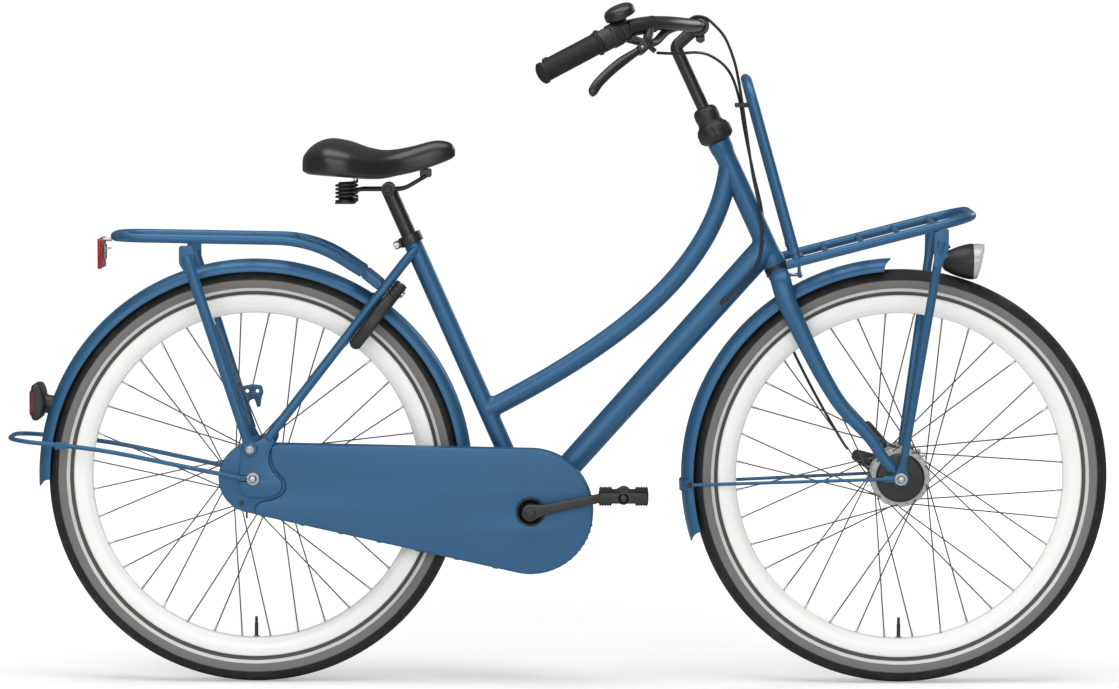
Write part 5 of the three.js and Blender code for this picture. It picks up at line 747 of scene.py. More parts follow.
def make_frame(looks):
    """Main tubes with brazed joints, the stays with their plates and the clamp on the seat tube."""
    paint = looks["paint"]
    form = Form().turned(rounded(HEAD_TUBE.profile, HEAD_TUBE.soft, 6), HEAD_BASE, STEER_UP, 64)
    form.finish("head_tube_shell", "frame", paint, ["head_tube"], "frame_paint")

    head, seat = HEAD_TOP - TOP_TUBE.below_head * STEER_UP, BRACKET + TOP_TUBE.up_seat * SEAT_UP
    curve = bezier(head, head - TOP_TUBE.fall_pull * heading(TOP_TUBE.fall),
                   seat + TOP_TUBE.rise_pull * heading(TOP_TUBE.rise), seat, 90)
    form = Form().tube(curve, TOP_TUBE.radius, sides=40)
    form.fillet(curve[-8], curve[-1] - curve[-8], TOP_TUBE.radius, BRACKET, SEAT_UP, SEAT_TUBE.radius, 6)
    form.finish("top_tube_sweep", "frame", paint, ["top_tube"], "frame_paint")

    end = HEAD_BASE + DOWN_TUBE.up_head * STEER_UP
    form = Form().tube(np.linspace(BRACKET, end, 24), np.linspace(DOWN_TUBE.low, DOWN_TUBE.high, 24),
                       sides=44)
    line, joint = unit(end - BRACKET), DOWN_TUBE.joint * unit(end - BRACKET)
    form.fillet(end - joint, line, DOWN_TUBE.joint_high, HEAD_BASE, STEER_UP, HEAD_TUBE.radius, 7)
    form.fillet(BRACKET + joint, -line, DOWN_TUBE.joint_low, BRACKET, SIDE, BRACKET_SHELL.radius, 6)
    form.finish("down_tube_shell", "frame", paint, ["down_tube"], "frame_paint")

    form = Form().tube(np.linspace(BRACKET, SEAT_TOP, 12), SEAT_TUBE.radius, sides=40, edge=0.8)
    form.turned(rounded(BRACKET_SHELL.profile, BRACKET_SHELL.soft), BRACKET, SIDE, 56)
    form.fillet(BRACKET + DOWN_TUBE.joint * SEAT_UP, -SEAT_UP, SEAT_TUBE.radius, BRACKET, SIDE,
                BRACKET_SHELL.radius, 6)
    form.finish("seat_tube_and_shell", "frame", paint, ["seat_tube"], "frame_paint")

    make_stays(looks)
    make_clamp(looks)


def dropout_outline():
    """The plate's outline with its axle slot cut in from behind."""
    lip, back = DROPOUT_SLOT.lip, DROPOUT[0][0]
    slot = [[back, AXLE_Z + lip], [lip, AXLE_Z + lip], [lip, AXLE_Z - lip], [back, AXLE_Z - lip]]
    corner, mouth = DROPOUT_SLOT.corner, DROPOUT_SLOT.mouth
    radii = [DROPOUT_SLOT.plate_corner] * len(DROPOUT) + [mouth, corner, corner, mouth]
    return rounded([*DROPOUT, *slot], radii, 6)


def seat_stay_points(side):
    foot, top = mirrored(SEAT_STAY.foot, side), mirrored(SEAT_STAY.top, side)
    knee = foot + SEAT_STAY.knee_share * (top - foot)
    knee[1] = side * SEAT_STAY.knee_aside
    return np.array([foot, knee, top])


def make_stays(looks):
    form = Form()
    for side in SIDES:
        front, rear = mirrored(CHAIN_STAY.front, side), mirrored(CHAIN_STAY.rear, side)
        form.tube(np.linspace(rear, front, 10), CHAIN_STAY.radius, sides=28, edge=2.0)
        form.block(mirrored(CHAIN_STAY.plate_at, side), CHAIN_STAY.plate, 2.0, corner=6)
        low, high = sorted((side * (REAR_FACE - PLATE), side * REAR_FACE))
        form.plate([dropout_outline()], -high, -low, 1.0)
        form.fillet(rear + 0.8 * (front - rear), front - rear, CHAIN_STAY.radius, BRACKET, SIDE,
                    BRACKET_SHELL.radius, 3)
    form.rod(mirrored(CHAIN_STAY.bridge), mirrored(CHAIN_STAY.bridge, 1), CHAIN_STAY.bridge_radius)
    stand_lug(form)
    form.finish("chain_stays_and_plates", "frame", looks["paint"], ["chain_stays"], "frame_paint")

    form = Form()
    for side in SIDES:
        points = [*seat_stay_points(side), mirrored(SEAT_TUBE.stay_entry, side)]
        form.tube(densified(filleted(points, SEAT_STAY.bend), 20), SEAT_STAY.radius, sides=32, edge=4)
    form.rod(seat_stay_points(-1)[1], seat_stay_points(1)[1], SEAT_STAY.bridge_radius)
    form.finish("seat_stays_and_bridge", "frame", looks["paint"], ["seat_stays"], "frame_paint")


def stand_lug(form):
    """Round lug at the stand's pivot, held by a short arm from the left chain stay."""
    face, back = STAND_PIVOT - STAND_LUG.gap * STAND_OUT, -STAND_LUG.thickness * STAND_OUT
    form.rod(face + back, face, STAND_LUG.radius, 40, 1.0)
    form.rod(face + back, STAND_PIVOT + STAND_LUG.gap * STAND_OUT, STAND_LUG.pin, 20)
    front, rear = np.array(CHAIN_STAY.front), np.array(CHAIN_STAY.rear)
    stay = front + (front[0] - STAND_PIVOT[0]) / (front[0] - rear[0]) * (rear - front)
    middle = (stay + face) / 2 - STAND_LUG.lift * STAND_OUT
    form.tube([stay, middle, face - STAND_LUG.sink * STAND_OUT], STAND_LUG.arm, UP, 24, 1.0)


def make_clamp(looks):
    form = Form()
    base, back = SEAT_TOP - CLAMP.below_top * SEAT_UP, np.array([-SEAT_UP[2], 0, SEAT_UP[0]])
    form.turned(rounded(CLAMP.ring, CLAMP.soft), base, SEAT_UP, 56)
    middle = base + CLAMP.height * SEAT_UP
    for side in SIDES:
        form.block(middle + CLAMP.ear_back * back + side * CLAMP.ear_aside * SIDE, CLAMP.ear, 1.5, corner=5,
                   across=back, above=SEAT_UP)
    pin = middle + CLAMP.pin_back * back
    form.rod(pin - CLAMP.pin_half * SIDE, pin + CLAMP.pin_half * SIDE, CLAMP.pin_radius, 20, finish=1)
    form.turned(filleted(CLAMP.pin_head, 0.4, 3), pin, -SIDE, 28, 1)
    form.finish("seat_clamp_ring", "frame", [looks["enamel"], looks["steel"]], ["seat_clamp"], "black_parts")


# Fork, axles and brake
BLADE = Sizes(
    shares=[[0.06, 0.12], [0.135, 0.221], [0.37, 0.505], [0.522, 0.65], [0.735, 0.79], [0.88, 0.915],
            [0.935, 0.955]],
    aside=44.0, spread=9.3, steps=150, wide=18.5, thick=11.0, foot_wide=9.0, foot_thick=6.0,
)
CROWN_ARCH = Sizes(shoulder=37, shoulder_drop=7, inner=24)
STEERER = Sizes(radius=14.4, past_head=45,
                race=[[14.6, -14], [22.5, -14], [21.5, -9.3], [21.5, -0.3], [14.6, -0.3]])
FORK_TIP = Sizes(
    radius=15.0, first=-63, last=243, step=9, neck=8.0, neck_start=6.0, neck_end=3.4,
    slot=[[-5.4, -13.6], [-5.4, 2.6], [-3, 5.4], [3, 5.4], [5.4, 2.6], [5.4, -13.6]],
)
AXLE = Sizes(radius=4.9, past=14, nut=8.4, nut_height=7.6,
             cap=[[0, 6], [6.4, 6], [6.0, 10.4], [4.4, 12.8], [0, 13.8]])
BRAKE = Sizes(
    radius=54.6, fin=3.4, fins=24, bore=28, low=-38.2, high=-32.0, hole=3.1, hole_ring=48,
    drum=[[5.7, 31], [44, 31], [44, 41.6], [41, 44.6], [10, 44.6], [10, 49.6], [5.7, 49.6]],
    arms=((156, 88, 9), (124, 108, 10)), arm_root=22, arm_root_half=20, arm_low=-42.4, arm_high=-39.0,
)


def fork_blade(side, run, drop):
    """Place on a blade's line, as shares of the way forward and down from the crown to the axle."""
    return np.array([CROWN[0] + run * (FRONT_AXLE[0] - CROWN[0]), side * (BLADE.aside + drop * BLADE.spread),
                     CROWN[2] + drop * (AXLE_Z - CROWN[2])])


def blade_places(side):
    """Half of the arch, from the foot of one blade to the crown."""
    up_blade = [fork_blade(side, *share) for share in BLADE.shares[::-1]]
    shoulder = CROWN - CROWN_ARCH.shoulder_drop * STEER_UP + side * CROWN_ARCH.shoulder * SIDE
    return [*up_blade, shoulder, CROWN + side * CROWN_ARCH.inner * SIDE]


def make_fork(looks):
    """Both blades and the crown are one oval section carried over an arch."""
    path = smooth_path([*blade_places(-1), CROWN, *blade_places(1)[::-1]], BLADE.steps)
    towards_foot = np.abs(2 * np.linspace(0, 1, BLADE.steps) - 1)
    wide = BLADE.wide + (BLADE.foot_wide - BLADE.wide) * towards_foot
    thick = BLADE.thick + (BLADE.foot_thick - BLADE.thick) * towards_foot
    section = circle(36, 1.0) * np.stack([wide, thick], 1)[:, None]
    form = Form().surface(carried(path, section, STEER_FORWARD))
    form.turned(rounded(STEERER.race, 0.8, 3), HEAD_BASE, STEER_UP, 56, 1)
    foot = HEAD_BASE + ((CROWN - HEAD_BASE) @ STEER_UP) * STEER_UP
    form.tube(np.linspace(foot, HEAD_TOP + STEERER.past_head * STEER_UP, 6), STEERER.radius, sides=36,
              finish=1)
    arc = FORK_TIP.radius * polar(np.radians(np.arange(FORK_TIP.first, FORK_TIP.last + 1, FORK_TIP.step)))
    for side in SIDES:
        low, high = sorted((-side * (FRONT_FACE - PLATE), -side * FRONT_FACE))
        form.plate([[*arc, *FORK_TIP.slot]], low, high, 1.0, FRONT_AXLE)
        end = fork_blade(side, *BLADE.shares[-1])
        beside = FRONT_AXLE + end[1] * SIDE
        form.rod(end, beside + FORK_TIP.neck * unit(end - beside), FORK_TIP.neck_start, 24, 1,
                 FORK_TIP.neck_end)
    form.finish("fork_blades", "steering", [looks["paint"], looks["dark"]], ["fork"], "frame_paint")


def axle_set(name, body, centre, outer, looks):
    """Axle with a nut and a cap at each end, outside everything that it holds."""
    form = Form()
    reach = (outer + FIT + AXLE.past) * SIDE
    form.rod(centre - reach, centre + reach, AXLE.radius, 24, 0.8)
    for side in SIDES:
        face, out = centre + side * (outer + FIT) * SIDE, side * SIDE
        form.hex_bolt(face, out, AXLE.nut, AXLE.nut_height)
        form.turned(filleted(AXLE.cap, 0.8, 3), face, out, 28)
    form.finish(f"{name}_nuts", body, looks["steel"], [name], "bright_metal")


def make_brake(looks):
    """Finned disc and drum of the hub brake, with its two reaction arms."""
    turn = np.arange(12 * BRAKE.fins) * TURN / (12 * BRAKE.fins)
    outer = (BRAKE.radius + BRAKE.fin * np.tanh(4 * np.sin(BRAKE.fins * turn)))[:, None] * polar(turn)
    holes = [ring_outline(BRAKE.hole, 14, BRAKE.hole_ring * polar(a)) for a in turn[::12]]
    form = Form().plate([outer, ring_outline(BRAKE.bore, 72), *holes], BRAKE.low, BRAKE.high, 0.6, FRONT_AXLE)
    form.turned(filleted(BRAKE.drum, 0.8, 3), FRONT_AXLE, SIDE, 96, 1)
    for degrees, reach, half in BRAKE.arms:
        along = polar(np.radians(degrees))
        across = np.array([-along[1], along[0]])
        root, tip = BRAKE.arm_root * along, reach * along
        arm = [root - BRAKE.arm_root_half * across, tip - half * across, tip + half * across,
               root + BRAKE.arm_root_half * across]
        form.plate([rounded(arm, 8, 6)], BRAKE.arm_low, BRAKE.arm_high, 0.8, FRONT_AXLE, finish=1)
    form.finish("front_brake_disc", "steering", [looks["bright"], looks["plastic"]],
                ["front_brake_unit"], "bright_metal")


# Fenders and the rear guard
FENDER = Sizes(
    half_width=29.5, inner_half=27.9, depth=20, wall=1.6, slant=2.2,
    bead=[[29.5, -20.6], [28.6, -22.0], [27.4, -21.2]],
    post=7.0, post_sink=3, washer=[[0, -1], [13, -1], [12, 1.6], [0, 2.0]],
)
REAR_FENDER = Sizes(radius=379.0, back=183.0, front=-8.0, post_gap=7.3)
FRONT_FENDER = Sizes(radius=381.0, back=197.5, front=92.5, post_gap=12.4)
STRAP = Sizes(half_width=32.0, inner_share=30 / 32, lift=3.4, wall=1.9, degrees=182.2,
              rows=[1.5, 1.2, 0, -1.2, -1.5])
FENDER_ROD = Sizes(radius=3.0, foot=-10, neck=-20, end=[-366, 31.2, -14], bolt=3.6, bolt_height=2.6,
                   tab=[24, 2.9, 11], tab_at=-19)
LOOP = Sizes(
    radius=4.0, half=[[-16, 71.1, AXLE_Z], [-267, 81, AXLE_Z + 52], [-426, 81, AXLE_Z + 68]], bend=60,
    eye=9.3,
    tab=[29, 3.4, 9.4], tab_at=[-23, 0.6], strap=[20, 3, 13], strap_at=[-333, 83.4, 419.5],
    foot=(-8.6, -20), foot_radius=3.9, foot_share=0.34,
)


def arch(half_width, steps):
    """A fender's section: W sin t aside and D (cos^0.8 t - 1) up, with the cosine of each step."""
    t = np.linspace(-1, 1, steps) * np.pi / 2
    return half_width * np.sin(t), FENDER.depth * (np.clip(np.cos(t), 0, 1)**0.8 - 1), np.cos(t)


def about_axle(centre, radius, aside, turn):
    """P(a, s) = centre + r(s) (cos a, 0, sin a) + y(s) Y; the turn may differ along the section too."""
    return centre + radius[:, None] * wheel_point(np.zeros(3), 1.0, turn) + aside[:, None] * SIDE


def fender(name, body, centre, size, looks, post_end):
    """An arched sheet with beaded edges and slanted ends, and the post that holds it."""
    aside, rise, cosine = arch(FENDER.half_width, 33)
    bead_aside, bead_rise = np.array(FENDER.bead).T
    inner = aside[::-1] * (FENDER.inner_half / FENDER.half_width)
    section_aside = np.concatenate([aside, bead_aside, inner, -bead_aside[::-1]])
    section_rise = np.concatenate([rise, bead_rise, (rise - FENDER.wall * cosine**0.5)[::-1],
                                   bead_rise[::-1]])
    share = np.linspace(0, 1, 150)[:, None]
    ends = FENDER.slant * (np.abs(section_aside) / FENDER.half_width)**2
    turn = (size.back - ends) * (1 - share) + (size.front + ends) * share
    form = Form().surface(about_axle(centre, size.radius + section_rise, section_aside, turn))
    towards = unit(post_end - centre)
    form.rod(centre + (size.radius - FENDER.post_sink) * towards, post_end, FENDER.post, 28, 0.6)
    form.turned(FENDER.washer, centre + size.radius * towards, towards, 36)
    form.finish(f"{name}_guard", body, looks["paint"], [name], "frame_paint")


def make_fenders(looks):
    bridge = seat_stay_points(1)[1] * (1, 0, 1)
    fender("rear_fender", "frame", REAR_AXLE, REAR_FENDER, looks,
           bridge - REAR_FENDER.post_gap * unit(bridge - REAR_AXLE))
    fender("front_fender", "steering", FRONT_AXLE, FRONT_FENDER, looks,
           CROWN - FRONT_FENDER.post_gap * unit(CROWN - FRONT_AXLE))
    make_fender_stay(looks)
    make_loop(looks)


def make_fender_stay(looks):
    """Strap over the fender and a thin rod from each of its sides to the axle."""
    aside, rise, _ = arch(STRAP.half_width, 25)
    section_aside = np.concatenate([aside, aside[::-1] * STRAP.inner_share])
    section_rise = np.concatenate([rise, rise[::-1] - STRAP.wall])
    turn = (STRAP.degrees + np.array(STRAP.rows))[:, None]
    form = Form().surface(about_axle(FRONT_AXLE, FRONT_FENDER.radius + STRAP.lift + section_rise,
                                     section_aside, turn))
    for side in SIDES:
        middle = side * (FRONT_FACE + FIT + STRUT.foot + FIT + EYE.thickness / 2)
        end = FRONT_AXLE + mirrored(FENDER_ROD.end, side)
        places = [FRONT_AXLE + [FENDER_ROD.foot, middle, 0], FRONT_AXLE + [FENDER_ROD.neck, middle, 0], end]
        form.tube(places, FENDER_ROD.radius, UP, 20, 0.5)
        axle_eye(form, FRONT_AXLE, 9, middle)
        form.hex_bolt(end + [0, side * FENDER_ROD.bolt_height, 0], side * SIDE, FENDER_ROD.bolt,
                      FENDER_ROD.bolt_height, 1)
        form.block(FRONT_AXLE + [FENDER_ROD.tab_at, middle, 0], FENDER_ROD.tab, 1.0, 0, 3)
    form.finish("front_fender_rod", "steering", [looks["paint"], looks["dark"]],
                ["front_fender_stay"], "frame_paint")


def axle_eye(form, centre, radius, middle):
    """Flat ring that an axle passes through."""
    rings, half = [ring_outline(radius, 40), ring_outline(EYE.bore, 24)], EYE.thickness / 2
    form.plate(rings, -middle - half, -middle + half, EYE.edge, centre)


def make_loop(looks):
    """Bent rod round the back of the rear wheel, with its eyes, tabs and straps."""
    path = filleted([*mirrored(LOOP.half), *LOOP.half[::-1]], LOOP.bend, 14)
    form = Form().tube(densified(path, 25), LOOP.radius, UP, 24, 0.6)
    for side in SIDES:
        middle = side * (REAR_FACE + FIT + EYE.thickness / 2)
        axle_eye(form, REAR_AXLE, LOOP.eye, middle)
        form.block(REAR_AXLE + [LOOP.tab_at[0], middle, LOOP.tab_at[1]], LOOP.tab, 1.0, 0, 3)
        form.block(mirrored(LOOP.strap_at, side), LOOP.strap, 1.0, 0, 3)
        form.tube([REAR_AXLE + [x, middle, 0] for x in LOOP.foot], LOOP.foot_radius, UP, 20, 1.0,
                  section=circle(20, LOOP.foot_share, 1.0))
    form.finish("rear_guard_loop", "frame", looks["paint"], ["rear_fender_loop"], "frame_paint")


# Drive
CASE = Sizes(
    front=109, rear=61, low=33.0, high=61.8, edge=3.0, crank_hole=23, step_low=58.0, step_high=68.0,
    step_edge=4.5,
    sheet=31.2, belt_steps=60, longest=8,
    # The next two pieces are painted shade: a thin black disc for a small hole in the cover and a thin black
    # block for a notch.
    plug=[[0, 0], [4.4, 0], [4.2, 0.5], [0, 0.5]], plug_at=[-20.4, -61.8, 318],
    notch=[3.6, 0.8, 11], notch_at=[-11.7, -61.9, 297],
    seal=[[21, -67.6], [23.4, -68.4], [25, -67.2], [25, -64], [21, -64]],
    clips=7, clip=[9, 9, 4.2], clip_along=4.5, clip_below=0.8, clip_y=-46.5,
    lugs=15, lug=[3.6, 9, 2.8], lug_reach=109.2, lug_first=-100, lug_step=6.2,
)
STEP_LINE = [[2, 289], [3, 312], [14, 321], [30, 324.5], [46, 331], [55, 344], [54, 356], [46, 367],
             [37, 377],
             [32, 389], [30, 402], [31, 414], [38, 428], [46, 441], [50, 461]]
CRANK = Sizes(
    length=165.2, rise=12, inner=75, outer=87.5, waist=8.8, taper=1.2, boss=5.4, boss_fade=16, eye_swell=4,
    eye_fade=14, eye=13, boss_radius=15, pin=4.9, pin_end=184,
    cap=[[0, 0], [10.2, 0], [9.6, 1.6], [6, 2.6], [0, 2.8]],
    cap_at=87.4, axle=8.6, axle_end=80.9,
    spider=[[8.9, -76], [14.6, -76], [17, -60], [17, -50], [34, -48.5], [34, -44], [8.9, -44]],
)
CHAINRING = Sizes(teeth=38, pitch=12.7, tooth=2.6, bore=33, low=44.0, high=47.0)
PEDAL = Sizes(
    inner=92.5, outer=176.5, barrel=9.8, end_plate=[84, 5, 18], end_inset=2.5, hub=11, hub_half=2.4,
    # The next size is for thin dark slabs on the end plates, painted shade of two recessed slots in each.
    lamp=[17, 1.4, 6], lamp_at=(26, 2.2), rubber=[23.6, 78, 20], rubber_at=31,
    ribs=9, rib=[23.0, 4.6, 24.6], rib_step=8.0, rails=5, rail=[2.4, 80, 26.4], rail_step=4.6,
    reflector=[1.4, 44, 12], reflector_at=42.4, cap=6.4, cap_inset=0.5, cap_out=1.5,
)
STAND = Sizes(radius=7.0, length=296, hub=14, hub_half=7.5, bolt=6, bolt_height=3, shoe=30,
              shoe_radii=[7.4, 8.6, 9.3, 9.5, 9.5, 9.4, 9.0, 8.0])


def belt_outline(front, rear):
    """Two circles wrapped by a belt, in X and Z, from the top of the front one round to the rear."""
    line = (BRACKET - REAR_AXLE)[[0, 2]]
    tilt, spread = np.arctan2(line[1], line[0]), np.arccos((rear - front) / np.linalg.norm(line))
    share = np.linspace(0, 1, CASE.belt_steps)
    first = tilt + spread * (1 - 2 * share)
    second = tilt - spread - (TURN - 2 * spread) * share
    return np.vstack([BRACKET[[0, 2]] + front * polar(first), REAR_AXLE[[0, 2]] + rear * polar(second)])


def raised_outline(whole):
    """The case's outline in front of the step line, closed along that line."""
    edge = smooth_path(STEP_LINE, 90)
    raised = whole[whole[:, 0] > np.interp(whole[:, 1], edge[:, 1], edge[:, 0]) + 1.0]
    gap = np.argmax(np.linalg.norm(np.diff(np.vstack([raised, raised[:1]]), axis=0), axis=1))
    raised = np.roll(raised, -gap - 1, 0)
    top, bottom = raised[0], raised[-1]
    inner = edge[(edge[:, 1] < top[1] - 1) & (edge[:, 1] > bottom[1] + 1)]
    return np.vstack([raised, inner])


def make_case(looks):
    """Cover with a pressed step round the plate of the stays, a rolled rim and a seal at the crank."""
    belt = belt_outline(CASE.front, CASE.rear)
    whole = densified(np.vstack([belt, belt[:1]]), CASE.longest)[:-1]
    crank = ring_outline(CASE.crank_hole, 72, (BRACKET[0], BRACKET[2]))
    form = Form().plate([whole, crank], CASE.low, CASE.high, CASE.edge, steps=6)
    form.plate([raised_outline(whole), crank], CASE.step_low, CASE.step_high, CASE.step_edge, steps=7)
    # Painted shade: a thin black disc where the cover has a small hole, and a thin black block where it has a
    # notch.
    form.turned(CASE.plug, CASE.plug_at, -SIDE, 24, 1)
    form.block(CASE.notch_at, CASE.notch, 0.3, 1, 1)
    form.turned(rounded(CASE.seal, 0.8, 3), BRACKET, SIDE, 72, 1)
    start, end = belt[CASE.belt_steps - 1], belt[CASE.belt_steps]
    along = unit(end - start)
    below = np.array([-along[1], along[0]])
    for number in range(CASE.clips):
        middle = start + (number + 0.5) / CASE.clips * (end - start)
        x, z = middle + CASE.clip_along * along + CASE.clip_below * below
        form.block([x, CASE.clip_y, z], CASE.clip, 1.0, across=np.array([along[0], 0, along[1]]),
                   above=np.array([below[0], 0, below[1]]))
    for number in range(CASE.lugs):
        out = wheel_point(np.zeros(3), 1.0, CASE.lug_first + CASE.lug_step * number)
        form.block(BRACKET + CASE.lug_reach * out + CASE.clip_y * SIDE, CASE.lug, 0.7, 0, 0.9,
                   np.cross(SIDE, out),
                   out)
    form.finish("chaincase_shell", "frame", [looks["paint"], looks["plastic"]],
                ["chaincase_cover"], "frame_paint")
    form = Form().plate([whole], CASE.sheet, CASE.low, 0.6)
    form.finish("chaincase_rear_sheet", "frame", looks["paint"], ["chaincase_back"], "frame_paint")


def crank_arm(form, side, along, above):
    """Tapered arm with a boss at the axle, an eye at the pedal and the pedal's pin."""
    low, high = sorted((-side * CRANK.inner, -side * CRANK.outer))
    x = np.linspace(0, CRANK.length, 40)
    swell = CRANK.boss * np.exp(-(x / CRANK.boss_fade)**2)
    swell += CRANK.eye_swell * np.exp(-((CRANK.length - x) / CRANK.eye_fade)**2)
    waist = CRANK.waist - CRANK.taper * x / CRANK.length + swell
    turn = np.linspace(-np.pi / 2, np.pi / 2, 16)
    eye = CRANK.eye * polar(turn) + (CRANK.length, 0)
    boss = -CRANK.boss_radius * polar(turn)
    outline = np.vstack([np.stack([x, -waist], 1)[4:-3], eye, np.stack([x, waist], 1)[-4:4:-1], boss])
    form.plate([outline], low, high, 2.6, BRACKET, along, above, steps=6)
    tip = BRACKET + CRANK.length * along
    form.rod(tip + side * CRANK.inner * SIDE, tip + side * CRANK.pin_end * SIDE, CRANK.pin, 24, 1)
    form.turned(filleted(CRANK.cap, 0.6, 3), BRACKET + side * CRANK.cap_at * SIDE, side * SIDE, 40, 2)


def make_cranks(looks):
    """Right arm with its chainring, left arm with the axle, and the pedals at their ends."""
    along = heading(CRANK.rise)
    above = np.cross(along, SIDE)
    blacks = [looks["enamel"], looks["steel"], looks["plastic"]]
    form = Form()
    crank_arm(form, -1, along, above)
    form.turned(rounded(CRANK.spider, 1, 3), BRACKET, SIDE, 56)
    steps = 2 * CHAINRING.teeth
    tooth = np.where(np.arange(steps) % 2 == 0, CHAINRING.tooth, -CHAINRING.tooth)
    radius = CHAINRING.pitch / (2 * np.sin(np.pi / CHAINRING.teeth)) + tooth
    teeth = radius[:, None] * polar(np.arange(steps) * TURN / steps)
    form.plate([teeth, ring_outline(CHAINRING.bore, 48)], CHAINRING.low, CHAINRING.high, 0.4, BRACKET, along,
               above, 1)
    form.finish("crank_right_arm", "crank_set", blacks, ["crank_right"], "black_parts")
    form = Form()
    crank_arm(form, 1, -along, -above)
    form.rod(BRACKET + CRANK.inner * SIDE, BRACKET - CRANK.axle_end * SIDE, CRANK.axle, 36, finish=1)
    form.finish("crank_left_arm", "crank_set", blacks, ["crank_left"], "black_parts")
    for name, side in RIGHT_AND_LEFT:
        pedal(name, side, BRACKET - side * CRANK.length * along, looks)


def pedal(name, side, centre, looks):
    """Two ribbed rubber blocks held between end plates on a barrel."""
    inner, outer = side * PEDAL.inner, side * PEDAL.outer
    middle = (inner + outer) / 2
    form = Form().rod(centre + inner * SIDE, centre + outer * SIDE, PEDAL.barrel, 32, 1)
    for face in (inner + side * PEDAL.end_inset, outer - side * PEDAL.end_inset):
        form.block(centre + face * SIDE, PEDAL.end_plate, 1.2, 0, 7)
        form.rod(centre + (face - PEDAL.hub_half) * SIDE, centre + (face + PEDAL.hub_half) * SIDE, PEDAL.hub,
                 32, 1)
        # Two thin dark slabs on each end plate: painted shade of recessed slots.
        for way in SIDES:
            x, y = PEDAL.lamp_at
            form.block(centre + [way * x, face + side * y, 0], PEDAL.lamp, 0.5, 3, 2.5)
    for way in SIDES:
        block = centre + [way * PEDAL.rubber_at, middle, 0]
        form.block(block, PEDAL.rubber, 1.5, 1, 5)
        for number in range(PEDAL.ribs):
            form.block(block + [0, (number - PEDAL.ribs // 2) * PEDAL.rib_step, 0], PEDAL.rib, 1.0, 1, 4)
        for number in range(PEDAL.rails):
            form.block(block + [(number - PEDAL.rails // 2) * PEDAL.rail_step, 0, 0], PEDAL.rail, 0.6, 1, 0.9)
        form.block(centre + [way * PEDAL.reflector_at, middle, 0], PEDAL.reflector, 0.5, 2)
    form.rod(centre + (outer - side * PEDAL.cap_inset) * SIDE, centre + (outer + side * PEDAL.cap_out) * SIDE,
             PEDAL.cap, 28, 0.8)
    form.finish(f"pedal_{name}_block", f"{name}_pedal",
                [looks[key] for key in ("plastic", "rubber", "reflex", "dark")], [f"pedal_{name}"],
                "black_parts")


def make_stand(looks):
    """Hub at the pivot, leg and rubber shoe."""
    form = Form()
    hub_end = STAND.hub_half * STAND_AXIS
    form.rod(STAND_PIVOT - hub_end, STAND_PIVOT + hub_end, STAND.hub, 48, 1.4)
    form.hex_bolt(STAND_PIVOT + STAND.hub_half * STAND_OUT, STAND_OUT, STAND.bolt, STAND.bolt_height, 1)
    end = STAND_PIVOT + STAND.length * STAND_BACK
    form.tube(np.linspace(STAND_PIVOT, end, 12), STAND.radius, SIDE, 28, 1)
    form.tube(np.linspace(end - STAND.shoe * STAND_BACK, end, 8), STAND.shoe_radii, SIDE, 28, 2, 1)
    form.finish("side_stand_leg", "side_stand", [looks["enamel"], looks["rubber"]], ["kickstand"],
                "black_parts")


# Carriers
STRUT = Sizes(foot=5.0, half=12.5, drop=14, toe=46, toe_half=6.5, neck=26, eye=12)
DECK_RADIUS = 8.0
REAR_DECK = np.array([[190, 64, 719], [103, 84, 775], [-241, 84, 781]], float)
DECK_BACK, DECK_FRONT = np.array([921.0, 0, 737.0]), np.array([1250.0, 0, 822.0])
DECK_ALONG = unit(DECK_FRONT - DECK_BACK)


def strut(form, top, foot, foot_face, side, aside, deck_line, broad=1.0):
    """Carrier stay: pressed bracket under the deck, tube and a flattened foot with its bolt."""
    x, z = top
    top = np.array([x, side * aside, z])
    down = unit([foot[0] - x, 0, foot[2] - z])
    neck = np.array([foot[0], side * (foot_face + STRUT.foot / 2), foot[2]]) - STRUT.neck * down
    form.tube(np.linspace(top, neck, 20), np.linspace(8, 6.8, 20), FORWARD, 28, 1,
              section=circle(28, broad, 0.95))
    flats = np.array([[-3, 6.6, 6.6], [8, 8.6, 3.6], [18, 10.4, 2.5], [25, 11, 2.5]])
    form.surface(carried(neck + flats[:, :1] * down, circle(24, 1.0) * flats[:, None, 1:],
                         np.cross(down, SIDE)))
    low, high = sorted((-side * foot_face, -side * (foot_face + STRUT.foot)))
    form.plate([ring_outline(STRUT.eye, 44)], low, high, 1.2, foot)
    back, front, toe, low = x - STRUT.half, x + STRUT.half, x + STRUT.toe * down[0], z + STRUT.toe * down[2]
    outline = [[back, z - STRUT.drop], [toe - STRUT.toe_half, low], [toe + STRUT.toe_half, low],
               [front, z - STRUT.drop], [front, deck_line(front)], [back, deck_line(back)]]
    form.plate([rounded(outline, 5, 5)], -side * aside - 2.5, -side * aside + 2.5, 0.9)
    for height in (-4, -24):
        form.hex_bolt([x - height * 0.3, side * (aside + 2.6), z + height], side * SIDE, 3.4, 2.0)


def rear_deck_line(_):
    """Underside of the rear deck, which is level where the struts meet it."""
    return REAR_DECK[1, 2] - DECK_RADIUS - FIT


def front_deck_line(x):
    """Underside of the sloping front deck."""
    slope = DECK_ALONG[2] / DECK_ALONG[0]
    return DECK_BACK[2] + (x - DECK_BACK[0]) * slope - DECK_RADIUS / DECK_ALONG[0] - FIT


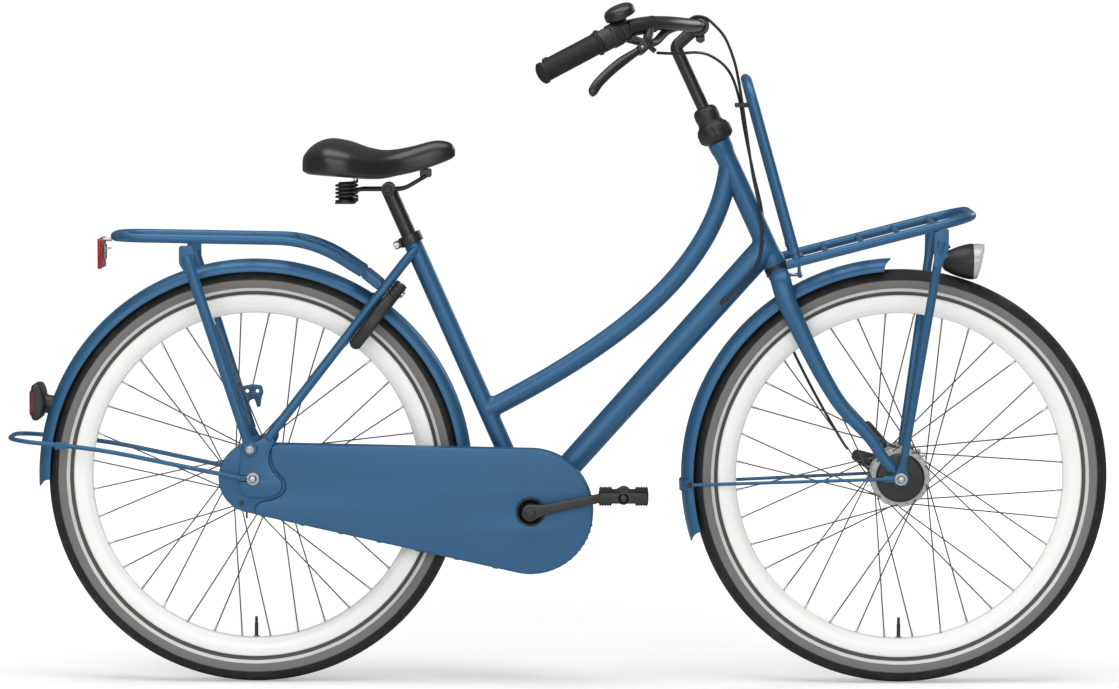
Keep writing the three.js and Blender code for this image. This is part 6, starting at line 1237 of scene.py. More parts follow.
def make_rear_carrier(looks):
    """Bent rail with welded bars, the lug that ties it to the seat stays, and its two struts."""
    path = densified(filleted([*mirrored(REAR_DECK), *REAR_DECK[::-1]], 62, 16), 25)
    form = Form().tube(path, DECK_RADIUS, UP, 32, 1)
    for number in range(4):
        x = -158 + 74.9 * number
        form.rod([x, -80, 777], [x, 80, 777], 4.0, 20)
        for side in SIDES:
            form.turned([[0, -2], [5.6, -2], [4.2, 4], [0, 4]], [x, side * 78.4, 777], -side * SIDE, 20)
    form.rod(mirrored(REAR_DECK[0]), REAR_DECK[0], 5.0, 24)
    bridge = seat_stay_points(1)[1] * (1, 0, 1)
    tail = REAR_DECK[0] * (1, 0, 1)
    towards = unit(tail - bridge)
    for side in SIDES:
        form.rod(tail + side * 22 * SIDE, bridge + 7.4 * towards + side * 22 * SIDE, 5.0, 24)
    form.block(bridge + 26 * towards, [40, 92, 17], 3.5, 0, 7, -towards,
               np.array([towards[2], 0, -towards[0]]))
    form.finish("rear_carrier_deck", "frame", looks["paint"], ["rear_carrier"], "frame_paint")
    foot = np.array([-5.0, 0.0, AXLE_Z + 51])
    for name, side in RIGHT_AND_LEFT:
        form = Form()
        strut(form, (-113, 749), foot, REAR_FACE + FIT, side, 84, rear_deck_line, 1.25)
        form.hex_bolt(foot + side * (REAR_FACE + FIT + STRUT.foot) * SIDE, side * SIDE, 5.2, 3, 1)
        if name == "left":
            hook = [[0, 0], [0.3, 0.16], [0.42, 0.5], [0.62, 0.56], [0.72, 0.3], [0.86, 0.3], [0.92, 0.62],
                    [1, 0.74],
                    [0.92, 0.97], [0.5, 1], [0.02, 0.92]]
            outline = rounded(shares_outline(hook, (-34, 457), (43, 58)), 3, 5)
            form.plate([outline, ring_outline(3.2, 24, (-20, 503)), ring_outline(3.2, 24, (-2, 503))], -76.5,
                       -73.5, 0.5)
        form.finish(f"rear_carrier_strut_{name}", "frame", [looks["paint"], looks["steel"]],
                    [f"rear_carrier_stay_{name}"], "frame_paint")


def deck_point(share, aside=0.0):
    """Place on the front deck, as a share of its length from the back."""
    return DECK_BACK + share * (DECK_FRONT - DECK_BACK) + aside * SIDE


def deck_share(x):
    return (x - DECK_BACK[0]) / (DECK_FRONT[0] - DECK_BACK[0])


def hoop_leg(side):
    """Foot, corner and direction of one leg of the hoop."""
    foot, corner = deck_point(deck_share(941), side * 142), np.array([855.0, side * 128, 1053])
    return foot, corner, unit(corner - foot)


def make_front_carrier(looks):
    """Sloping rail with welded bars, the hoop on its sockets, and the two struts."""
    back, front = deck_point(0, 142), deck_point(1, 142) - DECK_RADIUS * DECK_ALONG
    path = densified(filleted([mirrored(back), mirrored(front), front, back], 70, 18), 25)
    form = Form().tube(path, DECK_RADIUS, UP, 32, 2.5)
    for share in 0.22 + 0.188 * np.arange(4):
        form.rod(deck_point(share, -140), deck_point(share, 140), 4.5, 20)
        for side in SIDES:
            form.turned([[0, -2], [6.2, -2], [4.7, 4], [0, 4]], deck_point(share, side * 136), -side * SIDE,
                        20)
    middle = deck_point(deck_share(948))
    form.rod(middle - 140 * SIDE, middle + 140 * SIDE, DECK_RADIUS, 28)
    form.block(middle - 18 * UP, [5, 30, 36], 1.2, 0, 2)
    form.rod([931.2, 0, 713], [954, 0, 713], 3.2, 20, finish=1)
    form.turned(filleted([[0, 0], [6.5, 0], [6.5, 3], [0, 4]], 0.8, 3), [949.6, 0, 713], FORWARD, 6, 1)
    for side in SIDES:
        foot, _, rise = hoop_leg(side)
        form.rod(foot, foot + 14 * rise, DECK_RADIUS, 28, 0.6)
    form.finish("front_carrier_rails", "steering", [looks["paint"], looks["steel"]],
                ["front_carrier_deck"], "frame_paint")

    ends = [foot + (14 + FIT) * rise for foot, _, rise in map(hoop_leg, SIDES)]
    points = [ends[0], hoop_leg(-1)[1], hoop_leg(1)[1], ends[1]]
    form = Form().tube(densified(filleted(points, 60, 20), 25), DECK_RADIUS, FORWARD, 32, 0.6)
    for side, end in zip(SIDES, ends):
        foot, _, rise = hoop_leg(side)
        form.rod(end, foot + 24 * rise, 8.9, 28, 0.8)
    form.finish("front_carrier_bow", "steering", looks["paint"], ["front_carrier_hoop"], "frame_paint")

    for name, side in RIGHT_AND_LEFT:
        form = Form()
        strut(form, (1187, 778), FRONT_AXLE, FRONT_FACE + FIT, side, 142, front_deck_line)
        form.finish(f"front_carrier_strut_{name}", "steering", [looks["paint"], looks["dark"]],
                    [f"front_carrier_stay_{name}"], "frame_paint")


# Lights and reflector
def make_lights(looks):
    """Rear light on the fender, reflector plate under the carrier's end, and the headlight."""
    form = Form()
    outline = shares_outline([[0.04, 0.12], [0.2, 0], [0.62, 0.02], [0.86, 0.2], [1, 0.5], [0.84, 0.84],
                              [0.62, 1], [0.12, 1],
                              [0, 0.75]], (-390.5, AXLE_Z + 97), (25, 64))
    form.plate([rounded(outline, 5, 6)], -39, 39, 5.0, steps=6)
    form.rod([-376, 0, AXLE_Z + 128], [-354, 0, AXLE_Z + 122], 15, 36, 2, 17)
    form.finish("rear_light_case", "frame", [looks["plastic"]], ["rear_light"], "black_parts")
    form = Form().block([-387.6, 0, AXLE_Z + 128], [9, 70, 44], 3.0, 0, 4)
    form.block([-387.2, 0, AXLE_Z + 130], [7, 79.2, 34], 2.5, 0, 3)
    form.finish("rear_light_lens", "frame", looks["ruby"], (), "red_lens")

    form = Form().block([-267.4, 0, 750.5], [6.4, 90, 53], 2.0, 2, 2.5)
    form.rod([-265, 0, 773.6], [-249.6, 0, 773.6], 3.4, 20, finish=1)
    form.block([-257, 0, 758], [12, 16, 2.4], 0.6, 1, 0.8)
    form.block([-260.6, 0, 752], [2.2, 30, 26], 0.8, 1, 1)
    form.finish("rear_reflector_plate", "frame", [looks["plastic"], looks["steel"], looks["red"]],
                ["rear_reflector"], "red_lens")

    length = np.array([0.0, 0.02, 0.1, 0.3, 0.5, 0.7, 0.88, 0.97, 1.0])
    share = np.array([0.2, 0.34, 0.5, 0.68, 0.82, 0.92, 0.985, 1.0, 0.98])
    centre = np.array([1196.0, 0, 736.0])
    rings = centre + np.stack([54 * length, 0 * length, 0 * length], 1)
    space = np.concatenate([np.zeros((56, 1)), circle(56, 1.0) * (35, 31.5)], 1)
    form = Form().surface(rings[:, None] + share[:, None, None] * space)
    form.turned([[0, 0], [9, 0], [8, 5], [4, 7], [0, 7]], [1204, 0, 757], unit([-0.5, 0, 1]), 28)
    form.rod([1206, 0, 752], deck_point(0.79) - [0, 0, 4], 4.0, 24)
    form.finish("headlight_case", "steering", looks["plastic"], ["headlight"], "black_parts")
    along, size = np.array([0.0, 0.45, 0.85, 1.0, 1.0]), np.array([0.985, 0.985, 0.97, 0.93, 0.0001])
    grid = np.array([1250.3, 0, 736]) + size[:, None, None] * space
    grid[..., 0] += along[:, None] * (13.5 + 7 * size[:, None] * space[None, :, 2] / 31.5)
    form = Form().surface(grid)
    form.finish("headlight_glass", "steering", looks["clear"], ["headlight_lens"], "clear_lens", 50)


# Seat
SADDLE = Sizes(
    length=262.3, half=112, height=76, back=86.7, base=874, middle_share=0.36, steps=90, around=96,
    station_shares=np.array([
        [0, 0.5, 0.62, 0.26], [0.04, 0.74, 0.79, 0.2], [0.1, 0.9, 0.93, 0.18], [0.18, 1, 1, 0.16],
        [0.3, 0.98, 0.94, 0.13], [0.42, 0.8, 0.8, 0.09], [0.52, 0.58, 0.735, 0.09], [0.62, 0.4, 0.755, 0.15],
        [0.74, 0.3, 0.84, 0.24], [0.86, 0.25, 0.945, 0.37], [0.93, 0.2, 0.94, 0.46],
        [0.975, 0.14, 0.885, 0.53],
        [1, 0.06, 0.76, 0.6]]),
)
SADDLE_CLAMP = Sizes(cheek=[[0, 16.3], [12, 16.3], [12, 23.3], [0, 23.3]], bolt=7, bolt_height=5, outer=23.3,
                     pin=4.2, pin_half=23)
RAIL = Sizes(places=[[300, 9, 885.5], [260, 19.8, 862], [177.5, 19.8, 862], [160.5, 19.8, 841]], radius=3.5,
             bend=12,
             bar=[34, 132, 4], bar_at=[160.5, 0, 840], nose=[20, 22, 15], nose_at=[298, 0, 890])
COIL = Sizes(turns=4, steps=220, x=160.5, aside=48, radius=15.5, wire=2.3, low=846.9, high=872.9, foot=842.4,
             top=886.0,
             cup=[[0, 0], [17.6, 0], [17.6, 2.4], [0, 2.4]], cup_z=842)
POST = Sizes(radius=13.4, below=170, head=11, head_half=16)


def saddle_grid():
    """P(u, v) = (x(u), h(u) cx(v), m(u) + c(u) cz(v)); cx and cz are powers of cos v and sin v."""
    line = smooth_path(SADDLE.station_shares * (SADDLE.length, SADDLE.half, SADDLE.height, SADDLE.height),
                       SADDLE.steps)
    x, half, top, base = line.T
    turn = np.arange(SADDLE.around) * TURN / SADDLE.around
    across, up = np.cos(turn), np.sin(turn)
    crown = np.sign(up) * np.abs(up)**np.where(up > 0, 0.75, 0.3)
    wide = np.sign(across) * np.abs(across)**np.where(up > 0, 0.85, 0.3)
    middle = base + SADDLE.middle_share * (top - base)
    rise = np.where(up > 0, (top - middle)[:, None], (middle - base)[:, None]) * crown
    along = np.broadcast_to((SADDLE.back + x)[:, None], rise.shape)
    return np.stack([along, half[:, None] * wide, SADDLE.base + middle[:, None] + rise], -1)


def make_saddle(looks):
    form = Form().surface(saddle_grid())
    piece = form.finish("saddle_cushion", "saddle", looks["cover"], ["saddle_pad"], "saddle_cover", 70)
    make_saddle_frame(looks)
    for name, side in RIGHT_AND_LEFT:
        coil(name, side, looks)
    form = Form().tube(np.linspace(SEAT_TOP - POST.below * SEAT_UP, POST_HEAD, 8), POST.radius, SIDE, 40)
    form.rod(POST_HEAD - POST.head_half * SIDE, POST_HEAD + POST.head_half * SIDE, POST.head, 40, 1)
    form.finish("seatpost_tube", "post", looks["enamel"], ["seatpost"], "black_parts")


def make_saddle_frame(looks):
    """Clamp on the post, two bent rails, the bar under the coils and the block at the nose."""
    form = Form()
    for side in SIDES:
        form.turned(filleted(SADDLE_CLAMP.cheek, 1.2, 4), POST_HEAD, side * SIDE, 48)
        form.hex_bolt(POST_HEAD + side * SADDLE_CLAMP.outer * SIDE, side * SIDE, SADDLE_CLAMP.bolt,
                      SADDLE_CLAMP.bolt_height, 1)
        rail = filleted(mirrored(RAIL.places, side), RAIL.bend, 10)
        form.tube(densified(rail, 20), RAIL.radius, SIDE, 20, 0.5, 1)
    reach = SADDLE_CLAMP.pin_half * SIDE
    form.rod(POST_HEAD - reach, POST_HEAD + reach, SADDLE_CLAMP.pin, 24, finish=1)
    form.block(RAIL.bar_at, RAIL.bar, 1.0, 1, 1.2)
    form.block(RAIL.nose_at, RAIL.nose, 1.5, 0, 4)
    form.finish("saddle_rails", "saddle", [looks["enamel"], looks["dark"]], ["saddle_frame"], "black_parts")


def coil(name, side, looks):
    """P(t) = centre + R (cos t, sin t) rising evenly, with both ends bent upright."""
    turn = np.linspace(0, COIL.turns * TURN, COIL.steps)
    around = COIL.radius * polar(turn) + (COIL.x, side * COIL.aside)
    path = np.column_stack([around, np.linspace(COIL.low, COIL.high, COIL.steps)])
    path = np.vstack([[*path[0, :2], COIL.foot], path, [*path[-1, :2], COIL.top]])
    form = Form().tube(path, COIL.wire, UP, 12)
    form.turned(filleted(COIL.cup, 0.6, 3), [COIL.x, side * COIL.aside, COIL.cup_z], UP, 44)
    form.finish(f"saddle_coil_{name}", "saddle", looks["enamel"], [f"saddle_spring_{name}"], "black_parts")


# Handlebar and what it carries
BAR_CLAMP = np.array([772.5, 0.0, 1146.0])
BAR_PLACES = np.array([[0, 0, 0], [-2, 32, 0], [-17, 80, 1], [-57, 162, 4], [-93, 208, 3], [-124, 238, -3]],
                      float)
BAR_END = np.array([-266.0, 308.0, -78.0])


def bar_point(place, side):
    return BAR_CLAMP + np.asarray(place, float) * (1, side, 1)


def bar_direction(side):
    return unit(bar_point(BAR_END, side) - bar_point(BAR_PLACES[-1], side))


def along_bar(distance, side):
    return bar_point(BAR_PLACES[-1], side) + distance * bar_direction(side)


BAR_LENGTH = float(np.linalg.norm(BAR_END - BAR_PLACES[-1]))
BELL_UP = unit(UP - (UP @ bar_direction(-1)) * bar_direction(-1))


def make_handlebar(looks):
    right, left = bar_point(BAR_PLACES[::-1], -1), bar_point(BAR_PLACES[1:], 1)
    middle = smooth_path(np.vstack([right, left]), 120)
    path = np.vstack([bar_point(BAR_END, -1), middle, bar_point(BAR_END, 1)])
    form = Form().tube(densified(path, 20), 11.0, UP, 40, 0.6)
    form.finish("handlebar_tube", "steering", looks["enamel"], ["handlebar"], "black_parts")

    elbow = HEAD_TOP + (1109 - HEAD_TOP[2]) / STEER_UP[2] * STEER_UP
    bottom = HEAD_TOP - 15 * STEER_UP
    form = Form().tube(densified(filleted([bottom, elbow, BAR_CLAMP], 9, 14), 14), 11.0, SIDE, 40, 0.5)
    form.turned(rounded([[11.4, -21], [16.6, -21], [18, -19.4], [18, 19.4], [16.6, 21], [11.4, 21]], 1.2),
                BAR_CLAMP, SIDE, 56)
    down = unit([0.12, 0, -1])
    form.rod(BAR_CLAMP + 12 * down, BAR_CLAMP + 23 * down, 8, 28, 1.2)
    form.block(BAR_CLAMP + 24 * down, [15, 20, 9], 1.5, 0, 3)
    form.hex_bolt(BAR_CLAMP + 28 * down, down, 4, 3, 1)
    form.fillet(elbow + 20 * unit(BAR_CLAMP - elbow), BAR_CLAMP - elbow, 11, BAR_CLAMP, SIDE, 18, 4)
    form.finish("stem_neck", "steering", [looks["enamel"], looks["steel"]], ["stem"], "black_parts")

    profile = [[14.9, 0.4], [22, 0.4], [28, 5], [29.6, 12], [29.2, 22], [26, 30], [22, 34.5], [21, 40],
               [22, 47], [21.4, 57],
               [18, 63], [11.4, 66], [11.4, 46], [14.9, 46]]
    form = Form().turned(rounded(profile, 2.2, 5), HEAD_TOP, STEER_UP, 72)
    for number in range(16):
        out = np.cos(number * TURN / 16) * STEER_FORWARD + np.sin(number * TURN / 16) * SIDE
        rib = [[27.6, 6], [29, 13], [28.6, 22], [25, 30]]
        form.tube([HEAD_TOP + reach * out + height * STEER_UP for reach, height in rib], 1.6, SIDE, 10, 0.6)
    form.finish("headset_cover", "steering", looks["plastic"], ["headset_collar"], "black_parts")


def make_grips(looks):
    for name, side in RIGHT_AND_LEFT:
        base, direction = bar_point(BAR_PLACES[-1], side), bar_direction(side)
        start, end = 59.0, BAR_LENGTH + 4
        profile = [[11.3, start], [18, start], [20.5, start + 1.6], [20.5, start + 4], [18, start + 6.2],
                   [16.4, start + 8]]
        for height in np.arange(start + 11, end - 14, 3.6):
            profile += [[16.4, height], [17, height + 0.5], [17, height + 2.0], [16.4, height + 2.5]]
        profile += [[16.4, end - 11], [19, end - 8], [19, end - 3], [15, end], [0, end], [0, end - 3.6],
                    [11.3, end - 3.6]]
        form = Form().turned(filleted(profile, 0.35, 3), base, direction, 56)
        form.finish(f"grip_{name}_sleeve", "steering", looks["rubber"], [f"grip_{name}"], "grip_rubber")

    base, direction = bar_point(BAR_PLACES[-1], -1), bar_direction(-1)
    profile = [[11.4, 17.3], [19, 17.3], [21, 18.8]]
    for height in np.arange(21, 33, 2.6):
        profile += [[21, height], [20.2, height + 0.4], [20.2, height + 1.2], [21, height + 1.6]]
    profile += [[21, 34.6], [18.6, 36.8], [18.5, 57.4], [17.6, 58.5], [11.4, 58.5]]
    form = Form().turned(rounded(profile, 0.3, 3), base, direction, 64)
    for number in range(24):
        turn = np.radians(15 * number)
        a = unit(np.cross(direction, UP))
        b = np.cross(direction, a)
        out = np.cos(turn) * a + np.sin(turn) * b
        form.rod(base + 39.5 * direction + 17.9 * out, base + 55.5 * direction + 17.9 * out, 1.1, 8, 0.5)
    form.finish("shifter_ring", "twist_ring", looks["plastic"], ["gear_shifter"], "black_parts")


LEVER_PIVOT, LEVER_TIP = np.array([672.0, -243, 1108]), np.array([590.0, -300, 1029])
LEVER_OUT = unit(LEVER_TIP - LEVER_PIVOT)


def lever_frame():
    middle = (LEVER_PIVOT + LEVER_TIP) / 2
    start, direction = bar_point(BAR_PLACES[-1], -1), bar_direction(-1)
    towards = start + ((middle - start) @ direction) * direction - middle
    axis = unit(np.cross(LEVER_OUT, towards))
    return axis, unit(np.cross(axis, LEVER_OUT))


def make_controls(looks):
    axis, pull = lever_frame()
    form = Form()
    places = [[654, -254, 1097], [634, -268, 1083], [612, -283, 1064], [599, -292, 1050], [592, -297, 1039]]
    path = smooth_path([LEVER_PIVOT, *places, LEVER_TIP], 40)
    share = np.linspace(0, 1, 40)
    wide = 6.2 * (1 - 0.12 * np.sin(np.pi * share)) * np.clip((1 - share) * 14, 0, 1)**0.4
    tall = 8.6 * (0.72 + 0.28 * np.clip(share * 3, 0, 1)) * np.clip((1 - share) * 14, 0, 1)**0.4
    section = circle(24, 1.0) * np.stack([np.maximum(wide, 1.2), np.maximum(tall, 1.2)], 1)[:, None]
    form.surface(carried(path, section, axis))
    form.rod(LEVER_PIVOT - 6 * axis, LEVER_PIVOT + 6 * axis, 8.5, 36, 0.8)
    form.finish("brake_lever_blade", "hand_lever", looks["enamel"], ["brake_lever"], "black_parts")

    form = Form()
    start = bar_point(BAR_PLACES[-1], -1)
    clamp = np.array([687.5, -198, 1149.3])
    here = unit(start - clamp)
    form.rod(clamp - 9 * here, along_bar(3, -1), 14.5, 40, 1.6)
    form.rod(along_bar(3, -1), along_bar(17, -1), 20, 48, 2.5)
    turn = np.linspace(np.pi / 2, -np.pi / 2, 14)
    outline = np.vstack([8.5 * np.stack([np.cos(turn), np.sin(turn)], 1), [[-22, -8.5], [-22, 8.5]]])
    outline = rounded(outline, 1.0, 3)
    for low, high in ((-9.3, -6.3), (6.3, 9.3)):
        form.plate([outline], low, high, 0.8, LEVER_PIVOT, LEVER_OUT, pull)
    back = LEVER_PIVOT - 14.5 * LEVER_OUT
    form.block(LEVER_PIVOT - 15.8 * LEVER_OUT, [12.4, 18.6, 17], 1.6, 0, 3, LEVER_OUT, pull)
    form.rod(LEVER_PIVOT - 9.9 * axis, LEVER_PIVOT + 9.9 * axis, 3.0, 20, 0.6, finish=1)
    form.tube(np.linspace(back, clamp, 8), np.linspace(7.5, 9.0, 8), SIDE, 28)
    arm = smooth_path([back, [697, -196, 1120], [716, -150, 1138], [738, -100, 1147]], 24)
    form.tube(arm, np.linspace(6.5, 8.0, 24), SIDE, 24)
    form.tube(np.linspace(back, along_bar(12, -1) - [0, 0, 8], 8), np.linspace(6.5, 8.5, 8), SIDE, 24)
    barrel = np.array([695.5, -231, 1104])
    form.rod(back, barrel, 4.5, 24, 0.8)
    foot = along_bar(2, -1)
    form.rod(foot + 10 * BELL_UP, foot + 21.7 * BELL_UP, 7, 28, 0.8)
    form.rod(foot + 10 * BELL_UP, foot + 38 * BELL_UP, 4, 20, finish=1)
    form.finish("brake_perch", "steering", [looks["plastic"], looks["steel"]], ["brake_bracket"],
                "black_parts")

    form = Form()
    dome = [[4.4, 22], [24.5, 22], [27, 23.2], [27, 31], [26.2, 34.6], [23, 38.6], [17.5, 41.2], [8, 42],
            [0, 42]]
    inner = [[0, 38.4], [4.4, 38.4]]
    form.turned(filleted([*dome, *inner], 1.2, 5), foot, BELL_UP, 64)
    form.finish("bell_cap", "bell_head", looks["enamel"], ["bell"], "black_parts")


# Ring lock
LOCK_TILT = np.arctan2(243.5, 314.0)
LOCK_FORWARD = np.array([np.cos(LOCK_TILT), 0, -np.sin(LOCK_TILT)])
LOCK_UP = np.array([np.sin(LOCK_TILT), 0, np.cos(LOCK_TILT)])
LOCK_OFFSET = float(np.array([24.0, 0, 67.5]) @ LOCK_FORWARD) + 8.25 + FIT + 11
LOCK_CENTRE = REAR_AXLE + LOCK_OFFSET * LOCK_FORWARD + 338 * LOCK_UP


def lock_arc(radius, start, end, count):
    """Points about the lock's centre; 0 degrees points down the stays and 90 to the left."""
    turn = np.radians(np.linspace(start, end, count))[:, None]
    return LOCK_CENTRE + radius * (np.sin(turn) * SIDE - np.cos(turn) * LOCK_UP)


def make_lock(looks):
    form = Form()
    corner = np.array([[-11, -8], [-7, -12], [7, -12], [11, -8], [11, 8], [7, 12], [-7, 12], [-11, 8]], float)
    section = rounded(corner, 2.5, 5)
    count = 90
    rounding = np.sqrt(np.clip(np.minimum(np.arange(count), np.arange(count)[::-1]) / 4, 0.12, 1))[:, None,
                                                                                                   None]
    form.surface(carried(lock_arc(64, 36, 324, count), section * rounding, LOCK_FORWARD))
    turn = np.radians(214)
    base = LOCK_CENTRE + 68.4 * (np.sin(turn) * SIDE - np.cos(turn) * LOCK_UP)
    form.rod(base, base + 30 * LOCK_UP, 11, 36, 1.6)
    form.turned([[0, 0], [6.5, 0], [6.0, 0.8], [0, 0.9]], base + 30 * LOCK_UP, LOCK_UP, 28, 1)
    for share in (0.2, 0.5, 0.8):
        form.turned(rounded([[11.3, 0], [12, 0.6], [12, 2.4], [11.3, 3]], 0.3, 3),
                    base + share * 27 * LOCK_UP,
                    LOCK_UP, 36)
    form.rod(base + 15 * LOCK_UP + 10 * LOCK_FORWARD, base + 15 * LOCK_UP + 15 * LOCK_FORWARD, 6, 28, 1,
             finish=1)
    form.finish("ring_lock_shell", "frame", [looks["plastic"], looks["steel"]], ["ring_lock_body"],
                "black_parts")
    form = Form().tube(lock_arc(64, 40, 154, 50), 4.6, LOCK_FORWARD, 24, 1.5)
    turn = np.radians(124)
    out = np.sin(turn) * SIDE - np.cos(turn) * LOCK_UP
    form.rod(LOCK_CENTRE + 64 * out, LOCK_CENTRE + 96 * out, 4, 24, 0.6, finish=1)
    form.rod(LOCK_CENTRE + 89 * out, LOCK_CENTRE + 96 * out, 7, 28, 2, finish=1)
    form.finish("ring_lock_bolt", "lock_shackle", [looks["steel"], looks["plastic"]], ["ring_lock_shackle"],
                "bright_metal")


# Cables
BRAKE_CABLE = [
    [699, -229, 1101.5], [730, -205, 1100], [768, -150, 1101], [793, -95, 1094], [819, -40, 1074],
    [832, -14, 1053],
    [843.4, 0, 1017], [852, 6, 967], [869, 10, 886], [881, 18, 836], [889, 32, 790], [899, 48, 757],
    [909, 60, 728],
    [919, 62, 700], [920, 61.5, 668], [916, 58, 632], [940, 52, 575.8], [984, 48, 490], [1029.4, 43.5, 412.7],
    [1036, 42.5, 404],
]
SHIFT_UPPER = [
    [639, -221, 1142.6], [651, -203, 1149], [671, -183, 1151.5], [703, -148, 1151], [737, -83, 1151],
    [752, -48, 1154], [766, -35, 1161.5], [783, -30, 1159.5], [800, -26, 1146], [817, -22, 1126],
    [834, -18, 1084],
    [843.5, -14, 1040], [854.9, -10, 966.4],
]
SHIFT_LOWER = [
    [854.98, -10, 966], [866.9, -9, 886.1], [876, -14, 842], [882, -25, 805], [881.7, -28, 774.5],
    [876.5, -29, 737.8], [862.6, -29, 714.2], [836, -27.5, 687], [815, -27, 666.5],
]
JACKET = Sizes(diameter=5.0, sides=12, edge=0.4)
CABLE_CLIP = Sizes(place=[847.5, -5, 1008], size=[25, 20, 8])
CABLE_PORT = Sizes(start=[823, -27.4, 674.5], end=[811, -26.2, 662.5], wide=4.6, narrow=3.4)


def cable(name, places, body, node, looks, count):
    """Round jacket along the cable's route."""
    path = smooth_path(places, count)
    form = Form().tube(path, JACKET.diameter / 2, SIDE, JACKET.sides, JACKET.edge)
    piece = form.finish(name, body, looks["jacket"], [node], "black_parts", 60)
    return piece


def make_cables(looks):
    """Brake cable, both stretches of the gear cable, the clip that holds them and the port in the tube."""
    cable("brake_cable_jacket", BRAKE_CABLE, "steering", "brake_cable", looks, 220)
    cable("shift_cable_jacket", SHIFT_UPPER, "steering", "shift_cable_upper", looks, 150)
    form = Form().block(CABLE_CLIP.place, CABLE_CLIP.size, 1.2, 0, 3)
    form.finish("cable_clip", "steering", looks["plastic"], (), "black_parts")
    form = Form().rod(CABLE_PORT.start, CABLE_PORT.end, CABLE_PORT.wide, 24, 1.5, CABLE_PORT.narrow)
    form.finish("cable_port", "frame", looks["plastic"], (), "black_parts")
    lower = cable("shift_cable_tail", SHIFT_LOWER, None, "shift_cable_lower", looks, 110)
    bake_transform(lower)


def carry_over(looks):
    """Finishes for the CAD nodes that stay in sight inside the chaincase."""
    for node, finish in (("chain", "dark"), ("rear_sprocket", "steel")):
        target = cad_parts[node]
        target.data.materials.clear()
        target.data.materials.append(looks[finish])


# Stage
FLOOR_REACH = 60.0


def make_stage(light):
    """White floor and sky, a wide overhead panel, a softer one beside the camera, and the camera."""
    scene = bpy.context.scene
    floor = make_floor(scene)
    lamps = [
        make_panel("overhead_panel", (-0.2, -0.6, 3.6), (0, 0, 0.4), (4.2, 2.4), light.overhead),
        make_panel("side_panel", (-2.6, -4.2, 2.6), (0.1, 0, 0.6), (2.0, 2.0), light.side),
        make_panel("rear_panel", (2.8, 3.2, 2.2), (0, 0, 0.6), (2.0, 1.6), light.back),
        make_panel("front_panel", (0.3, -7.4, 2.3), (0, 0, 0.6), (7.0, 3.6), light.front),
    ]
    make_camera(scene, light)
    scene.world = studio_sky(light.sky)
    scene.view_settings.view_transform = "Standard"


def make_floor(scene):
    """White plane whose glow grows with the distance from the bike, for the camera only."""
    finish = Finish("studio_floor", (238, 238, 238), 0.9, Emission_Strength=1.0)
    finish.set("Roughness", finish.noise(3.0) * 0.02 + 0.88)
    away = finish.node("ShaderNodeVectorMath", {"operation": "LENGTH"}, [finish.place()], "Value")
    seen = finish.node("ShaderNodeLightPath", output="Is Camera Ray")
    glow = finish.ramp(away, 0.6, 3.6) * 0.58 + 0.3
    finish.set("Emission Color", finish.mix(glow * seen, (0, 0, 0, 1), (1, 1, 1, 1)))
    mesh = bpy.data.meshes.new("studio_floor")
    corners = [(x * FLOOR_REACH, y * FLOOR_REACH, 0) for x, y in ((-1, -1), (1, -1), (1, 1), (-1, 1))]
    mesh.from_pydata(corners, [], [(0, 1, 2, 3)])
    mesh.materials.append(finish.material)
    floor = bpy.data.objects.new("studio_floor", mesh)
    scene.collection.objects.link(floor)
    return floor


def make_panel(name, place, target, size, energy):
    """Rectangular lamp of this width and height, facing its target."""
    lamp = bpy.data.lights.new(name, "AREA")
    lamp.shape, lamp.size, lamp.size_y, lamp.energy = "RECTANGLE", *size, energy
    holder = bpy.data.objects.new(name, lamp)
    holder.matrix_world = aimed(place, target)
    bpy.context.scene.collection.objects.link(holder)
    return holder


def make_camera(scene, light):
    """Camera beside the bike, tilted down and turned towards the rear by the settings' angles."""
    camera = bpy.data.cameras.new("studio_camera")
    camera.lens = light.lens
    holder = bpy.data.objects.new("studio_camera", camera)
    tilt, pan = np.radians(light.tilt), np.radians(light.pan)
    place = Vector((light.aside, -light.distance, light.height))
    ahead = Vector((-np.sin(pan) * np.cos(tilt), np.cos(pan) * np.cos(tilt), -np.sin(tilt)))
    holder.matrix_world = aimed(place, place + ahead)
    scene.collection.objects.link(holder)
    scene.camera = holder


def aimed(place, target):
    place, target = Vector(place), Vector(target)
    turn = (target - place).to_track_quat("-Z", "Y")
    return Matrix.Translation(place) @ turn.to_matrix().to_4x4()


def studio_sky(strength):
    """Plain white to the camera, and a softer light on the object and in its reflections."""
    world = bpy.data.worlds.new("studio_sky")
    world.use_nodes = True
    tree = world.node_tree
    tree.nodes.clear()
    output = tree.nodes.new("ShaderNodeOutputWorld")
    seen, cast = (tree.nodes.new("ShaderNodeBackground") for _ in range(2))
    seen.inputs["Strength"].default_value = 1.0
    cast.inputs["Strength"].default_value = strength
    for shader in (seen, cast):
        shader.inputs["Color"].default_value = (1, 1, 1, 1)
    path, mix = tree.nodes.new("ShaderNodeLightPath"), tree.nodes.new("ShaderNodeMixShader")
    tree.links.new(path.outputs["Is Camera Ray"], mix.inputs[0])
    tree.links.new(cast.outputs[0], mix.inputs[1])
    tree.links.new(seen.outputs[0], mix.inputs[2])
    tree.links.new(mix.outputs[0], output.inputs[0])
    return world


# Settings
class BikeSizes(PropertyGroup):
    tyre_steps: IntProperty(name="Tyre steps", description="Sections round each tyre", default=960, min=96)
    tread_blocks: IntProperty(name="Tread blocks", description="Slanted blocks round each tread", default=132,
                              min=12)
    groove_depth: FloatProperty(name="Groove depth", description="Depth of the tread's grooves",
                                default=0.0012,
                                subtype="DISTANCE", unit="LENGTH")


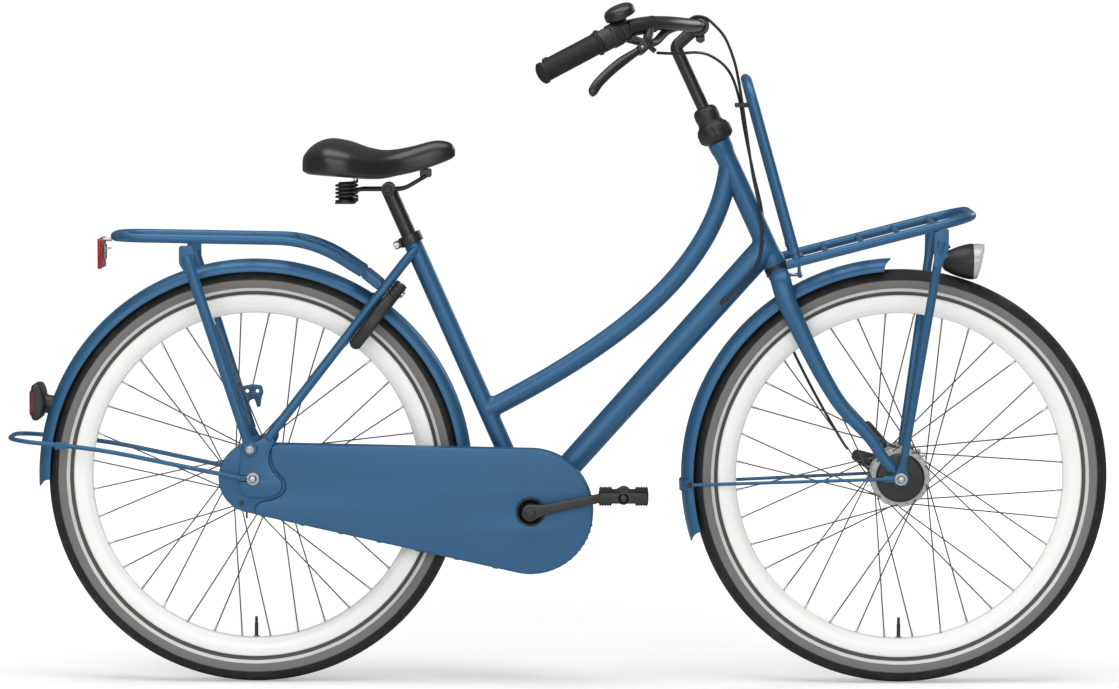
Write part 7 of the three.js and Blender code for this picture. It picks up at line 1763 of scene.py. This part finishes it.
class BikeLook(PropertyGroup):
    paint: FloatVectorProperty(name="Paint", description="Frame paint in picture values",
                               default=(50, 96, 133))
    black: FloatVectorProperty(name="Black", description="Black parts in picture values",
                               default=(30, 30, 31))
    sidewall: FloatVectorProperty(name="Sidewall", description="Tyre side in picture values",
                                  default=(118, 117, 115))
    tread: FloatVectorProperty(name="Tread", description="Tyre tread in picture values", default=(20, 20, 20))
    paint_roughness: FloatProperty(name="Paint roughness", description="Sheen of the paint", default=0.4,
                                   min=0, max=1)


class BikeLight(PropertyGroup):
    overhead: FloatProperty(name="Overhead", description="Power of the panel above", default=105.0,
                            unit="POWER")
    side: FloatProperty(name="Side", description="Power of the panel beside the camera", default=35.0,
                        unit="POWER")
    front: FloatProperty(name="Front", description="Power of the panel over the camera", default=210.0,
                         unit="POWER")
    back: FloatProperty(name="Back", description="Power of the panel behind", default=30.0, unit="POWER")
    sky: FloatProperty(name="Sky", description="Strength of the light from all round", default=0.17)
    distance: FloatProperty(name="Distance", description="Camera to the bike's plane", default=9.00,
                            unit="LENGTH")
    height: FloatProperty(name="Height", description="Camera above the floor", default=1.220, unit="LENGTH")
    aside: FloatProperty(name="Aside", description="Camera's place along the bike", default=0.130,
                         unit="LENGTH")
    tilt: FloatProperty(name="Tilt", description="Camera's downward tilt in degrees", default=4.000)
    pan: FloatProperty(name="Pan", description="Camera's turn towards the rear in degrees", default=0.807)
    lens: FloatProperty(name="Lens", description="Focal length in millimetres", default=166.47)


SHELF = {}


def shelf(context):
    """Finishes are made once and shared by all the pieces."""
    if not SHELF:
        SHELF.update(make_finishes(PlainLook(context.scene.bike_look)))
    return SHELF


class PlainLook:
    """The look's colours as plain arrays."""

    def __init__(self, look):
        self.paint, self.black = np.array(look.paint), np.array(look.black)
        self.sidewall, self.tread = np.array(look.sidewall), np.array(look.tread)
        self.paint_roughness = look.paint_roughness


class MakeWheels(Operator):
    """Tyres, rims, laced hubs and valves"""

    bl_idname, bl_label = "bike.wheels", "Wheels"

    def execute(self, context):
        make_wheels(shelf(context), context.scene.bike_sizes)
        return {"FINISHED"}


class MakeFrame(Operator):
    """Tubes, stays and the seat clamp"""

    bl_idname, bl_label = "bike.frame", "Frame"

    def execute(self, context):
        make_frame(shelf(context))
        carry_over(shelf(context))
        return {"FINISHED"}


class MakeFork(Operator):
    """Fork, wheel axles and the front brake"""

    bl_idname, bl_label = "bike.fork", "Fork"

    def execute(self, context):
        looks = shelf(context)
        make_fork(looks)
        axle_set("rear_axle", "frame", REAR_AXLE, REAR_FACE + FIT + 2.6, looks)
        axle_set("front_axle", "steering", FRONT_AXLE, FRONT_FACE + FIT + 5 + FIT + 2.6, looks)
        make_brake(looks)
        return {"FINISHED"}


class MakeGuards(Operator):
    """Fenders, their rods and the rear guard loop"""

    bl_idname, bl_label = "bike.guards", "Fenders"

    def execute(self, context):
        make_fenders(shelf(context))
        return {"FINISHED"}


class MakeDrive(Operator):
    """Chaincase, cranks, pedals and the side stand"""

    bl_idname, bl_label = "bike.drive", "Drive"

    def execute(self, context):
        make_case(shelf(context))
        make_cranks(shelf(context))
        make_stand(shelf(context))
        return {"FINISHED"}


class MakeCarriers(Operator):
    """Both carriers with their struts"""

    bl_idname, bl_label = "bike.carriers", "Carriers"

    def execute(self, context):
        make_rear_carrier(shelf(context))
        make_front_carrier(shelf(context))
        return {"FINISHED"}


class MakeLights(Operator):
    """Headlight, rear light and reflector"""

    bl_idname, bl_label = "bike.lights", "Lights"

    def execute(self, context):
        make_lights(shelf(context))
        return {"FINISHED"}


class MakeSeat(Operator):
    """Saddle, coils, rails and seatpost"""

    bl_idname, bl_label = "bike.seat", "Seat"

    def execute(self, context):
        make_saddle(shelf(context))
        return {"FINISHED"}


class MakeCockpit(Operator):
    """Handlebar, stem, grips, shifter, lever and bell"""

    bl_idname, bl_label = "bike.cockpit", "Cockpit"

    def execute(self, context):
        make_handlebar(shelf(context))
        make_grips(shelf(context))
        make_controls(shelf(context))
        return {"FINISHED"}


class MakeLock(Operator):
    """Ring lock and its shackle"""

    bl_idname, bl_label = "bike.lock", "Ring lock"

    def execute(self, context):
        make_lock(shelf(context))
        return {"FINISHED"}


class MakeCables(Operator):
    """Brake cable and both parts of the shift cable"""

    bl_idname, bl_label = "bike.cables", "Cables"

    def execute(self, context):
        make_cables(shelf(context))
        return {"FINISHED"}


class MakeStage(Operator):
    """Floor, lamps, sky and camera"""

    bl_idname, bl_label = "bike.stage", "Stage"

    def execute(self, context):
        make_stage(context.scene.bike_light)
        return {"FINISHED"}


OPERATORS = (MakeWheels, MakeFrame, MakeFork, MakeGuards, MakeDrive, MakeCarriers, MakeLights, MakeSeat,
             MakeCockpit, MakeLock,
             MakeCables, MakeStage)


class BikePanel(Panel):
    bl_idname, bl_label = "VIEW3D_PT_city_bike", "City Bike"
    bl_space_type, bl_region_type, bl_category = "VIEW_3D", "UI", "City Bike"

    def draw(self, context):
        for group in (context.scene.bike_sizes, context.scene.bike_look, context.scene.bike_light):
            box = self.layout.box()
            for name in group.__annotations__:
                box.prop(group, name)
        for operator in OPERATORS:
            self.layout.operator(operator.bl_idname)


CLASSES = (BikeSizes, BikeLook, BikeLight, *OPERATORS, BikePanel)


def register():
    for each in CLASSES:
        bpy.utils.register_class(each)
    bpy.types.Scene.bike_sizes = PointerProperty(type=BikeSizes)
    bpy.types.Scene.bike_look = PointerProperty(type=BikeLook)
    bpy.types.Scene.bike_light = PointerProperty(type=BikeLight)


def unregister():
    for name in ("bike_sizes", "bike_look", "bike_light"):
        delattr(bpy.types.Scene, name)
    for each in reversed(CLASSES):
        bpy.utils.unregister_class(each)


def main():
    register()
    for operator in OPERATORS:
        group, name = operator.bl_idname.split(".")
        if getattr(getattr(bpy.ops, group), name)() != {"FINISHED"}:
            raise RuntimeError(f"{operator.bl_label} didn't finish")


if __name__ == "__main__":
    main()
